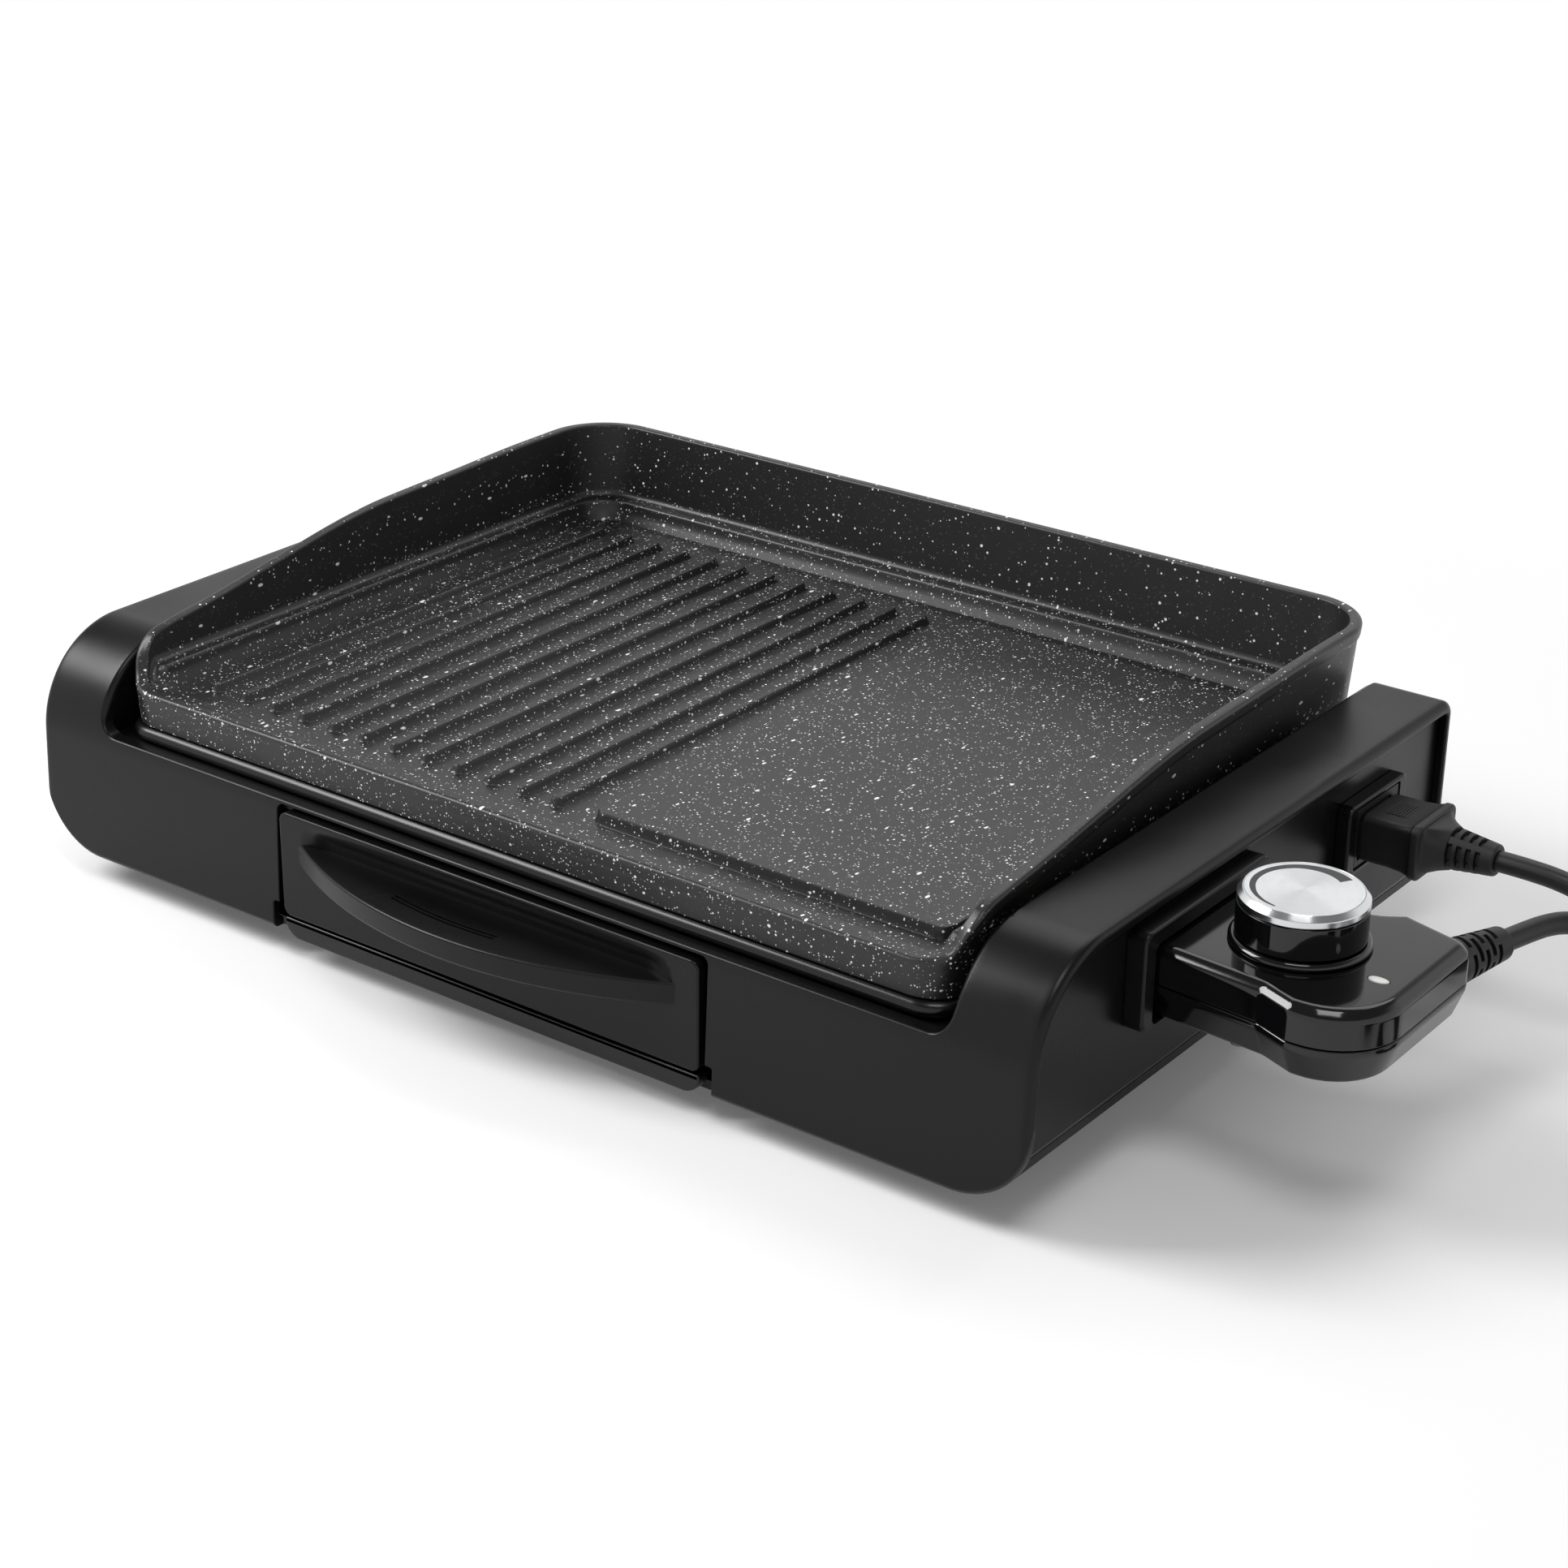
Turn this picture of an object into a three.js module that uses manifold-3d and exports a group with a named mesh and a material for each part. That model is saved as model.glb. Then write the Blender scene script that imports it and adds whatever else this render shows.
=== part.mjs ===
// Electric plancha: a cast griddle plate on a moulded base with a drip drawer,
// a plug-in thermostat with its lead, and a mains inlet with a second lead.
// Lengths are millimetres. X runs to the right, Y to the back and Z up from the table.
import * as THREE from "three";
import { mergeVertices } from "three/addons/utils/BufferGeometryUtils.js";
import Module from "manifold-3d";

const wasm = await Module();
wasm.setup();

// Gap between pieces that touch, the overrun of a cutting tool, the weld distance of close corners
const CLEAR = 0.3;
const OVERRUN = 4;
const WELD = 1e-4;
const SMALLEST_ROUND = 0.4;
const QUARTER = Math.PI / 2;

// Moulded base: the wings stand beside the plate, the deck between them carries the heat pan
const body = {
  width: 440,
  depth: 276,
  top: 92,
  underside: 10,
  wall: 3,
  frontLean: 2,
  frontRound: 38,
  rearRound: 6,
  bottomRound: 28,
  shoulderRound: 3,
  wingWidth: 32,
  lipTop: 61,
  lipRise: 1.3,
  lipWidth: 6,
  deckThickness: 3,
  deckLedge: 9,
  frontFlare: 19,
  frontFlareLength: 42,
  rearFlare: 10,
  bottomLedge: 34,
  postRadius: 4.5,
  postFromWing: 3.5,
  postFromEnd: 20,
};
const deckTop = body.lipTop - body.lipRise;
const deckUnder = deckTop - body.deckThickness;
const sideX = body.width / 2;
const frontY = -body.depth / 2;
const rearY = body.depth / 2;
const recessHalf = sideX - body.wingWidth;
const postX = recessHalf - body.postFromWing;
const postY = rearY - body.postFromEnd;

// Side panel, set back behind a rim of the base
const panel = { rim: 4.5, thickness: 3, reach: 19 };
const panelFace = sideX - body.wall - CLEAR;

// Bottom cover with its vents, feet and screws
const cover = {
  thickness: 3.4, sideInset: 30, endInset: 8, ventLength: 46, ventWidth: 4, ventPitch: 11, ventCount: 8,
};
const coverTop = body.underside - CLEAR;
const coverUnder = coverTop - cover.thickness;
const foot = {
  radius: 10, edge: 0.6, stemRadius: 3, headRadius: 4.2, headHeight: 2, fromSide: 43, fromEnd: 44,
};
const screw = { headRadius: 3, headHeight: 1.8, shankRadius: 1.4, bite: 8, holeDepth: 12 };

// Heat pan under the plate, hung on the deck by its flange
const pan = {
  sheet: 1.2, beadRadius: 3, sideGap: 3.5, wallInset: 7, depth: 13.5, corner: 14, seatCorner: 6,
  spoutRadius: 15, spoutDrop: 3.5,
};
const panOuterX = recessHalf - pan.sideGap;
const panOuterY = rearY - body.wall - pan.sideGap;
const panFlangeUnder = deckTop + CLEAR;
const panFloorTop = deckUnder - pan.depth;
const spoutUnder = panFloorTop - pan.sheet - pan.spoutDrop;
const beadTop = panFlangeUnder + 2 * pan.beadRadius;

// Cast griddle plate on the pan's bead: flaring walls, ribs on the left and a flat zone on the right
const plate = {
  sideGap: 4,
  frontInset: 8.5,
  rearOverhang: 4.5,
  frontCorner: 16,
  rearCorner: 24,
  frontRise: 13.7,
  rearRise: 49.2,
  flareShare: 0.075,
  wall: 4.6,
  beadHeight: 6,
  beadStep: 0.8,
  edge: 1,
  floorRise: 10.7,
  floorThickness: 5,
  ledgeRise: 8,
  ledgeWidth: 5.5,
  ledgeFillet: 4,
  skirt: 3.2,
};
const plateHalf = recessHalf - plate.sideGap;
const plateFront = frontY + plate.frontInset;
const plateRear = rearY + plate.rearOverhang;
const plateUnder = beadTop + CLEAR;
const floorTop = plateUnder + plate.floorRise;
const floorUnder = floorTop - plate.floorThickness;
// Height of the side wall, as shares of the plate's depth and of the rise from the front lip to the rear wall
const wallShares = [
  [0, 0], [0.018, 0.056], [0.036, 0.28], [0.065, 0.44], [0.096, 0.487], [0.17, 0.56],
  [0.31, 0.727], [0.455, 0.89], [0.522, 0.932], [0.675, 0.963], [0.838, 0.997], [1, 1],
];
const flatZone = {
  left: 24, sideInset: 14, frontInset: 19, rearInset: 24.5, corner: 6, rise: 4, draft: 1.5,
};
const ribs = {
  count: 12, sideInset: 27, zoneGap: 17.1, frontInset: 20.1, rearInset: 27.5, width: 6.6, topWidth: 3.6,
  height: 3,
};
const drain = { sideInset: 18, rearInset: 19.4, length: 20, width: 4.8 };

// Heating tube under the plate and its terminals
const heater = {
  radius: 3.2, leftInset: 34, rightInset: 44, endInset: 38, pinInset: 14, bend: 16, pinRadius: 2,
  pinReach: 17, spread: 15,
};
const heaterZ = floorUnder - CLEAR - heater.radius;
const heaterY = rearY - heater.endInset;
const heaterEnd = plateHalf - heater.pinInset;
const heaterReturn = plateHalf - heater.rightInset - 2 * heater.bend;
const heaterClamp = {
  inset: 48, width: 12, thickness: 1.6, overhang: 8, linkY: 20, saddleHeight: 5.5,
};

// Lower heating tube inside the pan
const lower = {
  radius: 3.2, rise: 8.8, sideInset: 44.5, endInset: 46.5, innerInset: 50, innerHalf: 30, bend: 16,
  pinRadius: 1.8, pinReach: 6, endReach: 4,
};
const lowerX = panOuterX - lower.sideInset;
const lowerY = panOuterY - lower.endInset;
const lowerZ = panFloorTop + lower.rise;
const lowerRest = {
  inset: 80, width: 12, thickness: 1.6, overhang: 9, saddleHeight: 4, legLength: 4, legHalf: 1,
};

// Drip drawer: opening in the front wall, tray, front with its crescent handle, rails
const opening = { sideGap: 2.2, topGap: 1.7, depth: 5, stepHeight: 21, step: 3 };
const fascia = {
  halfWidth: 94.3, bottom: 17.2, corner: 3.5, thickness: 4.2, proud: 1.6, bossRadius: 3.5,
  bossShare: 0.8, bossBite: 2, screwReach: 4.4,
};
const openingHalf = fascia.halfWidth + opening.sideGap;
const openingTop = deckTop - CLEAR;
const fasciaTop = openingTop - opening.topGap;
const fasciaFace = frontY - fascia.proud;
const tray = {
  sideInset: 8.3, frontInset: 5, rearInset: 78, spoutGap: 1.5, wall: 1.8, flange: 4, corner: 6,
  lipDrop: 1.4, lipGap: 1, lipCorner: 4,
};
const trayHalf = fascia.halfWidth - tray.sideInset;
const trayFront = frontY + tray.frontInset;
const trayRear = rearY - tray.rearInset;
const trayTop = spoutUnder - tray.spoutGap;
const handle = {
  sideInset: 9.3, fromTop: 10.2, reach: 23, height: 8.5, wall: 2.6, gripInset: 10.4, scoopRise: 8.5,
  scoopDepth: 6.5, scoopWall: 2.4,
};
const handleHalf = fascia.halfWidth - handle.sideInset;
const handleTop = fasciaTop - handle.fromTop;
const rail = {
  wall: 2, lip: 2.6, gap: 0.6, footWidth: 8, footThickness: 2, frontInset: 12, stop: 4, tabLength: 12,
  tabThickness: 1.6,
};
const railFront = frontY + rail.frontInset;

// Thermostat probe: shells, nose with contacts, sensing rod. Its axis is level with the heating tube
const probe = {
  fromFront: 96,
  topRise: 9.5,
  partingDrop: 3.5,
  bottomDrop: 16.5,
  wall: 2.2,
  chamfer: 3,
  taper: 3.6,
  startInset: 1,
  neckLength: 35,
  headLength: 46,
  neckHalf: 31.5,
  headHalf: 39.5,
  flareLength: 20,
  frontRound: 24,
  rearRound: 6.4,
  reliefDrop: 7,
  noseInset: 2.8,
  noseReach: 17,
  noseHalf: 21,
  noseHalfHeight: 6.5,
  noseGap: 0.45,
  contactRadius: 3.2,
  contactInset: 5.5,
  rodRadius: 2.5,
  rodInset: 10,
  screwInset: 8,
  screwSetback: 4,
};
// Where the flare's inner points lie, as shares of its length, and how far out, as a share of a round
const flareShares = { front: 0.7, rear: 0.6, out: 1 / 3 };
const probeY = frontY + probe.fromFront;
const probeTop = heaterZ + probe.topRise;
const probeParting = heaterZ - probe.partingDrop;
const probeBottom = heaterZ - probe.bottomDrop;
const probeStart = sideX - probe.startInset;
const neckEnd = probeStart + probe.neckLength;
const probeReach = neckEnd + probe.headLength;
const noseStart = recessHalf + probe.noseInset;
const noseEnd = probeStart + probe.noseReach;
const noseLow = heaterZ - probe.noseHalfHeight;
const noseHigh = heaterZ + probe.noseHalfHeight;
const sensorBoss = { leftInset: 78, rightInset: 24, half: 6.5, drop: 6 };
const bossLeft = plateHalf - sensorBoss.leftInset;
const bossRight = plateHalf - sensorBoss.rightInset;
const rodStart = bossLeft + probe.rodInset;

// Frame round the probe's socket, with a sleeve in the panel's window
const probeFrame = {
  sidePlay: 1, upPlay: 0.6, sideRim: 6.5, lowRim: 1.9, highRim: 5.9, corner: 4, openCorner: 2, depth: 7,
  sleeveWall: 1.5, sleeveSill: 1.6, sleeveTop: 0.9, sleeveCorner: 2.8, sleeveDepth: 4,
};
const openHalf = probe.neckHalf + probeFrame.sidePlay;
const openLow = probeBottom - probeFrame.upPlay;
const openHigh = probeTop + probeFrame.upPlay;
const sleeveHalf = openHalf + probeFrame.sleeveWall;
const sleeveLow = openLow + probeFrame.sleeveSill;
const sleeveHigh = openHigh + probeFrame.sleeveTop;

// Control knob, the switch under it and the lamp's lens between the knob and the probe's end
const knob = {
  setback: 37, height: 18, radius: 20.8, capHeight: 4.2, bevel: 1.6, wall: 2, hubRadius: 5.5,
  spindleRadius: 3, collarRadius: 22.6, collarHeight: 2.2, collarGap: 0.5, collarEdge: 0.6,
};
const knobX = probeStart + knob.setback;
const knobTop = probeTop + knob.height;
const switchBlock = { length: 34, width: 30, floorGap: 3, topRise: 2.5, seatDepth: 8 };
const switchTop = heaterZ + switchBlock.topRise;
const lens = { sideStep: 9, length: 7, width: 3.2, rise: 0.5, lampRadius: 2.4, lampLength: 6 };
const lensX = (knobX + knob.collarRadius + probeReach - probe.chamfer) / 2;
const lensY = probeY - lens.sideStep;

// Mains inlet on the right panel
const inlet = {
  fromRear: 59, fromTop: 28.5, frameHalfY: 21, frameHalfZ: 13.5, corner: 3, depth: 5, halfY: 15, halfZ: 11,
  inside: 13.7, backWall: 3, noseHalfY: 12.2, noseHalfZ: 8.2, bevel: 4, pinWidth: 4, pinThickness: 2,
  pinSpread: 7, pinReach: 10, tabLength: 4, wireRadius: 0.9, wireSetback: 8, wireBend: 4,
};
const inletY = rearY - inlet.fromRear;
const inletZ = body.top - inlet.fromTop;
const inletStart = panelFace - inlet.inside;
const inletBack = inletStart + inlet.backWall;
const inletFace = panelFace + CLEAR + inlet.depth;
const pinTip = inletBack + inlet.pinReach;
const connector = {
  gap: 0.4, length: 21.6, halfY: 14.2, halfZ: 9, corner: 2.5, flangeThickness: 3.4, flangeGrow: 1.6,
  noseGap: 2,
};
const connectorStart = inletFace + connector.gap;
const connectorEnd = connectorStart + connector.length;

// Both leads and what is on them
const lead = {
  diameter: 7.5, sides: 8, coilSides: 6, coilStepsPerTurn: 24, layerGap: 0.7, tail: 42, midRadius: 40,
  turnsPerLayer: 1.875, climbTurns: 0.5, rest: 0.15, riseShare: 0.8, coreInset: 0.6, coreBend: 4,
};
const relief = {
  inletLength: 20, probeLength: 25, rootRadius: 8, tipRadius: 5.6, ribPitch: 4, ribDepth: 1.2,
  neckLength: 5, neckRadius: 6, neckGap: 0.6, coneLength: 5, fromEnd: 10.5, fromSide: 1.5, angle: 1.3,
};
// Where a rib's groove starts and ends and the rib is full again, as shares of the rib's pitch
const grooveShares = { start: 0.25, end: 0.5, full: 0.75 };
const plug = {
  radius: 18, length: 30, frontRound: 3, tailLength: 22, tailRadius: 6, shoulderShare: 0.86,
  pinRadius: 2.4, pinLength: 19, pinSpread: 9.5, bridgeThickness: 3,
};
// The plug's tail, as shares of its radius and of its length
const tailShares = [[1, 0], [1.1, 0.4], [1.5, 0.8]];

// The lead from the inlet connector: it runs out level, sinks to the table and lies towards its coil
const inletRun = [
  [268, 79, 63.5], [280, 79, 63.5], [293, 79.2, 62.3], [306, 80, 58], [317.5, 82, 49.5],
  [327, 85.5, 38.5], [336, 90, 26.5], [346, 96, 15], [357, 103, 7], [367, 109.5, 4.2],
];
const inletCoil = { x: 362, y: 164, startAngle: -1.02, turnWay: 1 };
// The lead from the thermostat probe
const probeRun = [
  [296.27, 20.38, 65], [299, 30.2, 65], [302.3, 40.5, 64.9], [307.5, 49.5, 64], [315, 56, 61.5],
  [327, 61.5, 54.5],
  [340, 63, 44.5], [353, 62, 33], [366, 59.5, 21.5], [379, 55.5, 11.5], [391, 50.5, 5.6],
];
const probeCoil = { x: 402, y: -2, startAngle: 1.37, turnWay: -1 };

// Points of an arc in a drawing plane
function arc(x, y, radius, from, to, steps) {
  return Array.from({ length: steps + 1 }, (_, i) => {
    const angle = from + ((to - from) * i) / steps;
    return new THREE.Vector2(x + radius * Math.cos(angle), y + radius * Math.sin(angle));
  });
}

// A closed outline from lists of points, without doubled ones
function outline(...parts) {
  const points = parts.flat();
  return points.filter((p, i) => p.distanceTo(points[(i + points.length - 1) % points.length]) > WELD);
}

// Rectangle with a radius for its lower and its upper corners
function roundedRect(x0, x1, y0, y1, lowRound, highRound = lowRound, steps = 4) {
  const low = Math.max(lowRound, SMALLEST_ROUND);
  const high = Math.max(highRound, SMALLEST_ROUND);
  return outline(
    arc(x1 - low, y0 + low, low, -QUARTER, 0, steps),
    arc(x1 - high, y1 - high, high, 0, QUARTER, steps),
    arc(x0 + high, y1 - high, high, QUARTER, 2 * QUARTER, steps),
    arc(x0 + low, y0 + low, low, 2 * QUARTER, 3 * QUARTER, steps),
  );
}

const circle = (x, y, radius, sides) => arc(x, y, radius, 0, 2 * Math.PI, sides).slice(0, sides);

// A geometry's welded triangles as a manifold solid with its faces outwards
function toSolid(geometry) {
  const loose = geometry.index ? geometry.toNonIndexed() : geometry;
  const bare = new THREE.BufferGeometry();
  bare.setAttribute("position", loose.getAttribute("position").clone());
  const welded = mergeVertices(bare, WELD);
  const corners = welded.index.array;
  const kept = [];
  for (let i = 0; i < corners.length; i += 3) {
    const [a, b, c] = [corners[i], corners[i + 1], corners[i + 2]];
    if (a !== b && b !== c && c !== a) kept.push(a, b, c);
  }
  const build = (triVerts) =>
    new wasm.Manifold(
      new wasm.Mesh({
        numProp: 3,
        vertProperties: new Float32Array(welded.getAttribute("position").array),
        triVerts: new Uint32Array(triVerts),
      }),
    );
  const made = build(kept);
  if (made.volume() > 0) return made;
  const turned = [];
  for (let i = 0; i < kept.length; i += 3) turned.push(kept[i], kept[i + 2], kept[i + 1]);
  return build(turned);
}

function toGeometry(solid) {
  const mesh = solid.getMesh();
  const indexed = new THREE.BufferGeometry();
  indexed.setAttribute("position", new THREE.BufferAttribute(mesh.vertProperties, mesh.numProp));
  indexed.setIndex(new THREE.BufferAttribute(mesh.triVerts, 1));
  const geometry = indexed.toNonIndexed();
  geometry.computeVertexNormals();
  return geometry;
}

// Outlines pushed out along one axis: (x, y) along Z, (x, z) along Y and (y, z) along X
const bases = {
  z: new THREE.Matrix4(),
  y: new THREE.Matrix4().makeBasis(
    new THREE.Vector3(1, 0, 0), new THREE.Vector3(0, 0, 1), new THREE.Vector3(0, -1, 0),
  ),
  x: new THREE.Matrix4().makeBasis(
    new THREE.Vector3(0, 1, 0), new THREE.Vector3(0, 0, 1), new THREE.Vector3(1, 0, 0),
  ),
};

function prism(axis, points, from, to) {
  const depth = to - from;
  const geometry = new THREE.ExtrudeGeometry(
    new THREE.Shape(points),
    { depth, bevelEnabled: false, curveSegments: 1 },
  );
  geometry.applyMatrix4(bases[axis]);
  if (axis === "x") geometry.translate(from, 0, 0);
  if (axis === "y") geometry.translate(0, to, 0);
  if (axis === "z") geometry.translate(0, 0, from);
  return toSolid(geometry);
}

function box(x0, x1, y0, y1, z0, z1) {
  const geometry = new THREE.BoxGeometry(x1 - x0, y1 - y0, z1 - z0);
  geometry.translate((x0 + x1) / 2, (y0 + y1) / 2, (z0 + z1) / 2);
  return toSolid(geometry);
}

// Round bar along an axis; a and b are its centre's other two places, in X, Y, Z order
function bar(axis, a, b, radius, from, to, sides = 12) {
  return prism(axis, circle(a, b, radius, sides), from, to);
}

// Round hole for a bar of that radius: its flats keep the clearance
function bore(axis, a, b, radius, from, to, sides = 12) {
  return bar(axis, a, b, (radius + CLEAR) / Math.cos(Math.PI / sides), from, to, sides);
}

// A body skinned over rings of equally many points, closed by flat ends
function skin(rings) {
  const count = rings[0].length;
  const places = rings.flat();
  const faces = [];
  for (let r = 0; r + 1 < rings.length; r++) {
    for (let i = 0; i < count; i++) {
      const next = (i + 1) % count;
      const [a, b, c, d] = [r * count + i, r * count + next, (r + 1) * count + next, (r + 1) * count + i];
      faces.push(a, b, c, a, c, d);
    }
  }
  const last = rings.length - 1;
  const capOf = (ring) => THREE.ShapeUtils.triangulateShape(
    ring.map((p) => new THREE.Vector2(p.x, p.y)),
    [],
  );
  for (const [a, b, c] of capOf(rings[0])) faces.push(a, c, b);
  for (const corners of capOf(rings[last])) faces.push(...corners.map((corner) => last * count + corner));
  const geometry = new THREE.BufferGeometry().setFromPoints(places);
  geometry.setIndex(faces);
  return toSolid(geometry);
}

// Rings at given heights over one outline, each drawn in by its own inset
const stack = (points, levels) =>
  skin(
    levels.map(([height, inset]) =>
      insetOutline(points, inset).map((p) => new THREE.Vector3(p.x, p.y, height)),
    ),
  );

// An anticlockwise outline with each edge moved inwards by a distance
function insetOutline(points, distance) {
  const count = points.length;
  return points.map((point, i) => {
    const before = point.clone().sub(points[(i + count - 1) % count]).normalize();
    const after = points[(i + 1) % count].clone().sub(point).normalize();
    const normal = new THREE.Vector2(-before.y - after.y, before.x + after.x).normalize();
    const half = Math.max(normal.dot(new THREE.Vector2(-before.y, before.x)), 0.5);
    return point.clone().addScaledVector(normal, distance / half);
  });
}

// A surface of revolution about the Z axis, from (radius, height) pairs that start and end on the axis
function turned(profile, sides) {
  const points = profile.map(([radius, height]) => new THREE.Vector2(radius, height));
  return new THREE.LatheGeometry(points, sides).rotateX(QUARTER);
}

const joined = (solids) => solids.reduce((all, next) => all.add(next));
const cutBy = (solid, tools) => tools.reduce((left, tool) => left.subtract(tool), solid);

// A path that visits its stations one by one, so that bends get close steps and straights get one
class StationPath extends THREE.Curve {
  constructor(stations) {
    super();
    this.stations = stations;
  }
  getPoint(t, target = new THREE.Vector3()) {
    const place = t * (this.stations.length - 1);
    const index = Math.min(Math.floor(place), this.stations.length - 2);
    return target.lerpVectors(this.stations[index], this.stations[index + 1], place - index);
  }
  getPointAt(u, target) {
    return this.getPoint(u, target);
  }
  getTangentAt(u, target = new THREE.Vector3()) {
    const last = this.stations.length - 1;
    const index = Math.round(u * last);
    const back = this.stations[Math.max(index - 1, 0)];
    const ahead = this.stations[Math.min(index + 1, last)];
    return target.subVectors(ahead, back).normalize();
  }
}

// A round tube through stations
function tube(stations, radius, sides) {
  const section = new THREE.Shape(circle(0, 0, radius, sides));
  const extrudePath = new StationPath(stations);
  return new THREE.ExtrudeGeometry(
    section,
    { steps: stations.length - 1, extrudePath, bevelEnabled: false },
  );
}

// Stations of straight runs joined by round bends; a bend takes at most this share of a run
const bendShare = 0.45;
function bentPath(corners, radius, steps = 4) {
  const stations = [corners[0]];
  for (let i = 1; i + 1 < corners.length; i++) {
    const before = corners[i - 1].clone().sub(corners[i]);
    const after = corners[i + 1].clone().sub(corners[i]);
    before.setLength(Math.min(radius, before.length() * bendShare));
    after.setLength(Math.min(radius, after.length() * bendShare));
    const bend = new THREE.QuadraticBezierCurve3(
      corners[i].clone().add(before), corners[i], corners[i].clone().add(after),
    );
    stations.push(...bend.getPoints(steps));
  }
  stations.push(corners[corners.length - 1]);
  return stations;
}

const at = (x, y, z) => new THREE.Vector3(x, y, z);
const fourCorners = (x, y) => [[-x, -y], [x, -y], [x, y], [-x, y]];

// A screw: head on top, shank below, along Z or along Y
function screwAt(axis, a, b, seat, reach, way) {
  const head = bar(axis, a, b, screw.headRadius, ...ordered(seat, seat - way * screw.headHeight), 10);
  const shank = bar(
    axis, a, b, screw.shankRadius, ...ordered(seat - way * screw.headHeight / 2, seat + way * reach), 8,
  );
  return head.add(shank);
}
const ordered = (a, b) => (a < b ? [a, b] : [b, a]);
const screwHole = (axis, a, b, from, to) => bore(axis, a, b, screw.shankRadius, ...ordered(from, to), 8);

const finishes = {
  shell: new THREE.MeshStandardMaterial({ color: "#1c1c1d", roughness: 0.45, metalness: 0 }),
  gloss: new THREE.MeshStandardMaterial({ color: "#0d0d0e", roughness: 0.12, metalness: 0 }),
  enamel: new THREE.MeshStandardMaterial({ color: "#101011", roughness: 0.2, metalness: 0.1 }),
  stone: new THREE.MeshStandardMaterial({ color: "#2b2b2c", roughness: 0.6, metalness: 0.1 }),
  steel: new THREE.MeshStandardMaterial({ color: "#b9bbbd", roughness: 0.3, metalness: 1 }),
  brushed: new THREE.MeshStandardMaterial({ color: "#d5d6d8", roughness: 0.25, metalness: 1 }),
  brass: new THREE.MeshStandardMaterial({ color: "#b08d4a", roughness: 0.35, metalness: 1 }),
  ceramic: new THREE.MeshStandardMaterial({ color: "#dcd8cc", roughness: 0.6, metalness: 0 }),
  rubber: new THREE.MeshStandardMaterial({ color: "#161616", roughness: 0.8, metalness: 0 }),
  cable: new THREE.MeshStandardMaterial({ color: "#1b1b1b", roughness: 0.6, metalness: 0 }),
  lens: new THREE.MeshStandardMaterial({ color: "#d9d9d6", roughness: 0.2, metalness: 0 }),
};

const assembly = new THREE.Group();
const drawer = new THREE.Group();
const leads = new THREE.Group();
assembly.add(drawer, leads);

function add(name, shape, material, parent = assembly) {
  const geometry = shape.isBufferGeometry ? shape : toGeometry(shape);
  const mesh = new THREE.Mesh(geometry, material);
  mesh.name = name;
  parent.add(mesh);
  return mesh;
}

// Cross-section of the base seen from the front, drawn in by an inset
function bodySection(inset) {
  const half = sideX - inset;
  return roundedRect(
    -half, half, body.underside + inset, body.top - inset, body.bottomRound - inset,
    body.shoulderRound - inset, 6,
  );
}

// Outline of the base seen from the side: the front leans out at the bottom and rounds into the top
function bodySide(inset) {
  const front = frontY + inset;
  const rear = rearY - inset;
  const low = body.underside + inset;
  const high = body.top - inset;
  const frontRound = body.frontRound - inset;
  const rearRound = Math.max(body.rearRound - inset, SMALLEST_ROUND);
  return outline(
    [new THREE.Vector2(front - body.frontLean, low), new THREE.Vector2(rear, low)],
    arc(rear - rearRound, high - rearRound, rearRound, 0, QUARTER, 3),
    arc(front + frontRound, high - frontRound, frontRound, QUARTER, 2 * QUARTER, 8),
  );
}

// Both sections together make a solid of the base, drawn in by an inset
const bodySolid = (inset) =>
  prism("y", bodySection(inset), frontY - body.frontLean - OVERRUN, rearY + OVERRUN).intersect(
    prism("x", bodySide(inset), -sideX, sideX),
  );

// Plan of the recess between the wings; it flares out at the front and rounds at the rear
function recessPlan(grow) {
  const half = recessHalf + grow;
  const front = frontY - body.frontLean - OVERRUN;
  const flareStart = new THREE.Vector2(half, frontY + body.frontFlareLength);
  const flareEnd = new THREE.Vector2(half + body.frontFlare, frontY - body.frontLean);
  const bend = new THREE.QuadraticBezierCurve(
    flareStart, new THREE.Vector2(half, frontY + body.frontFlareLength / 3), flareEnd,
  );
  const rearRound = arc(
    half + body.rearFlare, rearY - body.rearFlare, body.rearFlare, 2 * QUARTER, QUARTER, 4,
  );
  const right = [
    new THREE.Vector2(half + body.frontFlare, front),
    ...bend.getPoints(8).reverse(),
    ...rearRound,
    new THREE.Vector2(half + body.rearFlare, rearY + OVERRUN),
  ];
  const left = right.map((p) => new THREE.Vector2(-p.x, p.y)).reverse();
  return outline(right, left);
}

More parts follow.
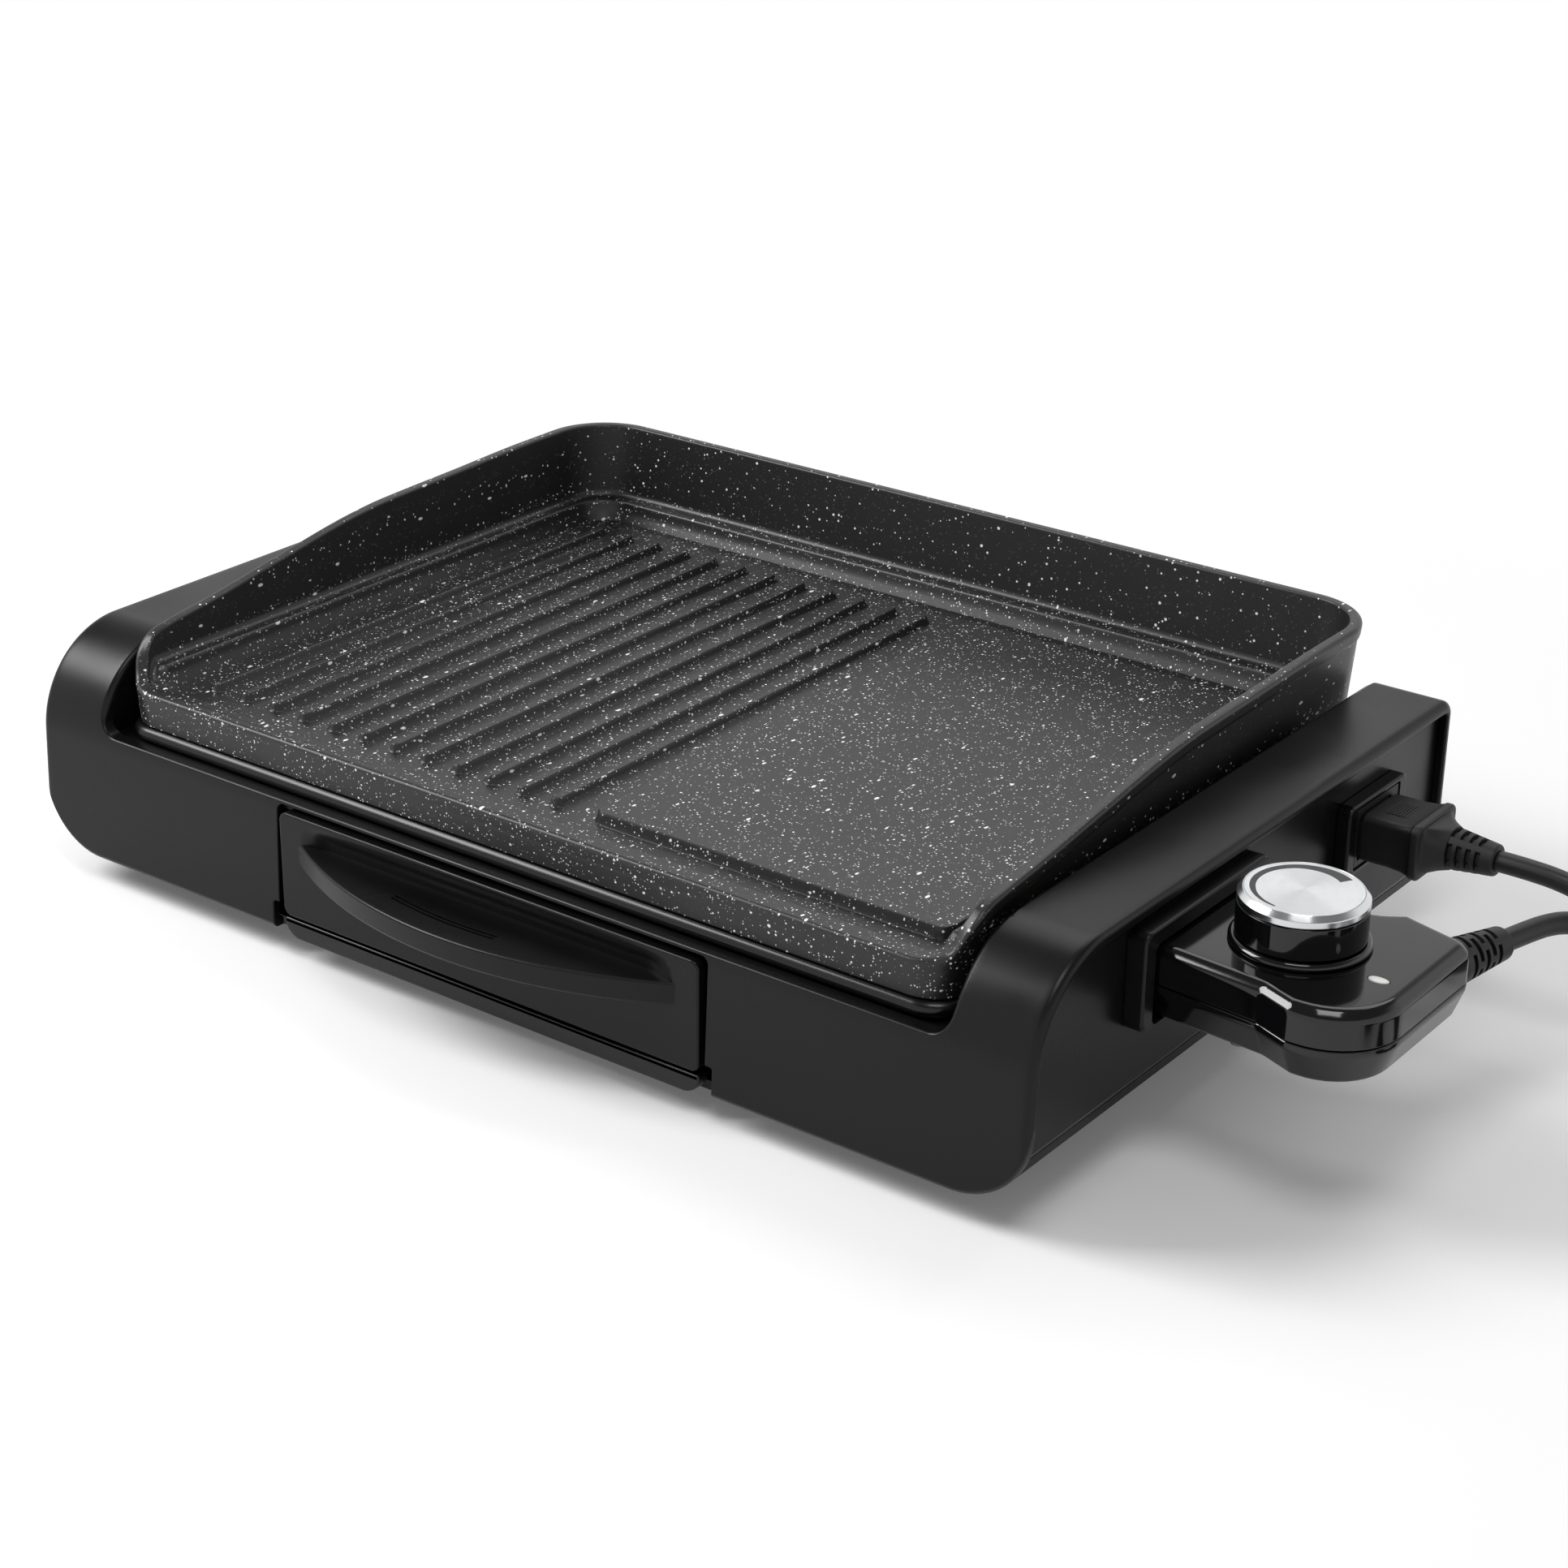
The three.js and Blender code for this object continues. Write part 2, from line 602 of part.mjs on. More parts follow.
function makeBase() {
  const above = body.top + OVERRUN;
  const inside = frontY + body.wall;
  const cavity = bodySolid(body.wall).subtract(prism("z", recessPlan(body.wall), deckUnder, above));
  const sideOpenings = [-1, 1].map((side) =>
    prism(
      "x",
      bodySide(panel.rim),
      ...ordered(side * (panelFace - panel.thickness), side * (sideX + OVERRUN)),
    ),
  );
  const panSeatX = recessHalf - body.deckLedge;
  const panSeatY = rearY - body.wall - body.deckLedge;
  const lowX = sideX - body.bottomLedge;
  const tools = [
    prism("z", recessPlan(0), body.lipTop, above),
    box(
      -recessHalf, recessHalf, frontY + body.lipWidth, rearY - body.lipWidth, deckTop,
      body.lipTop + OVERRUN,
    ),
    cavity,
    ...sideOpenings,
    prism(
      "z", roundedRect(-panSeatX, panSeatX, -panSeatY, panSeatY, pan.seatCorner), deckUnder - OVERRUN,
      above,
    ),
    box(-lowX, lowX, inside, -inside, body.underside - OVERRUN, body.underside + body.wall + OVERRUN),
    box(-openingHalf, openingHalf, frontY - OVERRUN * 2, frontY + opening.depth, 0, deckUnder),
    box(-openingHalf, openingHalf, frontY - OVERRUN * 2, inside, 0, openingTop),
    box(
      -openingHalf - opening.step, openingHalf + opening.step, frontY - OVERRUN * 2,
      frontY + opening.depth, 0, opening.stepHeight,
    ),
    box(
      recessHalf - OVERRUN, sideX, probeY - probe.noseHalf - probe.noseGap,
      probeY + probe.noseHalf + probe.noseGap, noseLow - CLEAR, noseHigh + CLEAR,
    ),
  ];
  const posts = fourCorners(postX, postY).map(([x, y]) =>
    bar("z", x, y, body.postRadius, body.underside, deckUnder + body.deckThickness / 2),
  );
  const postHoles = fourCorners(postX, postY).map(([x, y]) =>
    screwHole("z", x, y, body.underside - OVERRUN, body.underside + screw.holeDepth),
  );
  add("housing_shell", cutBy(cutBy(bodySolid(0), tools).add(joined(posts)), postHoles), finishes.shell);

  // Side panels: a skin that follows the base's section just inside its rim
  const skinBand = prism("y", bodySection(body.wall + CLEAR), frontY - OVERRUN, rearY + OVERRUN)
    .subtract(
      prism(
        "y", bodySection(body.wall + CLEAR + panel.thickness), frontY - OVERRUN * 2, rearY + OVERRUN * 2,
      ),
    )
    .intersect(prism("x", bodySide(body.wall + CLEAR), -sideX, sideX));
  const panelLow = postX + body.postRadius + 2 * CLEAR;
  for (const [side, name] of [[-1, "left"], [1, "right"]]) {
    const tall = box(
      ...ordered(side * (sideX - panel.reach), side * body.width), frontY, rearY, body.underside, body.top,
    );
    const hem = box(
      ...ordered(side * panelLow, side * body.width), frontY, rearY, body.underside,
      body.underside + body.bottomRound,
    );
    const region = tall.add(hem);
    let skinPiece = skinBand.intersect(region);
    if (side > 0) {
      skinPiece = cutBy(skinPiece, [
        prism(
          "x",
          roundedRect(
            probeY - sleeveHalf - CLEAR, probeY + sleeveHalf + CLEAR, sleeveLow - CLEAR, sleeveHigh + CLEAR,
            probeFrame.sleeveCorner + CLEAR,
          ),
          panelLow,
          sideX,
        ),
        box(
          panelLow, sideX, inletY - inlet.halfY - CLEAR, inletY + inlet.halfY + CLEAR,
          inletZ - inlet.halfZ - CLEAR, inletZ + inlet.halfZ + CLEAR,
        ),
      ]);
    }
    add(`side_panel_${name}`, skinPiece, finishes.shell);
  }

  // Bottom cover, its vents and the screws up into the posts
  const coverX = sideX - cover.sideInset;
  const coverY = rearY - cover.endInset;
  const vents = [];
  for (const side of [-1, 1]) {
    for (let i = 0; i < cover.ventCount; i++) {
      const y = (i - (cover.ventCount - 1) / 2) * cover.ventPitch;
      const x = side * (coverX + openingHalf) / 2;
      vents.push(
        box(
          x - cover.ventLength / 2, x + cover.ventLength / 2, y - cover.ventWidth / 2,
          y + cover.ventWidth / 2, coverUnder - OVERRUN, coverTop + OVERRUN,
        ),
      );
    }
  }
  const footX = sideX - foot.fromSide;
  const footY = rearY - foot.fromEnd;
  const coverHoles = [
    ...fourCorners(postX, postY).map(([x, y]) =>
      screwHole("z", x, y, coverUnder - OVERRUN, coverTop + OVERRUN),
    ),
    ...fourCorners(footX, footY).map(([x, y]) =>
      bore("z", x, y, foot.stemRadius, coverUnder - OVERRUN, coverTop + OVERRUN),
    ),
    ...[-1, 1].flatMap((side) => railTabs(side, CLEAR, coverUnder - OVERRUN)),
  ];
  const coverPlate = prism(
    "z", roundedRect(-coverX, coverX, -coverY, coverY, foot.radius), coverUnder, coverTop,
  );
  add("bottom_cover", cutBy(coverPlate, [...vents, ...coverHoles]), finishes.shell);
  fourCorners(postX, postY).forEach(([x, y], i) => {
    add(
      `cover_screw_${i + 1}`,
      screwAt("z", x, y, coverUnder - CLEAR, cover.thickness + screw.bite, 1),
      finishes.steel,
    );
  });

  // Feet: each has a stem through the cover and a round head that holds it
  const footNames = ["foot_front_left", "foot_front_right", "foot_rear_right", "foot_rear_left"];
  const footHeight = coverUnder - CLEAR;
  const headLow = coverTop + CLEAR;
  fourCorners(footX, footY).forEach(([x, y], i) => {
    const profile = [
      [0, 0], [foot.radius - foot.edge, 0], [foot.radius, foot.edge],
      [foot.radius, footHeight - foot.edge], [foot.radius - foot.edge, footHeight],
      [foot.stemRadius, footHeight], [foot.stemRadius, headLow], [foot.headRadius, headLow],
      [foot.stemRadius, headLow + foot.headHeight], [0, headLow + foot.headHeight],
    ];
    add(footNames[i], turned(profile, 20).translate(x, y, 0), finishes.rubber);
  });

  // Drawer rails: channels that hold the tray's side flanges
  const webX = trayHalf + tray.flange + rail.gap;
  const backX = webX + rail.wall;
  const lipX = webX - rail.lip;
  const floor = body.underside;
  const footTop = floor + rail.footThickness;
  const slotTop = trayTop + CLEAR;
  const slotLow = trayTop - tray.wall - CLEAR;
  const section = [
    [webX, floor], [backX + rail.footWidth, floor], [backX + rail.footWidth, footTop],
    [backX, footTop], [backX, slotTop + rail.wall], [lipX, slotTop + rail.wall], [lipX, slotTop],
    [webX, slotTop], [webX, slotLow], [lipX, slotLow], [lipX, slotLow - rail.wall],
    [webX, slotLow - rail.wall],
  ];
  for (const [side, name] of [[-1, "left"], [1, "right"]]) {
    const profile = section.map(([x, z]) => new THREE.Vector2(side * x, z));
    if (side < 0) profile.reverse();
    const channel = prism("y", profile, railFront, trayRear + CLEAR + rail.stop);
    const stop = box(
      ...ordered(side * lipX, side * backX), trayRear + CLEAR, trayRear + CLEAR + rail.stop,
      slotLow - rail.wall, slotTop + rail.wall,
    );
    add(
      `drawer_rail_${name}`,
      joined([channel, stop, ...railTabs(side, 0, coverUnder + CLEAR)]),
      finishes.steel,
    );
  }
}

// Tabs of a rail that stand in slots of the cover, grown by a clearance for the slots themselves
function railTabs(side, grow, low) {
  const x = side * (trayHalf + tray.flange + rail.gap + rail.wall / 2);
  const half = rail.tabThickness / 2 + grow;
  const length = rail.tabLength / 2 + grow;
  return [railFront + rail.tabLength, trayRear - rail.tabLength].map((y) =>
    box(
      x - half, x + half, y - length, y + length, low,
      body.underside + (grow > 0 ? OVERRUN : rail.footThickness / 2),
    ),
  );
}

// Stations round the plate: each knows how to place a point at an inset from the base outline
function plateStations() {
  const { frontCorner, rearCorner } = plate;
  const stations = [];
  const corner = (x, y, radius, from, steps) => {
    for (let i = 0; i <= steps; i++) {
      const angle = from + (QUARTER * i) / steps;
      stations.push((inset) => {
        const reach = Math.max(radius - inset, SMALLEST_ROUND);
        return [x + reach * Math.cos(angle), y + reach * Math.sin(angle)];
      });
    }
  };
  const side = (sign, shares) => {
    for (const share of shares) {
      const y = plateFront + share * (plateRear - plateFront);
      const straight = y > plateFront + frontCorner && y < plateRear - rearCorner;
      if (straight) stations.push((inset) => [sign * (plateHalf - inset), y]);
    }
  };
  const shares = wallShares.map(([share]) => share);
  corner(plateHalf - frontCorner, plateFront + frontCorner, frontCorner, -QUARTER, 5);
  side(1, shares);
  corner(plateHalf - rearCorner, plateRear - rearCorner, rearCorner, 0, 6);
  corner(rearCorner - plateHalf, plateRear - rearCorner, rearCorner, QUARTER, 6);
  side(-1, [...shares].reverse());
  corner(frontCorner - plateHalf, plateFront + frontCorner, frontCorner, 2 * QUARTER, 5);
  return stations;
}

// Height of the wall's top at a place along the plate's depth
function wallTop(y) {
  const share = THREE.MathUtils.clamp((y - plateFront) / (plateRear - plateFront), 0, 1);
  const after = Math.max(wallShares.findIndex(([place]) => place >= share), 1);
  const [[s0, h0], [s1, h1]] = [wallShares[after - 1], wallShares[after]];
  const rise = h0 + ((h1 - h0) * (share - s0)) / (s1 - s0);
  return plateUnder + THREE.MathUtils.lerp(plate.frontRise, plate.rearRise, rise);
}

// The wall's closed profile at one top height, as (inset, height) pairs
function wallProfile(top) {
  const out = (z) => plate.flareShare * (z - plateUnder);
  const beadLow = top - plate.beadHeight;
  const ledge = floorTop + Math.min(plate.ledgeRise, (top - floorTop) / 2);
  const ledgeStart = plate.wall + plate.beadStep - out(ledge);
  const ledgeEnd = ledgeStart + plate.ledgeWidth;
  return [
    [plate.beadStep, plateUnder],
    [plate.beadStep - out(beadLow), beadLow],
    [-out(beadLow), beadLow + plate.beadStep],
    [-out(top), top - plate.edge],
    [plate.edge - out(top), top],
    [plate.wall - out(top), top],
    [ledgeStart, ledge],
    [ledgeEnd, ledge],
    [ledgeEnd + plate.edge, (ledge + floorTop) / 2],
    [ledgeEnd + plate.ledgeFillet, floorTop],
    [ledgeEnd + plate.ledgeFillet, floorUnder],
    [plate.beadStep + plate.skirt + plate.edge, floorUnder],
    [plate.beadStep + plate.skirt, plateUnder],
  ];
}

function makePlate() {
  const stations = plateStations();
  const places = [];
  const faces = [];
  stations.forEach((place, s) => {
    const profile = wallProfile(wallTop(place(0)[1]));
    const count = profile.length;
    for (const [inset, z] of profile) places.push(at(...place(inset), z));
    const next = (s + 1) % stations.length;
    for (let i = 0; i < count; i++) {
      const j = (i + 1) % count;
      faces.push(
        s * count + i, next * count + i, next * count + j, s * count + i, next * count + j, s * count + j,
      );
    }
  });
  const ring = new THREE.BufferGeometry().setFromPoints(places);
  ring.setIndex(faces);
  const floorInset = plate.beadStep + plate.wall + plate.ledgeWidth;
  const floor = prism(
    "z",
    outline(stations.map((place) => new THREE.Vector2(...place(floorInset)))),
    floorUnder,
    floorTop,
  );

  // Ribs with sloping flanks and round ends
  const capsule = (x, half, front, rear) => outline(
    arc(x, rear - half, half, 0, 2 * QUARTER, 4), arc(x, front + half, half, 2 * QUARTER, 4 * QUARTER, 4),
  );
  const ribFirst = ribs.sideInset - plateHalf;
  const ribPitch = (flatZone.left - ribs.zoneGap - ribFirst) / (ribs.count - 1);
  const draft = (ribs.width - ribs.topWidth) / 2;
  const ribSolids = Array.from({ length: ribs.count }, (_, i) => {
    const level = (half, z, inset) => capsule(
      ribFirst + i * ribPitch, half, plateFront + ribs.frontInset + inset,
      plateRear - ribs.rearInset - inset,
    ).map((p) => at(p.x, p.y, z));
    return skin([
      level(ribs.width / 2, floorTop - plate.edge, 0),
      level(ribs.width / 2, floorTop, 0),
      level(ribs.topWidth / 2, floorTop + ribs.height, draft),
    ]);
  });
  const zone = roundedRect(
    flatZone.left, plateHalf - flatZone.sideInset, plateFront + flatZone.frontInset,
    plateRear - flatZone.rearInset, flatZone.corner,
  );
  const flat = stack(
    zone,
    [
      [floorTop - plate.edge, 0], [floorTop, 0],
      [floorTop + flatZone.rise, flatZone.draft],
    ],
  );
  const boss = box(
    bossLeft, bossRight, probeY - sensorBoss.half, probeY + sensorBoss.half,
    heaterZ - sensorBoss.drop, floorUnder + plate.edge,
  );
  const drainRight = plateHalf - drain.sideInset;
  const drainRear = plateRear - drain.rearInset;
  const tools = [
    bore("x", probeY, heaterZ, probe.rodRadius, rodStart - CLEAR, bossRight + OVERRUN),
    prism(
      "z",
      roundedRect(
        drainRight - drain.length, drainRight, drainRear - drain.width, drainRear, drain.width / 2,
      ),
      floorUnder - OVERRUN,
      floorTop + OVERRUN,
    ),
    box(
      heaterEnd + CLEAR, plateHalf + OVERRUN, probeY - probe.noseHalf, probeY + probe.noseHalf,
      plateUnder - OVERRUN, floorUnder,
    ),
  ];
  add(
    "griddle_plate",
    cutBy(joined([toSolid(ring), floor, flat, boss, ...ribSolids]), tools),
    finishes.stone,
  );

  // Heating tube in a loop under the floor, ending in two pins that face the probe
  const legs = [probeY + heater.spread, probeY - heater.spread];
  const left = heater.leftInset - plateHalf;
  const right = plateHalf - heater.rightInset;
  const corners = [
    [heaterEnd, legs[0]], [heaterReturn, legs[0]], [heaterReturn, heaterY], [left, heaterY],
    [left, -heaterY], [right, -heaterY], [right, legs[1]], [heaterEnd, legs[1]],
  ];
  const loop = bentPath(corners.map(([x, y]) => at(x, y, heaterZ)), heater.bend);
  const pins = legs.map((y) =>
    bar(
      "x", y, heaterZ, heater.pinRadius, heaterEnd - heater.pinReach, heaterEnd + heater.pinReach, 10,
    ),
  );
  add("plate_heater", joined([toSolid(tube(loop, heater.radius, 8)), ...pins]), finishes.steel);
  const clamp = strapFrame(heaterClamp, heaterReturn - heaterClamp.inset, heaterClamp.linkY, [
    -heaterY, heaterY,
  ], heater.radius, heaterZ);
  add("plate_heater_clamp", clamp, finishes.steel);
}

// Strap under tubes at height z, with saddles beside each: two cross straps at x and a link at linkY
function strapFrame(strap, x, linkY, tubeYs, tubeRadius, z) {
  const high = z - tubeRadius - CLEAR;
  const low = high - strap.thickness;
  const reach = Math.max(...tubeYs) + strap.overhang;
  const half = strap.width / 2;
  const base = [-x, x].map((middle) => box(middle - half, middle + half, -reach, reach, low, high));
  const link = box(-x, x, linkY - half, linkY + half, low, high);
  const inner = tubeRadius + CLEAR;
  const saddles = [-x, x].flatMap((middle) =>
    tubeYs.flatMap((y) =>
      [-1, 1].map((edge) =>
        box(
          middle - half, middle + half,
          ...ordered(y + edge * inner, y + edge * (inner + strap.thickness)), low,
          high + strap.saddleHeight,
        ),
      ),
    ),
  );
  return joined([...base, link, ...saddles]);
}

function makePan() {
  const inset = (d) => roundedRect(
    -panOuterX + d, panOuterX - d, -panOuterY + d, panOuterY - d, pan.corner - d / 2,
  );
  const under = panFlangeUnder;
  const stations = [];
  const centre = pan.beadRadius;
  for (
    const p of roundedRect(
      -panOuterX + centre, panOuterX - centre, -panOuterY + centre, panOuterY - centre,
      pan.corner - centre,
    )
  ) stations.push(p);
  const beadZ = under + pan.beadRadius;
  const sides = 8;
  const places = [];
  const faces = [];
  stations.forEach((p, s) => {
    const previous = stations[(s + stations.length - 1) % stations.length];
    const following = stations[(s + 1) % stations.length];
    const along = following.clone().sub(previous).normalize();
    const next = (s + 1) % stations.length;
    for (let i = 0; i < sides; i++) {
      const angle = (i * 2 * Math.PI) / sides + Math.PI / sides;
      const reach = pan.beadRadius / Math.cos(Math.PI / sides);
      const outward = reach * Math.cos(angle);
      places.push(at(p.x + along.y * outward, p.y - along.x * outward, beadZ + reach * Math.sin(angle)));
      const j = (i + 1) % sides;
      faces.push(
        s * sides + i, next * sides + i, next * sides + j, s * sides + i, next * sides + j, s * sides + j,
      );
    }
  });
  const beadRing = new THREE.BufferGeometry().setFromPoints(places);
  beadRing.setIndex(faces);
  const sheet = pan.sheet;
  const flange = prism("z", inset(pan.beadRadius), under, under + sheet);
  const outer = prism("z", inset(pan.wallInset), panFloorTop - sheet, under + sheet);
  const hollow = prism("z", inset(pan.wallInset + sheet), panFloorTop, under + sheet + OVERRUN);
  const spout = bar("z", 0, 0, pan.spoutRadius + sheet, spoutUnder, panFloorTop, 16);
  const legs = [lowerY, lower.innerHalf];
  const tools = [
    hollow,
    bar("z", 0, 0, pan.spoutRadius, spoutUnder - OVERRUN, panFloorTop + OVERRUN, 16),
    box(
      panOuterX - 2 * pan.beadRadius, panOuterX + OVERRUN, probeY - probe.noseHalf,
      probeY + probe.noseHalf, under + sheet + CLEAR, beadTop + OVERRUN,
    ),
    ...legs.map((y) =>
      bore(
        "x", y, lowerZ, lower.radius + CLEAR, panOuterX - pan.wallInset - OVERRUN,
        panOuterX - pan.wallInset + OVERRUN, 10,
      ),
    ),
  ];
  add("heat_pan", cutBy(joined([toSolid(beadRing), flange, outer, spout]), tools), finishes.enamel);

  // Lower heating tube in the pan, its pins and the blocks that it lies on
  const endX = panOuterX - pan.wallInset + lower.endReach;
  const innerX = lower.innerInset - lowerX;
  const corners = [
    [endX, lowerY], [-lowerX, lowerY], [-lowerX, -lowerY], [lowerX, -lowerY],
    [lowerX, -lower.innerHalf], [innerX, -lower.innerHalf], [innerX, lower.innerHalf],
    [endX, lower.innerHalf],
  ];
  const route = bentPath(corners.map(([x, y]) => at(x, y, lowerZ)), lower.bend);
  const pins = legs.map((y) =>
    bar("x", y, lowerZ, lower.pinRadius, endX - lower.pinReach, endX + lower.pinReach, 8),
  );
  add("lower_heater", joined([toSolid(tube(route, lower.radius, 8)), ...pins]), finishes.steel);
  const restX = lowerX - lowerRest.inset;
  const restReach = lowerY + lowerRest.overhang;
  const restMid = lowerZ - lower.radius - CLEAR - lowerRest.thickness / 2;
  const restLegs = [-restX, restX].flatMap((x) =>
    [-1, 1].map((end) =>
      box(
        x - lowerRest.legHalf, x + lowerRest.legHalf,
        ...ordered(end * restReach, end * (restReach - lowerRest.legLength)), panFloorTop + CLEAR,
        restMid,
      ),
    ),
  );
  const rest = strapFrame(lowerRest, restX, (lowerY + lower.innerHalf) / 2, [
    -lowerY, -lower.innerHalf, lower.innerHalf, lowerY,
  ], lower.radius, lowerZ);
  add("lower_heater_rest", joined([rest, ...restLegs]), finishes.steel);

  // Two wires from the inlet's tabs to the lower heater's pins
  const tabX = inletStart - inlet.tabLength - CLEAR;
  const wireX = inletStart - inlet.wireSetback;
  const wireEnd = endX + lower.pinReach + CLEAR;
  [inlet.pinSpread, -inlet.pinSpread].forEach((dy, i) => {
    const from = at(tabX, inletY + dy, inletZ - CLEAR);
    const to = at(wireEnd, legs[i], lowerZ);
    const path = bentPath([from, from.clone().setX(wireX), to.clone().setX(wireX), to], inlet.wireBend, 3);
    add(`inlet_wire_${i + 1}`, tube(path, inlet.wireRadius, 6), finishes.cable);
  });
}

// Segment of a circle on a chord, with a point list that runs along its arc
function crescent(halfChord, reach, chordY, steps) {
  const radius = (halfChord ** 2 + reach ** 2) / (2 * reach);
  const sweep = Math.asin(halfChord / radius);
  return arc(0, chordY - reach + radius, radius, -QUARTER - sweep, -QUARTER + sweep, steps);
}

function makeDrawer() {
  const front = fasciaFace;
  const back = front + fascia.thickness;
  const trayFloor = body.underside;
  const half = trayHalf;

  // Fascia with the crescent handle standing out of it and the scoop sunk behind it
  const plateSolid = prism(
    "y",
    roundedRect(-fascia.halfWidth, fascia.halfWidth, fascia.bottom, fasciaTop, fascia.corner),
    front,
    back,
  );
  const lip = prism(
    "z", crescent(handleHalf, handle.reach, front + CLEAR, 18), handleTop - handle.height, handleTop,
  );
  const grip = prism(
    "z",
    crescent(handleHalf - handle.gripInset, handle.reach - handle.wall, front, 18),
    0,
    handleTop - handle.wall,
  );
  const scoop = (growth) =>
    toSolid(
      new THREE.SphereGeometry(1, 20, 10).scale(
        handleHalf + growth, handle.scoopDepth + growth, handle.scoopRise + growth,
      ).translate(0, front, handleTop),
    );
  const scoopCasing = scoop(handle.scoopWall).intersect(
    box(-half, half, back - CLEAR, back + 4 * OVERRUN, handleTop - handle.scoopWall, deckUnder - CLEAR),
  );
  const scoopHollow = scoop(0).intersect(
    box(-half, half, front - 4 * OVERRUN, front + 4 * OVERRUN, handleTop, fasciaTop),
  );
  const bossPlaces = [-1, 1].map((side) => [side * half * fascia.bossShare, trayTop * fascia.bossShare]);
  const bosses = bossPlaces.map(([x, z]) =>
    bar("y", x, z, fascia.bossRadius, back - CLEAR, trayFront - tray.wall - CLEAR, 10),
  );
  const bossHoles = bossPlaces.map(([x, z]) =>
    screwHole("y", x, z, back - fascia.bossBite, trayFront + OVERRUN),
  );
  const fasciaSolid = cutBy(
    joined([plateSolid, lip, scoopCasing, ...bosses]),
    [grip.subtract(box(-half, half, front, back, 0, body.top)), scoopHollow, ...bossHoles],
  );
  add("drawer_front", fasciaSolid, finishes.shell, drawer);

  // Tray with side flanges, and the lip that shows below the fascia
  const outer = prism(
    "z",
    roundedRect(-half, half, trayFront - tray.wall, trayRear, tray.corner),
    trayFloor,
    trayTop,
  );
  const hollow = prism(
    "z",
    roundedRect(
      -half + tray.wall, half - tray.wall, trayFront, trayRear - tray.wall, tray.corner - tray.wall,
    ),
    trayFloor + tray.wall,
    trayTop + OVERRUN,
  );
  const flanges = [-1, 1].map((side) =>
    box(
      ...ordered(side * (half - CLEAR), side * (half + tray.flange)), trayFront + tray.corner,
      trayRear - tray.corner + CLEAR, trayTop - tray.wall, trayTop,
    ),
  );
  const rearTabs = [-1, 1].map((side) =>
    box(
      ...ordered(side * (half - tray.corner), side * (half + tray.flange)), trayRear - tray.corner,
      trayRear, trayTop - tray.wall, trayTop,
    ),
  );
  const lipPiece = prism(
    "y",
    roundedRect(
      -fascia.halfWidth, fascia.halfWidth, body.underside - tray.lipDrop, fascia.bottom - tray.lipGap,
      tray.lipCorner, CLEAR,
    ),
    front + CLEAR,
    trayFront - tray.wall + CLEAR,
  );
  const trayHoles = bossPlaces.map(([x, z]) =>
    screwHole("y", x, z, trayFront - 2 * tray.wall, trayFront + OVERRUN),
  );
  const traySolid = cutBy(joined([outer, ...flanges, ...rearTabs, lipPiece]), [hollow, ...trayHoles]);
  add("drip_tray", traySolid, finishes.enamel, drawer);
  bossPlaces.forEach(([x, z], i) => {
    add(
      `drawer_screw_${i + 1}`,
      screwAt("y", x, z, trayFront + CLEAR, fascia.screwReach, -1),
      finishes.steel,
      drawer,
    );
  });
}

// Plan of the probe's body: a neck that flares into a head with a large round at its front outer corner
function probePlan() {
  const { neckHalf, headHalf, flareLength, headLength, rearRound } = probe;
  const headStart = neckEnd + flareLength;
  const frontRound = Math.min(probe.frontRound, headLength - flareLength);
  const [front, rear] = [probeY - headHalf, probeY + headHalf];
  const out = rearRound * flareShares.out;
  return outline(
    [new THREE.Vector2(probeStart, probeY - neckHalf), new THREE.Vector2(neckEnd, probeY - neckHalf)],
    [
      new THREE.Vector2(neckEnd + flareLength * flareShares.front, front + out),
      new THREE.Vector2(headStart, front),
    ],
    arc(probeReach - frontRound, front + frontRound, frontRound, -QUARTER, 0, 6),
    arc(probeReach - rearRound, rear - rearRound - probe.reliefDrop, rearRound, 0, QUARTER, 3),
    [
      new THREE.Vector2(headStart, rear),
      new THREE.Vector2(neckEnd + flareLength * flareShares.rear, probeY + neckHalf + out),
    ],
    [new THREE.Vector2(neckEnd, probeY + neckHalf), new THREE.Vector2(probeStart, probeY + neckHalf)],
  );
}

// Ribbed strain relief along +Z from its root at z = 0; the neck below it sits in the housing
function reliefSolid(length) {
  const { rootRadius, tipRadius, ribPitch, ribDepth, neckLength, neckRadius, coneLength } = relief;
  const count = Math.round((length - coneLength) / ribPitch);
  const profile = [[0, -neckLength], [neckRadius, -neckLength], [neckRadius, 0], [rootRadius, 0]];
  const ribLength = (length - coneLength) / count;
  for (let i = 0; i < count; i++) {
    const z = coneLength + i * ribLength;
    const radius = THREE.MathUtils.lerp(rootRadius, tipRadius, i / count);
    profile.push(
      [radius, z],
      [radius - ribDepth, z + ribLength * grooveShares.start],
      [radius - ribDepth, z + ribLength * grooveShares.end],
      [radius, z + ribLength * grooveShares.full],
    );
  }
  profile.push([tipRadius, length], [0, length]);
  return turned(profile, 14);
}

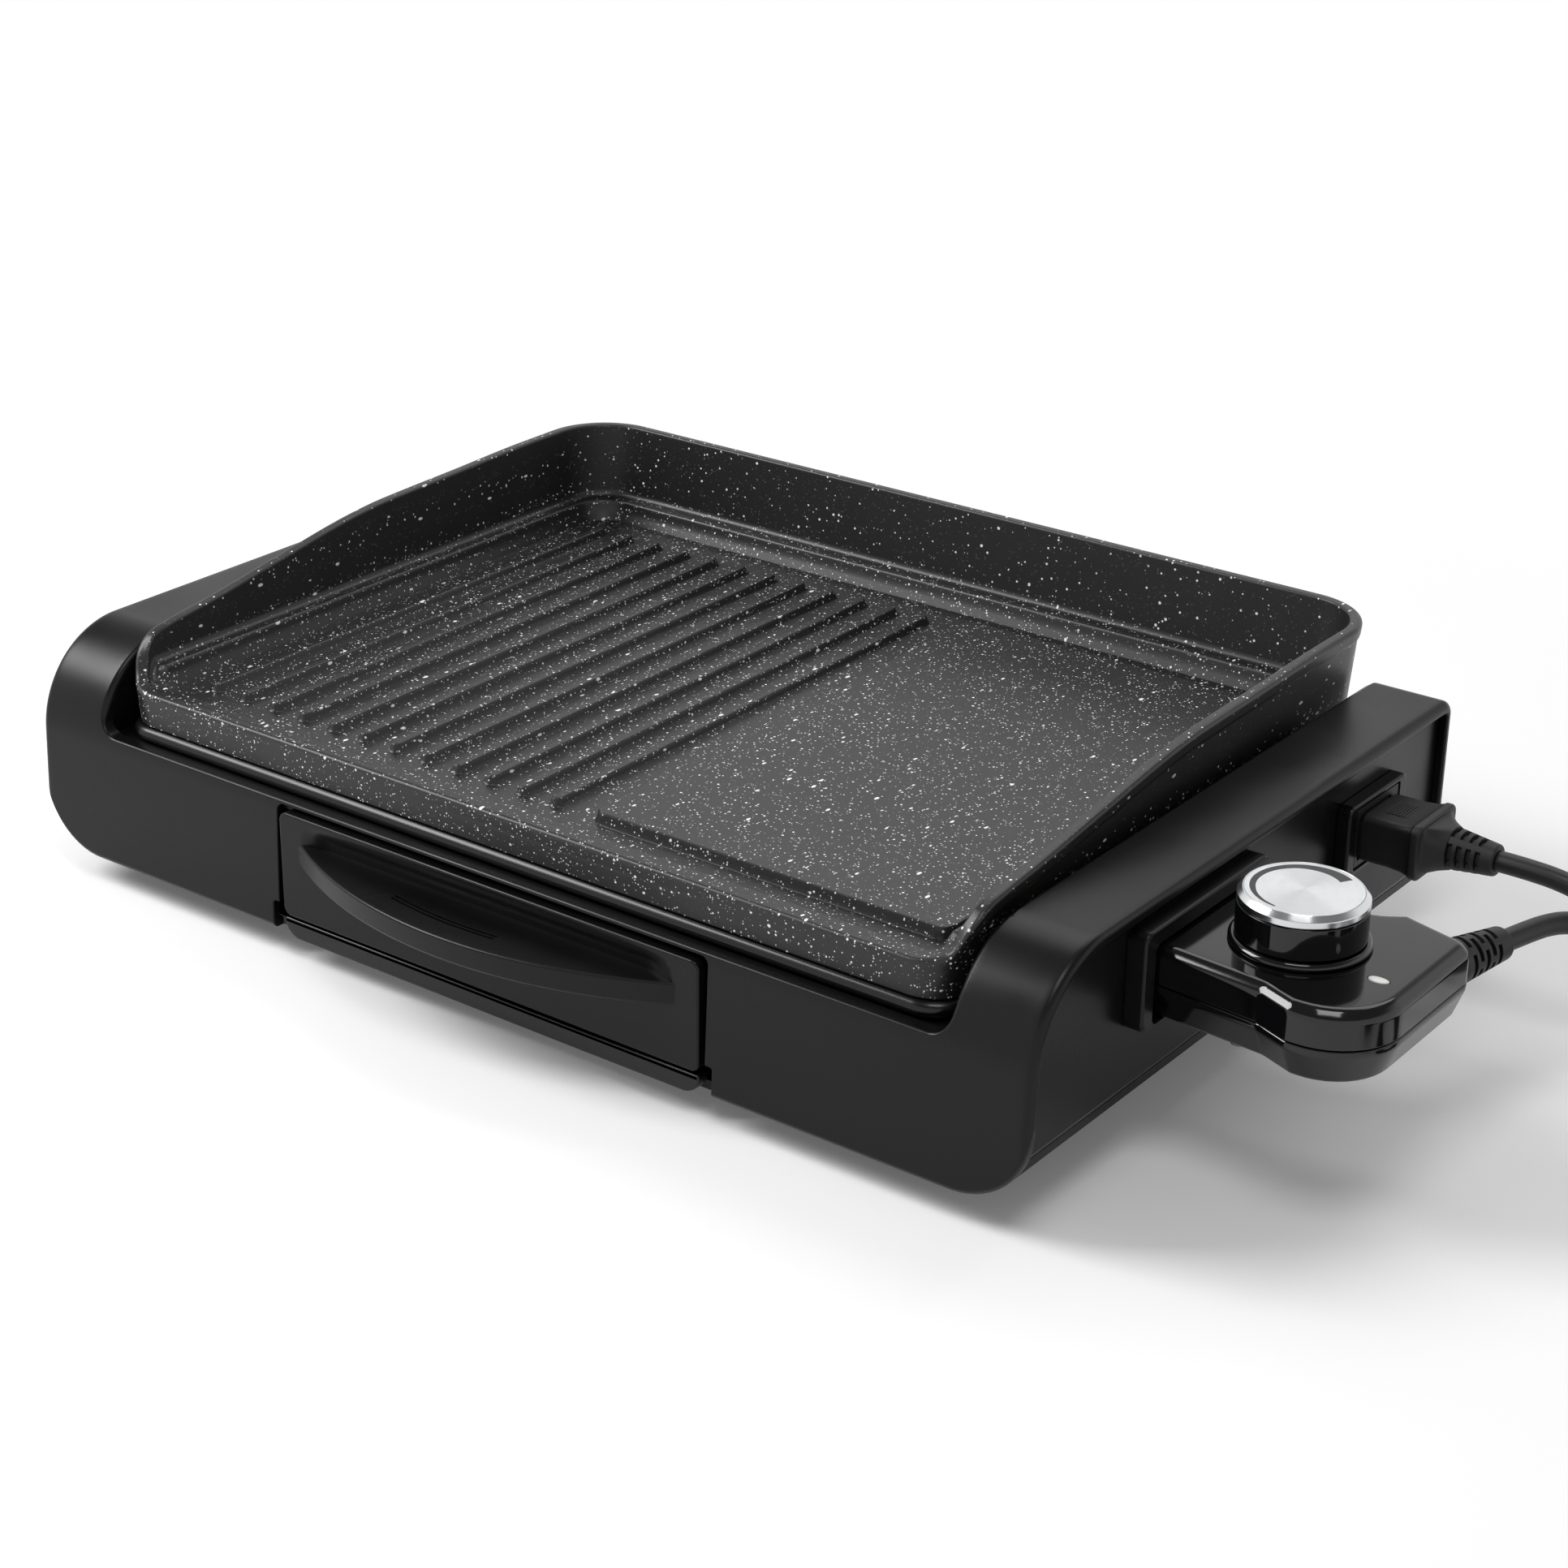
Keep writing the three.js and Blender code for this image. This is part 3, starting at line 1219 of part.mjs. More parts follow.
function makeProbe() {
  const plan = probePlan();
  const cy = probeY;
  const mid = probeParting;
  const spindleHole = (low, high) => bore("z", knobX, cy, knob.spindleRadius, low, high);
  const noseCut = box(
    noseStart, noseEnd, cy - probe.noseHalf - CLEAR, cy + probe.noseHalf + CLEAR,
    noseLow - CLEAR, noseHigh + CLEAR,
  );
  const reliefX = probeReach - relief.fromEnd;
  const reliefY = cy + probe.headHalf - relief.fromSide;
  const reliefTurn = (geometry) =>
    geometry.rotateX(-QUARTER).rotateZ(relief.angle - QUARTER).translate(reliefX, reliefY, mid);
  const reliefHole = relief.neckRadius + relief.neckGap;
  const reliefCut = toSolid(
    reliefTurn(
      new THREE.CylinderGeometry(reliefHole, reliefHole, 4 * relief.neckLength, 14).rotateX(QUARTER),
    ),
  );
  const gap = CLEAR / 2;
  const upperOuter = stack(
    plan,
    [[mid + gap, 0], [probeTop - probe.chamfer, 0], [probeTop, probe.chamfer]],
  );
  const upperHollow = stack(
    plan,
    [[mid - OVERRUN, probe.wall], [probeTop - probe.wall, probe.wall + probe.chamfer / 2]],
  );
  const lensHole = prism(
    "z",
    ellipse(lensX, lensY, lens.length / 2 + CLEAR, lens.width / 2 + CLEAR),
    mid,
    probeTop + OVERRUN,
  );
  const upper = cutBy(
    upperOuter,
    [upperHollow, noseCut, reliefCut, spindleHole(mid, probeTop + OVERRUN), lensHole],
  );
  add("probe_upper_shell", upper, finishes.gloss);
  const lowerOuter = stack(plan, [[probeBottom, probe.taper], [mid - probe.wall, 0], [mid - gap, 0]]);
  const lowerHollow = stack(
    plan,
    [
      [probeBottom + probe.wall, probe.taper + probe.wall], [mid - probe.wall, probe.wall],
      [mid + OVERRUN, probe.wall],
    ],
  );
  const screwSpots = [
    [neckEnd - probe.screwSetback, cy - probe.neckHalf + probe.screwInset],
    [neckEnd - probe.screwSetback, cy + probe.neckHalf - probe.screwInset],
  ];
  const lowerPosts = screwSpots.map(([x, y]) =>
    bar("z", x, y, fascia.bossRadius, probeBottom + probe.wall / 2, probeTop - probe.wall - CLEAR, 8),
  );
  const lowerCuts = [
    noseCut,
    reliefCut,
    ...screwSpots.map(([x, y]) => screwHole("z", x, y, probeBottom - OVERRUN, mid)),
  ];
  add(
    "probe_lower_shell",
    cutBy(lowerOuter.subtract(lowerHollow).add(joined(lowerPosts)), lowerCuts),
    finishes.gloss,
  );
  screwSpots.forEach(([x, y], i) => {
    add(`probe_screw_${i + 1}`, screwAt("z", x, y, probeBottom - CLEAR, screw.bite, 1), finishes.steel);
  });

  // Nose that carries the contacts and the sensing rod through the base's wing
  const contactStart = heaterEnd + probe.contactInset;
  const contactY = [cy - heater.spread, cy + heater.spread];
  const bores = contactY.map((y) =>
    bore("x", y, heaterZ, probe.contactRadius, noseStart - OVERRUN, noseEnd + OVERRUN, 10),
  );
  const rodBore = bore("x", cy, heaterZ, probe.rodRadius, noseStart - OVERRUN, noseEnd + OVERRUN, 12);
  add(
    "probe_nose",
    cutBy(
      box(noseStart, noseEnd, cy - probe.noseHalf, cy + probe.noseHalf, noseLow, noseHigh),
      [...bores, rodBore],
    ),
    finishes.rubber,
  );
  contactY.forEach((y, i) => {
    const sleeve = bar("x", y, heaterZ, probe.contactRadius, contactStart, noseEnd, 10);
    const socket = bore(
      "x", y, heaterZ, heater.pinRadius, contactStart - OVERRUN, noseStart + OVERRUN, 10,
    );
    add(`probe_contact_${i + 1}`, sleeve.subtract(socket), finishes.brass);
  });
  add(
    "sensing_rod",
    bar("x", cy, heaterZ, probe.rodRadius, rodStart, noseEnd, 10),
    finishes.steel,
  );

  // Switch block under the knob, and the lead's core from it to the strain relief
  const blockEnd = knobX + switchBlock.length / 2;
  const block = box(
    noseEnd + CLEAR, blockEnd, cy - switchBlock.width / 2, cy + switchBlock.width / 2,
    probeBottom + switchBlock.floorGap, switchTop,
  );
  add(
    "thermostat_switch",
    block.subtract(spindleHole(switchTop - switchBlock.seatDepth, probeTop)),
    finishes.ceramic,
  );
  const inwards = at(-Math.cos(relief.angle), -Math.sin(relief.angle), 0);
  const coreEnd = at(reliefX, reliefY, mid).addScaledVector(inwards, relief.neckLength + CLEAR);
  const coreTurn = coreEnd.clone().addScaledVector(inwards, 2 * lead.coreBend);
  const coreStart = at(blockEnd + CLEAR, coreTurn.y - lead.coreBend, mid);
  const coreCorner = coreStart.clone().setX(coreStart.x + lead.coreBend);
  const core = bentPath([coreStart, coreCorner, coreTurn, coreEnd], lead.coreBend, 3);
  add("probe_inner_lead", tube(core, lead.diameter / 2 - lead.coreInset, 8), finishes.cable);
  add("probe_strain_relief", reliefTurn(reliefSolid(relief.probeLength)), finishes.rubber);
  add(
    "indicator_lens",
    prism(
      "z", ellipse(lensX, lensY, lens.length / 2, lens.width / 2), probeTop - probe.wall - CLEAR,
      probeTop + lens.rise,
    ),
    finishes.lens,
  );
  const lampTop = probeTop - probe.wall - 2 * CLEAR;
  add(
    "indicator_lamp",
    bar("z", lensX, lensY, lens.lampRadius, lampTop - lens.lampLength, lampTop, 10),
    finishes.brass,
  );

  // Frame round the socket and the sleeve behind it
  const frameStart = panelFace + CLEAR;
  const frameEnd = frameStart + probeFrame.depth;
  const sleeveStart = panelFace - panel.thickness - probeFrame.sleeveDepth;
  const ringOf = (half, low, high, corner, from, to) => prism(
    "x", roundedRect(cy - half, cy + half, low, high, corner), from, to,
  );
  const frameSolid = joined([
    ringOf(
      openHalf + probeFrame.sideRim, openLow - probeFrame.lowRim, openHigh + probeFrame.highRim,
      probeFrame.corner, frameStart, frameEnd,
    ),
    ringOf(
      sleeveHalf, sleeveLow, sleeveHigh, probeFrame.sleeveCorner, sleeveStart, frameStart + CLEAR,
    ),
  ]).subtract(
    ringOf(
      openHalf, openLow, openHigh, probeFrame.openCorner, sleeveStart - OVERRUN, frameEnd + OVERRUN,
    ),
  );
  add("probe_socket_frame", frameSolid, finishes.shell);
}

const ellipse = (x, y, halfX, halfY) => circle(0, 0, 1, 14).map((p) =>
  new THREE.Vector2(x + p.x * halfX, y + p.y * halfY),
);

// Knob: collar on the probe, gloss skirt, metal cap and the spindle that all three turn on
function makeKnob() {
  const place = (geometry) => toSolid(geometry.translate(knobX, probeY, 0));
  const low = probeTop + CLEAR;
  const collarTop = low + knob.collarHeight;
  const collar = place(
    turned(
      [
        [0, low], [knob.collarRadius, low], [knob.collarRadius, collarTop - CLEAR],
        [knob.collarRadius - knob.collarEdge, collarTop], [0, collarTop],
      ],
      32,
    ),
  );
  add(
    "knob_collar",
    collar.subtract(
      bore("z", knobX, probeY, knob.spindleRadius, low - OVERRUN, collarTop + OVERRUN),
    ),
    finishes.gloss,
  );
  const skirtLow = collarTop + knob.collarGap;
  const capLow = knobTop - knob.capHeight;
  const skirtTop = capLow - CLEAR;
  const skirt = place(
    turned([[0, skirtLow], [knob.radius, skirtLow], [knob.radius, skirtTop], [0, skirtTop]], 32),
  );
  const inner = place(
    turned(
      [
        [0, skirtLow - OVERRUN], [knob.radius - knob.wall, skirtLow - OVERRUN],
        [knob.radius - knob.wall, skirtTop - knob.wall], [0, skirtTop - knob.wall],
      ],
      24,
    ),
  );
  const hub = bar("z", knobX, probeY, knob.hubRadius, skirtLow, skirtTop - knob.wall / 2, 16);
  const seatHole = bore(
    "z", knobX, probeY, knob.spindleRadius, skirtLow - OVERRUN, skirtTop - knob.wall,
  );
  add("knob_skirt", skirt.subtract(inner).add(hub).subtract(seatHole), finishes.gloss);
  const cap = turned(
    [
      [0, capLow], [knob.radius, capLow], [knob.radius, knobTop - knob.bevel],
      [knob.radius - knob.bevel, knobTop], [0, knobTop],
    ],
    32,
  );
  add("knob_cap", place(cap), finishes.brushed);
  const seat = switchTop - switchBlock.seatDepth + CLEAR;
  add(
    "knob_spindle",
    bar("z", knobX, probeY, knob.spindleRadius, seat, skirtTop - knob.wall - CLEAR),
    finishes.steel,
  );
}

function makeInlet() {
  const frameStart = panelFace + CLEAR;
  const rect = (halfY, halfZ, corner, from, to) => prism(
    "x",
    roundedRect(inletY - halfY, inletY + halfY, inletZ - halfZ, inletZ + halfZ, corner),
    from,
    to,
  );
  add(
    "inlet_frame",
    rect(inlet.frameHalfY, inlet.frameHalfZ, inlet.corner, frameStart, inletFace).subtract(
      rect(inlet.halfY + CLEAR, inlet.halfZ + CLEAR, CLEAR, frameStart - OVERRUN, inletFace + OVERRUN),
    ),
    finishes.shell,
  );
  const nose = (grow) => {
    const [y, z, bevel] = [inlet.noseHalfY + grow, inlet.noseHalfZ + grow, inlet.bevel];
    const points = [[-y, -z], [y, -z], [y, z - bevel], [y - bevel, z], [bevel - y, z], [-y, z - bevel]];
    return points.map(([a, b]) => new THREE.Vector2(inletY + a, inletZ + b));
  };
  const pinSpots = [[-inlet.pinSpread, -CLEAR], [inlet.pinSpread, -CLEAR], [0, inlet.pinWidth]];
  const blade = (dy, dz, grow, from, to) =>
    box(
      from, to, inletY + dy - inlet.pinThickness / 2 - grow,
      inletY + dy + inlet.pinThickness / 2 + grow, inletZ + dz - inlet.pinWidth / 2 - grow,
      inletZ + dz + inlet.pinWidth / 2 + grow,
    );
  const socket = cutBy(rect(inlet.halfY, inlet.halfZ, CLEAR, inletStart, inletFace - CLEAR), [
    prism("x", nose(2 * CLEAR), inletBack, inletFace + OVERRUN),
    ...pinSpots.map(([dy, dz]) => blade(dy, dz, CLEAR, inletStart - OVERRUN, inletBack + OVERRUN)),
  ]);
  add("inlet_socket", socket, finishes.rubber);
  pinSpots.forEach(([dy, dz], i) => {
    add(
      `inlet_pin_${i + 1}`,
      blade(dy, dz, 0, inletStart - inlet.tabLength, pinTip),
      finishes.brass,
    );
  });

  // Connector of the inlet lead: nose in the socket, grip body, flange and ribbed relief
  const bodySectionOf = (grow) => roundedRect(
    inletY - connector.halfY - grow, inletY + connector.halfY + grow, inletZ - connector.halfZ - grow,
    inletZ + connector.halfZ + grow, connector.corner,
  );
  const flangeEnd = connectorEnd + connector.flangeThickness;
  const tip = inletBack + connector.noseGap;
  const shape = joined([
    prism("x", nose(0), tip, connectorStart + CLEAR),
    prism("x", bodySectionOf(0), connectorStart, connectorEnd),
    prism("x", bodySectionOf(connector.flangeGrow), connectorEnd - CLEAR, flangeEnd),
  ]);
  const slots = pinSpots.map(([dy, dz]) => blade(dy, dz, CLEAR, tip - OVERRUN, pinTip + 2 * CLEAR));
  add("inlet_connector", cutBy(shape, slots), finishes.rubber, leads);
  const root = flangeEnd + CLEAR;
  const reliefGeometry = toSolid(
    reliefSolid(relief.inletLength).rotateY(QUARTER).translate(root, inletY, inletZ),
  );
  add(
    "inlet_connector_relief",
    reliefGeometry.intersect(
      box(
        root, root + relief.inletLength + OVERRUN, inletY - connector.halfY, inletY + connector.halfY,
        inletZ - connector.halfY, inletZ + connector.halfY,
      ),
    ),
    finishes.rubber,
    leads,
  );
}

// Stations of a coil in two layers: in along the table, up in half a turn, and out again on top
function coilStations({ x, y, startAngle, turnWay }) {
  const pitch = lead.diameter + lead.layerGap;
  const outerRadius = lead.midRadius + (pitch * lead.turnsPerLayer) / 2;
  const lowZ = lead.diameter / 2 + lead.rest;
  const steps = lead.coilStepsPerTurn;
  const n = lead.turnsPerLayer;
  const total = Math.round((2 * n + lead.climbTurns) * steps);
  const stations = [];
  for (let i = 0; i <= total; i++) {
    const turns = i / steps;
    const climb = THREE.MathUtils.smootherstep(turns, n, n + lead.climbTurns);
    const inwards = Math.min(turns, 2 * n + lead.climbTurns - turns);
    const radius = outerRadius - pitch * inwards;
    const angle = startAngle + turnWay * turns * 2 * Math.PI;
    stations.push(at(x + radius * Math.cos(angle), y + radius * Math.sin(angle), lowZ + climb * pitch));
  }
  const startWay = at(-turnWay * Math.sin(startAngle), turnWay * Math.cos(startAngle), 0);
  stations.unshift(stations[0].clone().addScaledVector(startWay, -lead.diameter));
  const endAngle = startAngle + turnWay * (2 * n + lead.climbTurns) * 2 * Math.PI;
  const endWay = at(-turnWay * Math.sin(endAngle), turnWay * Math.cos(endAngle), 0);
  const end = stations[stations.length - 1];
  const plugZ = plug.radius + lead.rest;
  for (const share of [0.2, 0.4, 0.6, 0.8, 1]) {
    const rise = THREE.MathUtils.smoothstep(share, 0, lead.riseShare);
    const point = end.clone().addScaledVector(endWay, lead.tail * share);
    point.z = THREE.MathUtils.lerp(end.z, plugZ, rise);
    stations.push(point);
  }
  return { stations, startWay, endWay };
}

// Least gap between stretches of one lead that lie more than a turn's quarter apart along it
function leastGap(stations) {
  const curve = new StationPath(stations);
  const samples = curve.getPoints((stations.length - 1) * 4);
  const away = lead.coilStepsPerTurn;
  let least = Infinity;
  for (let i = 0; i < samples.length; i++) {
    for (
      let j = i + away; j < samples.length; j++
    ) least = Math.min(least, samples[i].distanceTo(samples[j]));
  }
  return least - lead.diameter;
}

function makeLead(name, run, place) {
  const coil = coilStations(place);
  const coilStart = coil.stations[0].clone().addScaledVector(coil.startWay, -CLEAR);
  const before = coilStart.clone().addScaledVector(coil.startWay, -lead.diameter);
  const points = [...run.map(([x, y, z]) => at(x, y, z)), before];
  const route = new THREE.CatmullRomCurve3(points, false, "centripetal");
  const steps = Math.round(route.getLength() / (2 * lead.diameter));
  const stations = [...route.getSpacedPoints(steps), coilStart];
  add(`${name}_run`, tube(stations, lead.diameter / 2, lead.sides), finishes.cable, leads);
  add(`${name}_coil`, tube(coil.stations, lead.diameter / 2, lead.coilSides), finishes.cable, leads);
  const coilLength = coil.stations.reduce(
    (sum, p, i) => (i ? sum + p.distanceTo(coil.stations[i - 1]) : 0),
    0,
  );
  const lengths = `run ${route.getLength().toFixed(0)} mm, coil ${coilLength.toFixed(0)} mm`;
  console.log(`${name}: ${lengths}, least gap ${leastGap(coil.stations).toFixed(2)} mm`);

  // Round plug lying on the table, its tail towards the coil
  const end = coil.stations[coil.stations.length - 1];
  const turn = Math.atan2(coil.endWay.y, coil.endWay.x);
  const tip = end.clone().addScaledVector(coil.endWay, CLEAR);
  const placed = (geometry) => geometry.rotateY(QUARTER).rotateZ(turn).translate(tip.x, tip.y, tip.z);
  const bodyStart = plug.tailLength;
  const bodyEnd = bodyStart + plug.length;
  const profile = [
    [0, 0],
    ...tailShares.map(([wide, far]) => [plug.tailRadius * wide, bodyStart * far]),
    [plug.radius * plug.shoulderShare, bodyStart],
    [plug.radius, bodyStart + 2 * plug.frontRound],
    [plug.radius, bodyEnd - plug.frontRound],
    [plug.radius - plug.frontRound, bodyEnd],
    [0, bodyEnd],
  ];
  const bodySolidOf = toSolid(placed(turned(profile, 20)));
  const pinGeometry = (side, grow, from, to) => toSolid(
    placed(
      new THREE.CylinderGeometry(
        plug.pinRadius + grow, plug.pinRadius + grow, to - from, 10,
      ).rotateX(QUARTER).translate(0, side * plug.pinSpread, (from + to) / 2),
    ),
  );
  const socketDepth = 2 * plug.frontRound;
  const holes = [-1, 1].map((side) =>
    pinGeometry(side, CLEAR, bodyEnd - socketDepth - CLEAR, bodyEnd + OVERRUN),
  );
  const bridge = (grow) => {
    const size = [
      plug.bridgeThickness + 2 * grow, 2 * (plug.pinSpread + plug.pinRadius + grow),
      2 * (plug.pinRadius + grow),
    ];
    return toSolid(
      placed(new THREE.BoxGeometry(size[2], size[1], size[0]).translate(0, 0, bodyEnd - socketDepth)),
    );
  };
  add(`${name}_plug`, cutBy(bodySolidOf, [...holes, bridge(CLEAR)]), finishes.rubber, leads);
  const pins = [-1, 1].map((side) => pinGeometry(side, 0, bodyEnd - socketDepth, bodyEnd + plug.pinLength));
  add(`${name}_plug_pins`, joined([bridge(0), ...pins]), finishes.steel, leads);
}

makeBase();
makePan();
makePlate();
makeDrawer();
makeProbe();
makeKnob();
makeInlet();
makeLead("inlet_lead", inletRun, inletCoil);
makeLead("probe_lead", probeRun, probeCoil);

// The origin is the middle of the object's own outline on the table, without its leads
const own = new THREE.Box3();
for (const child of assembly.children) {
  if (child !== leads) own.expandByObject(child);
}
const middle = own.getCenter(new THREE.Vector3());
assembly.position.set(-middle.x, -middle.y, 0);
assembly.updateMatrixWorld(true);

export default assembly;
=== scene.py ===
"""Electric plancha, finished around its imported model.

A stone-coated griddle plate with ribs on the left and a flat zone on the right lies on a moulded
black base. The base has a drip drawer at the front. On the right a thermostat with a metal knob is
plugged in, and a mains lead in an inlet. Sizes are millimetres from the base's middle on the table,
unless a name says otherwise.
"""
import logging
import math
from collections.abc import Callable
from dataclasses import dataclass, field
from enum import Enum

import bmesh
import bpy
import numpy as np
from mathutils import Matrix, Vector


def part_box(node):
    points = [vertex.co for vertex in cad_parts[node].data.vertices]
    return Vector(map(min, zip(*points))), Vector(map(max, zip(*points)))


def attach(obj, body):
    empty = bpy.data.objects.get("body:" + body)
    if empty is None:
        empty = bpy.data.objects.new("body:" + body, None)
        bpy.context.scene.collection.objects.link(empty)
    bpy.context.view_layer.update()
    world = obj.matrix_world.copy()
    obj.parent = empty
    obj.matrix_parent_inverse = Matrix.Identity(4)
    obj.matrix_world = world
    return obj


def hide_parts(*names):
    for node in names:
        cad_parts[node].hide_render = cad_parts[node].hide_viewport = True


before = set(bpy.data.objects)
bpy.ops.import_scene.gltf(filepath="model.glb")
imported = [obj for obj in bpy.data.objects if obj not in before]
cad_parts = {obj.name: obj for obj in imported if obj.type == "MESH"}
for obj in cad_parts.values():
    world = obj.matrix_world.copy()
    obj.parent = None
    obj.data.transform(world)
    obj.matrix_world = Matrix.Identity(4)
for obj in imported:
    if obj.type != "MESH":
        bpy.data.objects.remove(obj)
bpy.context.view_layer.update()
LOG = logging.getLogger("plancha")
MM = 0.001
FULL_TURN = 2 * math.pi
QUARTER_TURN = math.pi / 2
SHARP = 32.0
SOFT_SHARP = 40.0
SAME_POINT = 1e-7
NODE_WELD = 2e-6
FLAT_ANGLE = 0.6
BASE_HALF_WIDTH = 220.0
BASE_REAR = 138.0
SCREW_HOLE = 1.4
NOSE_LOW, NOSE_HIGH = 61.7, 75.3


class Body(Enum):
    """The bodies that a piece can ride on."""

    BASE = "base"
    DRAWER = "drawer"
    KNOB = "knob"


class Slot(Enum):
    """The record's material slots."""

    HOUSING = "housing_plastic"
    GLOSS = "gloss_plastic"
    ENAMEL = "pan_enamel"
    PLATE = "cast_aluminium"
    STEEL = "steel"
    KNOB = "brushed_aluminium"
    BRASS = "brass"
    CERAMIC = "ceramic"
    RUBBER = "rubber"
    SHEATH = "cord_sheath"
    LENS = "lens"


class Join(Enum):
    """What a second solid does to the first."""

    ADD = "UNION"
    CUT = "DIFFERENCE"
    KEEP = "INTERSECT"


def base_middle() -> np.ndarray:
    """Finds where the sizes below are measured from.

    Returns:
        The base's middle on the table, in the frame's metres.
    """
    low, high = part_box("housing_shell")
    return np.array([high[0] - BASE_HALF_WIDTH * MM, high[1] - BASE_REAR * MM, 0.0])


HOME = base_middle()


def in_frame(points: np.ndarray) -> np.ndarray:
    """Turns millimetres from the base's middle into the frame's metres.

    Args:
        points: Places, with X, Y and Z last.

    Returns:
        The same places in the frame.
    """
    return np.asarray(points, float) * MM + HOME


# Numbers and shapes


def smooth_step(value: np.ndarray) -> np.ndarray:
    """Eases from 0 to 1 with level ends: 6t^5 - 15t^4 + 10t^3, clipped.

    Args:
        value: Shares of the way.

    Returns:
        The eased shares.
    """
    t = np.clip(value, 0.0, 1.0)
    return t * t * t * (t * (6 * t - 15) + 10)


def arc_points(
    middle: tuple[float, float], radius: float, start: float, end: float, steps: int
) -> np.ndarray:
    """Places on an arc: middle plus radius times (cos, sin) of evenly spread angles.

    Args:
        middle: Centre of the arc.
        radius: Its radius.
        start: First angle, in radians.
        end: Last angle, in radians.
        steps: How many steps lie between them.

    Returns:
        An array of steps + 1 points.
    """
    angles = np.linspace(start, end, steps + 1)
    return np.stack([middle[0] + radius * np.cos(angles), middle[1] + radius * np.sin(angles)], -1)


def rounded_box(
    low: tuple[float, float], high: tuple[float, float], radii: tuple[float, float, float, float],
    steps: int = 12,
) -> np.ndarray:
    """Outline of a rectangle with round corners, anticlockwise from the low right corner.

    Args:
        low: Lower left corner.
        high: Upper right corner.
        radii: Corner radii: low right, high right, high left, low left.
        steps: Steps on each corner.

    Returns:
        The outline's points.
    """
    (x0, y0), (x1, y1) = low, high
    a, b, c, d = radii
    quarter = QUARTER_TURN
    return np.concatenate([
        arc_points((x1 - a, y0 + a), a, -quarter, 0, steps),
        arc_points((x1 - b, y1 - b), b, 0, quarter, steps),
        arc_points((x0 + c, y1 - c), c, quarter, 2 * quarter, steps),
        arc_points((x0 + d, y0 + d), d, 2 * quarter, 3 * quarter, steps),
    ])


def drawn_in(
    low: tuple[float, float], high: tuple[float, float], inset: float, radius: float, steps: int = 12
) -> np.ndarray:
    """Outline of a rounded rectangle whose sides are drawn in, or pushed out by a negative inset.

    Args:
        low: Lower left corner before that.
        high: Upper right corner before that.
        inset: How far each side moves inwards.
        radius: Radius of the four corners.
        steps: Steps on each corner.

    Returns:
        The outline's points.
    """
    (x0, y0), (x1, y1) = low, high
    return rounded_box((x0 + inset, y0 + inset), (x1 - inset, y1 - inset), (radius,) * 4, steps)


def softened(corners: np.ndarray, reach: np.ndarray, steps: int = 5) -> np.ndarray:
    """Rounds the corners of closed profiles: each becomes a quadratic curve from one side to the next.

    Args:
        corners: Profiles with their corners on the last axis but one.
        reach: How far along its sides each corner's curve starts; limited to a share of the side.
        steps: Steps on each curve.

    Returns:
        The profiles with steps + 1 points for each corner.
    """
    before = np.roll(corners, 1, axis=-2) - corners
    after = np.roll(corners, -1, axis=-2) - corners
    share = 0.48
    long_before = np.linalg.norm(before, axis=-1, keepdims=True)
    long_after = np.linalg.norm(after, axis=-1, keepdims=True)
    wanted = np.asarray(reach, float)[:, None]
    start = corners + before / long_before * np.minimum(wanted, share * long_before)
    end = corners + after / long_after * np.minimum(wanted, share * long_after)
    t = np.linspace(0.0, 1.0, steps + 1)[:, None]
    curve = (
        (1 - t) ** 2 * start[..., None, :]
        + 2 * t * (1 - t) * corners[..., None, :]
        + t * t * end[..., None, :]
    )
    shape = (*corners.shape[:-2], corners.shape[-2] * (steps + 1), corners.shape[-1])
    return curve.reshape(shape)


def smooth_route(points: np.ndarray, per_span: int) -> np.ndarray:
    """A centripetal curve through points, as cubics whose tangents weigh the root of each span's length.

    Args:
        points: The places that it passes, as rows of X, Y and Z.
        per_span: Samples on each span.

    Returns:
        The curve's places, from the first point to the last.
    """
    ends = np.concatenate([2 * points[:1] - points[1:2], points, 2 * points[-1:] - points[-2:-1]])
    roots = np.sqrt(np.linalg.norm(np.diff(ends, axis=0), axis=1))[:, None]
    steps = np.diff(ends, axis=0)
    wide = (ends[2:] - ends[:-2]) / (roots[:-1] + roots[1:])
    slopes = steps[:-1] / roots[:-1] - wide + steps[1:] / roots[1:]
    inner = roots[1:-1]
    t = np.linspace(0.0, 1.0, per_span, endpoint=False)[None, :, None]
    p0, p1 = points[:-1, None, :], points[1:, None, :]
    m0, m1 = (slopes[:-1] * inner)[:, None, :], (slopes[1:] * inner)[:, None, :]
    spans = (
        (2 * t**3 - 3 * t**2 + 1) * p0 + (t**3 - 2 * t**2 + t) * m0
        + (3 * t**2 - 2 * t**3) * p1 + (t**3 - t**2) * m1
    )
    return np.concatenate([spans.reshape(-1, 3), points[-1:]])


def evenly_spread(line: np.ndarray, count: int) -> np.ndarray:
    """The same line with its points an even distance apart.

    Args:
        line: Places along it.
        count: How many points to give.

    Returns:
        The new places.
    """
    along = np.concatenate([[0.0], np.cumsum(np.linalg.norm(np.diff(line, axis=0), axis=1))])
    places = np.linspace(0.0, along[-1], count)
    return np.stack([np.interp(places, along, line[:, k]) for k in range(3)], -1)


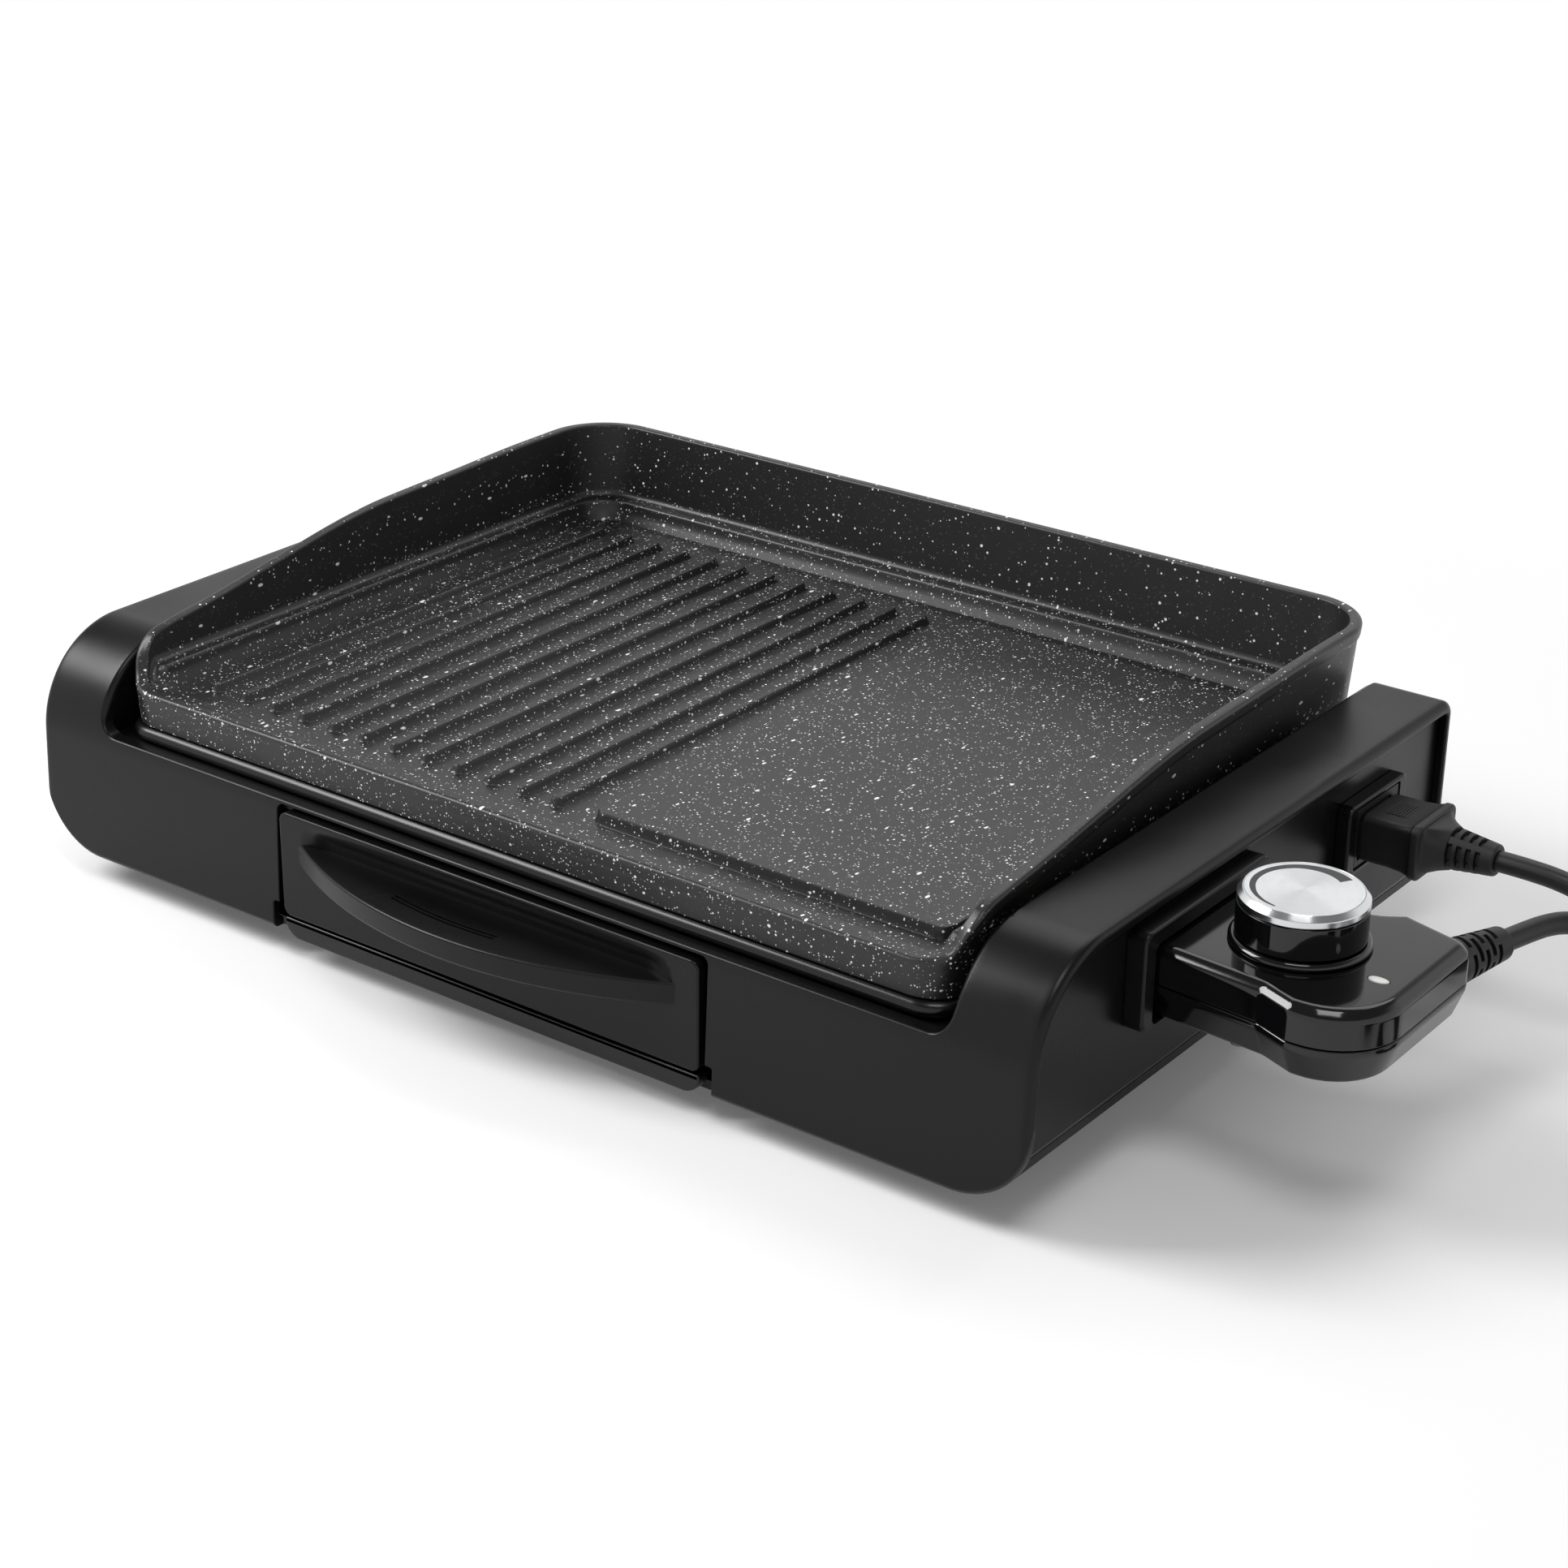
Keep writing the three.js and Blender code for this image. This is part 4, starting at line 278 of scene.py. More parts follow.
def bezier_handles(places: np.ndarray) -> tuple[np.ndarray, np.ndarray]:
    """Works out handles that make a curve smooth: a third of each span long, along the mean direction.

    Args:
        places: The curve's points.

    Returns:
        The handles before and after each point.
    """
    steps = np.diff(places, axis=0)
    spans = np.linalg.norm(steps, axis=1, keepdims=True)
    ways = steps / spans
    ahead = np.concatenate([ways, ways[-1:]])
    behind = np.concatenate([ways[:1], ways])
    long_ahead = np.concatenate([spans, spans[-1:]])
    long_behind = np.concatenate([spans[:1], spans])
    mean = ahead * long_behind + behind * long_ahead
    mean = mean / np.linalg.norm(mean, axis=1, keepdims=True)
    return places - mean * long_behind / 3, places + mean * long_ahead / 3


def rounded(
    corners: list[tuple[float, float]], radii: list[float], inset: float, steps: int
) -> np.ndarray:
    """Outline with an arc on each corner, drawn inwards.

    Each side moves inwards by the inset, so an outer corner's radius shrinks and an inner one's grows.
    An arc starts at its corner less its radius times the tangent of half the turn.

    Args:
        corners: The outline's corners, anticlockwise.
        radii: Radius on each corner.
        inset: How far the outline is drawn in.
        steps: Steps on each arc.

    Returns:
        The outline's points.
    """
    places = np.array(corners, float)
    ahead = np.roll(places, -1, axis=0) - places
    ahead /= np.linalg.norm(ahead, axis=1, keepdims=True)
    behind = np.roll(ahead, 1, axis=0)
    inward = np.stack([-ahead[:, 1], ahead[:, 0]], -1)
    before = np.roll(inward, 1, axis=0)
    along = (ahead * behind).sum(1)
    turn = np.arctan2(behind[:, 0] * ahead[:, 1] - behind[:, 1] * ahead[:, 0], along)
    moved = places + inset * (before + inward) / (1 + along)[:, None]
    side = np.sign(turn)
    radius = np.maximum(np.array(radii, float) - side * inset, 0.05)
    reach = radius * np.abs(np.tan(turn / 2))
    middle = moved - behind * reach[:, None] + before * (radius * side)[:, None]
    start = np.arctan2(-side * before[:, 1], -side * before[:, 0])
    angles = start[:, None] + turn[:, None] * np.linspace(0.0, 1.0, steps + 1)
    spokes = np.stack([np.cos(angles), np.sin(angles)], -1)
    return (middle[:, None] + radius[:, None, None] * spokes).reshape(-1, 2)


def eased_through(places: np.ndarray, heights: np.ndarray, wanted: np.ndarray) -> np.ndarray:
    """Cubics through points that never overshoot: each slope is the harmonic mean of its neighbours'.

    Args:
        places: Where the heights are, in rising order.
        heights: The heights there.
        wanted: Where heights are wanted.

    Returns:
        The heights at the wanted places.
    """
    spans = np.diff(places)
    slopes = np.diff(heights) / spans
    both = slopes[:-1] * slopes[1:]
    total = slopes[:-1] + slopes[1:]
    inner = np.where(both > 0, 2 * both / np.where(total == 0, 1.0, total), 0.0)
    slope = np.concatenate([slopes[:1], inner, slopes[-1:]])
    k = np.clip(np.searchsorted(places, wanted, side="right") - 1, 0, len(spans) - 1)
    t = (wanted - places[k]) / spans[k]
    return (
        (2 * t**3 - 3 * t**2 + 1) * heights[k] + (t**3 - 2 * t**2 + t) * spans[k] * slope[k]
        + (3 * t**2 - 2 * t**3) * heights[k + 1] + (t**3 - t**2) * spans[k] * slope[k + 1]
    )


def stood(axis: int, outlines: np.ndarray, places: np.ndarray) -> np.ndarray:
    """Stands flat outlines across an axis.

    Args:
        axis: 0 for X, 1 for Y, 2 for Z.
        outlines: One outline, or one for each place, in the two other coordinates.
        places: Where they stand on the axis.

    Returns:
        The points by place and by outline point.
    """
    flat = np.asarray(outlines, float)
    spots = np.asarray(places, float)
    if flat.ndim == 2:
        flat = np.repeat(flat[None], len(spots), axis=0)
    across = np.broadcast_to(spots[:, None, None], (*flat.shape[:2], 1))
    return np.concatenate([flat[..., :axis], across, flat[..., axis:]], -1)


class Shell:
    """A skin gathered from grids of points, with faces between neighbours on each grid."""

    def __init__(self) -> None:
        """Starts with no points and no faces."""
        self._points: list[np.ndarray] = []
        self._faces: list[list[int]] = []
        self._count = 0

    def grid(
        self, points: np.ndarray, wrap_rows: bool = False, wrap_columns: bool = False
    ) -> np.ndarray:
        """Adds a grid of points with a four-sided face in each cell.

        Args:
            points: Places by row and column.
            wrap_rows: Whether the last row joins the first.
            wrap_columns: Whether the last column joins the first.

        Returns:
            The points' numbers by row and column.
        """
        rows, columns = points.shape[:2]
        numbers = np.arange(rows * columns).reshape(rows, columns) + self._count
        self._points.append(points.reshape(-1, 3))
        self._count += rows * columns
        both = np.concatenate([numbers, numbers[:1]]) if wrap_rows else numbers
        both = np.concatenate([both, both[:, :1]], axis=1) if wrap_columns else both
        cells = np.stack([both[:-1, :-1], both[:-1, 1:], both[1:, 1:], both[1:, :-1]], -1)
        self._faces.extend(cells.reshape(-1, 4).tolist())
        return numbers

    def strip(self, one: np.ndarray, other: np.ndarray, wrap: bool = True) -> None:
        """Joins two rows of the same length with four-sided faces.

        Args:
            one: Numbers of the first row.
            other: Numbers of the second row.
            wrap: Whether the rows close on themselves.
        """
        a, b = (np.append(row, row[:1]) if wrap else row for row in (one, other))
        self._faces.extend(np.stack([a[:-1], a[1:], b[1:], b[:-1]], -1).tolist())

    def cap(self, ring: np.ndarray) -> None:
        """Closes a ring of numbers with one face."""
        self._faces.append(ring.tolist())

    def piece(self, name: str, sharp: float = SHARP) -> bpy.types.Object:
        """Makes the skin an object at the origin, with its faces outwards and shaded smooth.

        Args:
            name: The piece's name.
            sharp: Angle in degrees past which an edge is shaded sharp.

        Returns:
            The new object, linked to the scene.
        """
        mesh = bpy.data.meshes.new(name)
        mesh.from_pydata(in_frame(np.concatenate(self._points)).tolist(), [], self._faces)
        closed_up(mesh)
        shade(mesh, sharp)
        made = bpy.data.objects.new(name, mesh)
        bpy.context.collection.objects.link(made)
        return made


def closed_up(mesh: bpy.types.Mesh) -> None:
    """Merges a mesh's doubled points and turns its faces outwards.

    Args:
        mesh: The mesh that is changed.
    """
    work = bmesh.new()
    work.from_mesh(mesh)
    bmesh.ops.remove_doubles(work, verts=work.verts, dist=SAME_POINT)
    bmesh.ops.recalc_face_normals(work, faces=work.faces)
    work.to_mesh(mesh)
    work.free()


def shade(mesh: bpy.types.Mesh, sharp: float) -> None:
    """Shades a mesh smooth, apart from edges past an angle in degrees."""
    mesh.shade_smooth()
    mesh.set_sharp_from_angle(angle=math.radians(sharp))


def shaped(piece: bpy.types.Object, sharp: float | None = SHARP) -> bpy.types.Object:
    """Applies a piece's modifiers to its mesh.

    Args:
        piece: The piece.
        sharp: Angle in degrees past which an edge is shaded sharp, or None to leave the shading.

    Returns:
        The same piece.
    """
    graph = bpy.context.evaluated_depsgraph_get()
    mesh = bpy.data.meshes.new_from_object(piece.evaluated_get(graph))
    piece.modifiers.clear()
    old, piece.data = piece.data, mesh
    bpy.data.meshes.remove(old)
    if sharp is not None:
        shade(mesh, sharp)
    return piece


def worked(
    piece: bpy.types.Object, tools: list[bpy.types.Object], how: Join, sharp: float = SHARP
) -> bpy.types.Object:
    """Adds solids to a piece, cuts them from it, or keeps what it shares with them.

    Args:
        piece: The piece that is worked on.
        tools: The solids, which are used up.
        how: What they do.
        sharp: Angle in degrees past which an edge is shaded sharp.

    Returns:
        The same piece.
    """
    for tool in tools:
        step = piece.modifiers.new("work", "BOOLEAN")
        step.operation = how.value
        step.solver = "MANIFOLD"
        step.object = tool
        shaped(piece, None)
        used = tool.data
        bpy.data.objects.remove(tool)
        bpy.data.meshes.remove(used)
    shade(piece.data, sharp)
    return piece


def solid(name: str, rings: np.ndarray, sharp: float = SHARP) -> bpy.types.Object:
    """Makes a closed solid through rings of points, with a face on each end.

    Args:
        name: The piece's name.
        rings: Points by ring and place on the ring.
        sharp: Angle in degrees past which an edge is shaded sharp.

    Returns:
        The solid.
    """
    shell = Shell()
    numbers = shell.grid(rings, wrap_columns=True)
    shell.cap(numbers[0])
    shell.cap(numbers[-1])
    return shell.piece(name, sharp)


def lofted(
    name: str, axis: int, levels: np.ndarray, outline: Callable[[float], np.ndarray]
) -> bpy.types.Object:
    """Makes a solid through an outline that is drawn in by another amount at each place on an axis.

    Args:
        name: The solid's name.
        axis: 0 for X, 1 for Y, 2 for Z.
        levels: Pairs of the place on the axis and how far the outline is drawn in there.
        outline: Gives the outline that is drawn in so far.

    Returns:
        The solid.
    """
    rings = np.stack([outline(inset) for _, inset in levels])
    return solid(name, stood(axis, rings, levels[:, 0]))


def folded(
    name: str, profile: np.ndarray, outline: Callable[[float], np.ndarray]
) -> bpy.types.Object:
    """Carries a closed profile round an upright outline, as a folded sheet.

    Args:
        name: The piece's name.
        profile: Pairs of how far the outline is drawn in and the height there.
        outline: Gives the outline that is drawn in so far.

    Returns:
        The piece.
    """
    rings = np.stack([outline(inset) for inset, _ in profile])
    shell = Shell()
    shell.grid(stood(2, rings, profile[:, 1]), wrap_rows=True, wrap_columns=True)
    return shell.piece(name, SOFT_SHARP)


def prism(
    name: str, axis: int, outline: np.ndarray, low: float, high: float
) -> bpy.types.Object:
    """Makes an outline a straight solid from low to high on an axis."""
    return solid(name, stood(axis, outline, np.array([low, high])))


def block(
    name: str, low: tuple[float, float, float], high: tuple[float, float, float]
) -> bpy.types.Object:
    """Makes a box from its lowest to its highest corner, as a tool for cutting."""
    outline = np.array([(low[0], low[1]), (high[0], low[1]), (high[0], high[1]), (low[0], high[1])])
    return prism(name, 2, outline, low[2], high[2])


def turned(
    name: str, profile: np.ndarray, start: np.ndarray, way: tuple[float, float, float] = (0, 0, 1),
    steps: int = 64, ring: bool = False,
) -> bpy.types.Object:
    """Turns a profile round an axis: start + height along it + radius across it, all round.

    Args:
        name: The piece's name.
        profile: Pairs of radius and height; it starts and ends on the axis, unless it is a ring.
        start: The axis's first point.
        way: Its direction.
        steps: Steps round the axis.
        ring: Whether the profile closes on itself, off the axis.

    Returns:
        The solid.
    """
    along = np.array(way, float) / np.linalg.norm(way)
    upright = abs(along[2]) > 0.9
    side = np.cross(along, (1.0, 0.0, 0.0) if upright else (0.0, 0.0, 1.0))
    side /= np.linalg.norm(side)
    angles = np.arange(steps)[:, None] * FULL_TURN / steps
    spokes = np.cos(angles) * side + np.sin(angles) * np.cross(along, side)
    shape = np.asarray(profile, float)
    points = np.asarray(start, float) + shape[:, None, 1:] * along + shape[:, None, :1] * spokes
    shell = Shell()
    shell.grid(points, wrap_rows=ring, wrap_columns=True)
    return shell.piece(name)


def rod(
    name: str, start: tuple[float, float, float], end: tuple[float, float, float], radius: float,
    steps: int = 48,
) -> bpy.types.Object:
    """Makes a round bar between two points, as a post or a tool for drilling.

    Args:
        name: The bar's name.
        start: Middle of its first end.
        end: Middle of its last end.
        radius: Its radius.
        steps: Steps round it.

    Returns:
        The bar.
    """
    way = np.subtract(end, start).astype(float)
    long = float(np.linalg.norm(way))
    return turned(name, [(0, 0), (radius, 0), (radius, long), (0, long)], start, tuple(way), steps)


def turned_map(piece: bpy.types.Object, middle: tuple[float, float]) -> None:
    """Lays the UV map "Turned": U is the share of a turn round an upright axis, V the radius in metres.

    Args:
        piece: The piece.
        middle: The axis's X and Y.
    """
    mesh = piece.data
    corner = np.empty(len(mesh.loops), np.int32)
    mesh.loops.foreach_get("vertex_index", corner)
    places = np.empty(len(mesh.vertices) * 3, np.float32)
    mesh.vertices.foreach_get("co", places)
    first = np.empty(len(mesh.polygons), np.int32)
    mesh.polygons.foreach_get("loop_start", first)
    face = np.repeat(np.arange(len(first)), np.diff(np.append(first, len(corner))))
    flat = places.reshape(-1, 3)[corner, :2] - in_frame(np.array([*middle, 0.0]))[:2]
    radius = np.hypot(flat[:, 0], flat[:, 1])
    share = np.arctan2(flat[:, 1], flat[:, 0]) / FULL_TURN % 1
    off_axis = radius > SAME_POINT
    high = np.maximum.reduceat(np.where(off_axis, share, 0.0), first)
    low = np.minimum.reduceat(np.where(off_axis, share, 1.0), first)
    share = np.where((high - low > 0.5)[face] & (share < 0.5), share + 1, share)
    number = np.maximum(np.add.reduceat(off_axis.astype(float), first), 1.0)
    mean = np.add.reduceat(np.where(off_axis, share, 0.0), first) / number
    share = np.where(off_axis, share, mean[face])
    layer = mesh.uv_layers.new(name="Turned")
    layer.data.foreach_set("uv", np.stack([share, radius], -1).astype(np.float32).ravel())


# Finishes


def linear(colour: str) -> tuple[float, float, float, float]:
    """Turns an sRGB hex colour such as #1a1a1b into the linear one that the shaders take.

    Args:
        colour: Hash and six digits.

    Returns:
        Linear red, green and blue, and an alpha of 1.
    """
    parts = np.array([int(colour[i:i + 2], 16) / 255 for i in (1, 3, 5)])
    bright = np.where(parts <= 0.04045, parts / 12.92, ((parts + 0.055) / 1.055) ** 2.4)
    return (*bright.tolist(), 1.0)


def add_node(
    tree: bpy.types.NodeTree, kind: str, settings: dict | None = None, inputs: dict | None = None
) -> bpy.types.Node:
    """Adds a node with its settings and links.

    Args:
        tree: The tree that it goes in.
        kind: The node's type.
        settings: Values of the node's own properties.
        inputs: Values of its sockets, by name or number; a socket there is linked.

    Returns:
        The new node.
    """
    node = tree.nodes.new(kind)
    for name, value in (settings or {}).items():
        setattr(node, name, value)
    for name, value in (inputs or {}).items():
        socket = node.inputs[name]
        if isinstance(value, bpy.types.NodeSocket):
            tree.links.new(value, socket)
        else:
            socket.default_value = value
    return node


@dataclass(frozen=True)
class Finish:
    """A surface's finish: its names, and the values that its shader takes."""

    name: str
    colour: str
    roughness: float
    slot: Slot
    ior: float = 1.5
    metallic: float = 0.0
    specular: float = 0.5
    coat: float = 0.0
    coat_roughness: float = 0.1
    grain_mm: float = 0.3
    grain_depth_mm: float = 0.01
    mottle_mm: float = 40.0
    mottle: float = 0.06
    colour_change: float = 0.12

    def start(self) -> tuple[bpy.types.Material, bpy.types.NodeTree, bpy.types.Node]:
        """Begins a material with its shader's even values set.

        Returns:
            The material, its tree and the shader.
        """
        made = bpy.data.materials.new(self.name)
        made.use_nodes = True
        tree = made.node_tree
        tree.nodes.clear()
        shader = add_node(tree, "ShaderNodeBsdfPrincipled", inputs={
            "Base Color": linear(self.colour),
            "Roughness": self.roughness,
            "Metallic": self.metallic,
            "IOR": self.ior,
            "Specular IOR Level": self.specular,
            "Coat Weight": self.coat,
            "Coat Roughness": self.coat_roughness,
        })
        add_node(tree, "ShaderNodeOutputMaterial", inputs={"Surface": shader.outputs[0]})
        made.diffuse_color = linear(self.colour)
        return made, tree, shader

    def uneven(
        self, tree: bpy.types.NodeTree, where: bpy.types.NodeSocket, size_mm: float, detail: float,
        middle: float, swing: float,
    ) -> bpy.types.NodeSocket:
        """Adds a value that changes slowly over the surface: noise, spread round a middle value.

        Args:
            tree: The material's tree.
            where: Coordinates in metres.
            size_mm: Size of the noise's lumps.
            detail: How many finer layers it has.
            middle: The middle value.
            swing: How far the value goes to either side.

        Returns:
            The value.
        """
        lumps = add_node(tree, "ShaderNodeTexNoise", inputs={
            "Vector": where, "Scale": 1 / (size_mm * MM), "Detail": detail,
        })
        return add_node(tree, "ShaderNodeMapRange", inputs={
            "Value": lumps.outputs["Fac"], "From Min": 0.3, "From Max": 0.7,
            "To Min": middle - swing, "To Max": middle + swing,
        }).outputs["Result"]

    def dress(self) -> bpy.types.Material:
        """Makes the material: slow changes of colour and roughness, and a fine moulded grain.

        Returns:
            The material.
        """
        made, tree, shader = self.start()
        where = add_node(tree, "ShaderNodeTexCoord").outputs["Object"]
        tint = add_node(tree, "ShaderNodeVectorMath", {"operation": "SCALE"}, {
            0: linear(self.colour)[:3],
            "Scale": self.uneven(tree, where, self.mottle_mm, 2.0, 1.0, self.colour_change),
        })
        tree.links.new(tint.outputs[0], shader.inputs["Base Color"])
        rough = self.uneven(tree, where, self.mottle_mm, 2.0, self.roughness, self.mottle)
        tree.links.new(rough, shader.inputs["Roughness"])
        fine = add_node(tree, "ShaderNodeTexNoise", inputs={
            "Vector": where, "Scale": 1 / (self.grain_mm * MM), "Detail": 3.0,
        })
        bump = add_node(tree, "ShaderNodeBump", inputs={
            "Height": fine.outputs["Fac"], "Distance": self.grain_depth_mm * MM, "Strength": 1.0,
        })
        tree.links.new(bump.outputs[0], shader.inputs["Normal"])
        return made


@dataclass(frozen=True)
class StoneCoat(Finish):
    """Sprayed non-stick coat: dark grey with pale specks of three sizes and a faint orange peel.

    Each size of speck is four numbers: its cells' size in millimetres, the share of them that stay
    empty, and a speck's largest radius and its edge as shares of a cell.
    """

    speck: str = "#f0f0ee"
    fleck: tuple[float, float, float, float] = (2.6, 0.84, 0.25, 0.04)
    grit: tuple[float, float, float, float] = (1.4, 0.84, 0.34, 0.06)
    dust: tuple[float, float, float, float] = (1.0, 0.52, 0.30, 0.09)
    fleck_turn: float = 0.7
    fleck_squeeze: float = 0.5
    speck_rise: float = 0.5
    floor_top: float = 83.0
    floor_fade: float = 8.0
    wall_dust: float = 0.1
    shade_mm: float = 22.0
    shade_swing: float = 0.15
    wobble_mm: float = 1.6
    wobble_m: float = 0.0006

    def specks(
        self, tree: bpy.types.NodeTree, where: bpy.types.NodeSocket, size_mm: float, few: float,
        radius: float, soft: float,
    ) -> bpy.types.NodeSocket:
        """Adds round specks: a cell's middle counts where its random number is high enough.

        Args:
            tree: The material's tree.
            where: Coordinates in metres.
            size_mm: Distance between cells.
            few: Share of cells that stay empty.
            radius: Largest speck radius, as a share of the cell.
            soft: Width of a speck's edge, as a share of the cell.

        Returns:
            1 on a speck and 0 off it.
        """
        cells = add_node(tree, "ShaderNodeTexVoronoi", inputs={
            "Vector": where, "Scale": 1 / (size_mm * MM), "Randomness": 1.0,
        })
        chance = add_node(tree, "ShaderNodeSeparateColor", inputs={
            "Color": cells.outputs["Color"],
        })
        grown = add_node(tree, "ShaderNodeMapRange", inputs={
            "Value": chance.outputs["Red"], "From Min": few, "From Max": 1.0, "To Max": radius,
        })
        edge = add_node(tree, "ShaderNodeMath", {"operation": "SUBTRACT"}, {
            0: grown.outputs["Result"], 1: cells.outputs["Distance"],
        })
        kept = add_node(tree, "ShaderNodeMath", {"operation": "GREATER_THAN"}, {
            0: chance.outputs["Red"], 1: few,
        })
        spot = add_node(tree, "ShaderNodeMapRange", inputs={
            "Value": edge.outputs[0], "From Min": -soft, "From Max": soft,
        })
        return add_node(tree, "ShaderNodeMath", {"operation": "MULTIPLY"}, {
            0: spot.outputs["Result"], 1: kept.outputs[0],
        }).outputs[0]

    def dress(self) -> bpy.types.Material:
        """Makes the material: three layers of specks over a mottled coat.

        Returns:
            The material.
        """
        made, tree, shader = self.start()
        where = add_node(tree, "ShaderNodeTexCoord").outputs["Object"]
        wobble = add_node(tree, "ShaderNodeTexNoise", inputs={
            "Vector": where, "Scale": 1 / (self.wobble_mm * MM), "Detail": 3.0,
        })
        shift = add_node(tree, "ShaderNodeVectorMath", {"operation": "MULTIPLY_ADD"}, {
            0: wobble.outputs["Color"], 1: (self.wobble_m,) * 3, 2: where,
        })
        long_way = add_node(tree, "ShaderNodeMapping", inputs={
            "Vector": shift.outputs[0], "Rotation": (0.0, 0.0, self.fleck_turn),
            "Scale": (1.0, self.fleck_squeeze, 1.0),
        })
        height = add_node(tree, "ShaderNodeSeparateXYZ", inputs={"Vector": where})
        low = add_node(tree, "ShaderNodeMapRange", inputs={
            "Value": height.outputs["Z"], "From Min": self.floor_top * MM,
            "From Max": (self.floor_top + self.floor_fade) * MM, "To Min": 1.0,
            "To Max": self.wall_dust,
        })
        flecks = self.specks(tree, long_way.outputs[0], *self.fleck)
        grit = self.specks(tree, where, *self.grit)
        dust = self.specks(tree, where, *self.dust)
        both = add_node(tree, "ShaderNodeMath", {"operation": "MAXIMUM"}, {0: flecks, 1: grit})
        on_floor = add_node(tree, "ShaderNodeMath", {"operation": "MULTIPLY"}, {
            0: dust, 1: low.outputs["Result"],
        })
        faded = add_node(tree, "ShaderNodeMath", {"operation": "MAXIMUM"}, {
            0: both.outputs[0], 1: on_floor.outputs[0],
        })
        dark = add_node(tree, "ShaderNodeVectorMath", {"operation": "SCALE"}, {
            0: linear(self.colour)[:3],
            "Scale": self.uneven(tree, where, self.shade_mm, 3.0, 1.0, self.shade_swing),
        })
        pale = add_node(tree, "ShaderNodeMix", {"data_type": "RGBA"}, {
            "Factor": faded.outputs[0], 6: dark.outputs[0], 7: linear(self.speck),
        })
        tree.links.new(pale.outputs[2], shader.inputs["Base Color"])
        peel = add_node(tree, "ShaderNodeTexNoise", inputs={
            "Vector": where, "Scale": 1 / (self.grain_mm * MM), "Detail": 2.0,
        })
        height_of = add_node(tree, "ShaderNodeMath", {"operation": "MULTIPLY_ADD"}, {
            0: faded.outputs[0], 1: self.speck_rise, 2: peel.outputs["Fac"],
        })
        bump = add_node(tree, "ShaderNodeBump", inputs={
            "Height": height_of.outputs[0], "Distance": self.grain_depth_mm * MM, "Strength": 1.0,
        })
        tree.links.new(bump.outputs[0], shader.inputs["Normal"])
        return made


@dataclass(frozen=True)
class SpunMetal(Finish):
    """Turned metal: fine rings in roughness and bump round the piece's axis, from its UV map."""

    ring_mm: float = 0.16
    round_scale: float = 3.0
    anisotropy: float = 0.85

    def dress(self) -> bpy.types.Material:
        """Makes the material; its UV map's U runs round the axis and V is the radius in metres.

        Returns:
            The material.
        """
        made, tree, shader = self.start()
        plan = add_node(tree, "ShaderNodeUVMap", {"uv_map": "Turned"})
        spread = add_node(tree, "ShaderNodeMapping", inputs={
            "Vector": plan.outputs[0], "Scale": (self.round_scale, 1 / (self.ring_mm * MM), 1.0),
        })
        rings = add_node(tree, "ShaderNodeTexNoise", inputs={
            "Vector": spread.outputs[0], "Scale": 1.0, "Detail": 3.0,
        }).outputs["Fac"]
        rough = add_node(tree, "ShaderNodeMapRange", inputs={
            "Value": rings, "From Min": 0.3, "From Max": 0.7,
            "To Min": self.roughness - self.mottle, "To Max": self.roughness + self.mottle,
        })
        tree.links.new(rough.outputs["Result"], shader.inputs["Roughness"])
        bump = add_node(tree, "ShaderNodeBump", inputs={
            "Height": rings, "Distance": self.grain_depth_mm * MM, "Strength": 1.0,
        })
        tree.links.new(bump.outputs[0], shader.inputs["Normal"])
        round_way = add_node(tree, "ShaderNodeTangent", {
            "direction_type": "UV_MAP", "uv_map": "Turned",
        })
        tree.links.new(round_way.outputs[0], shader.inputs["Tangent"])
        shader.inputs["Anisotropic"].default_value = self.anisotropy
        return made


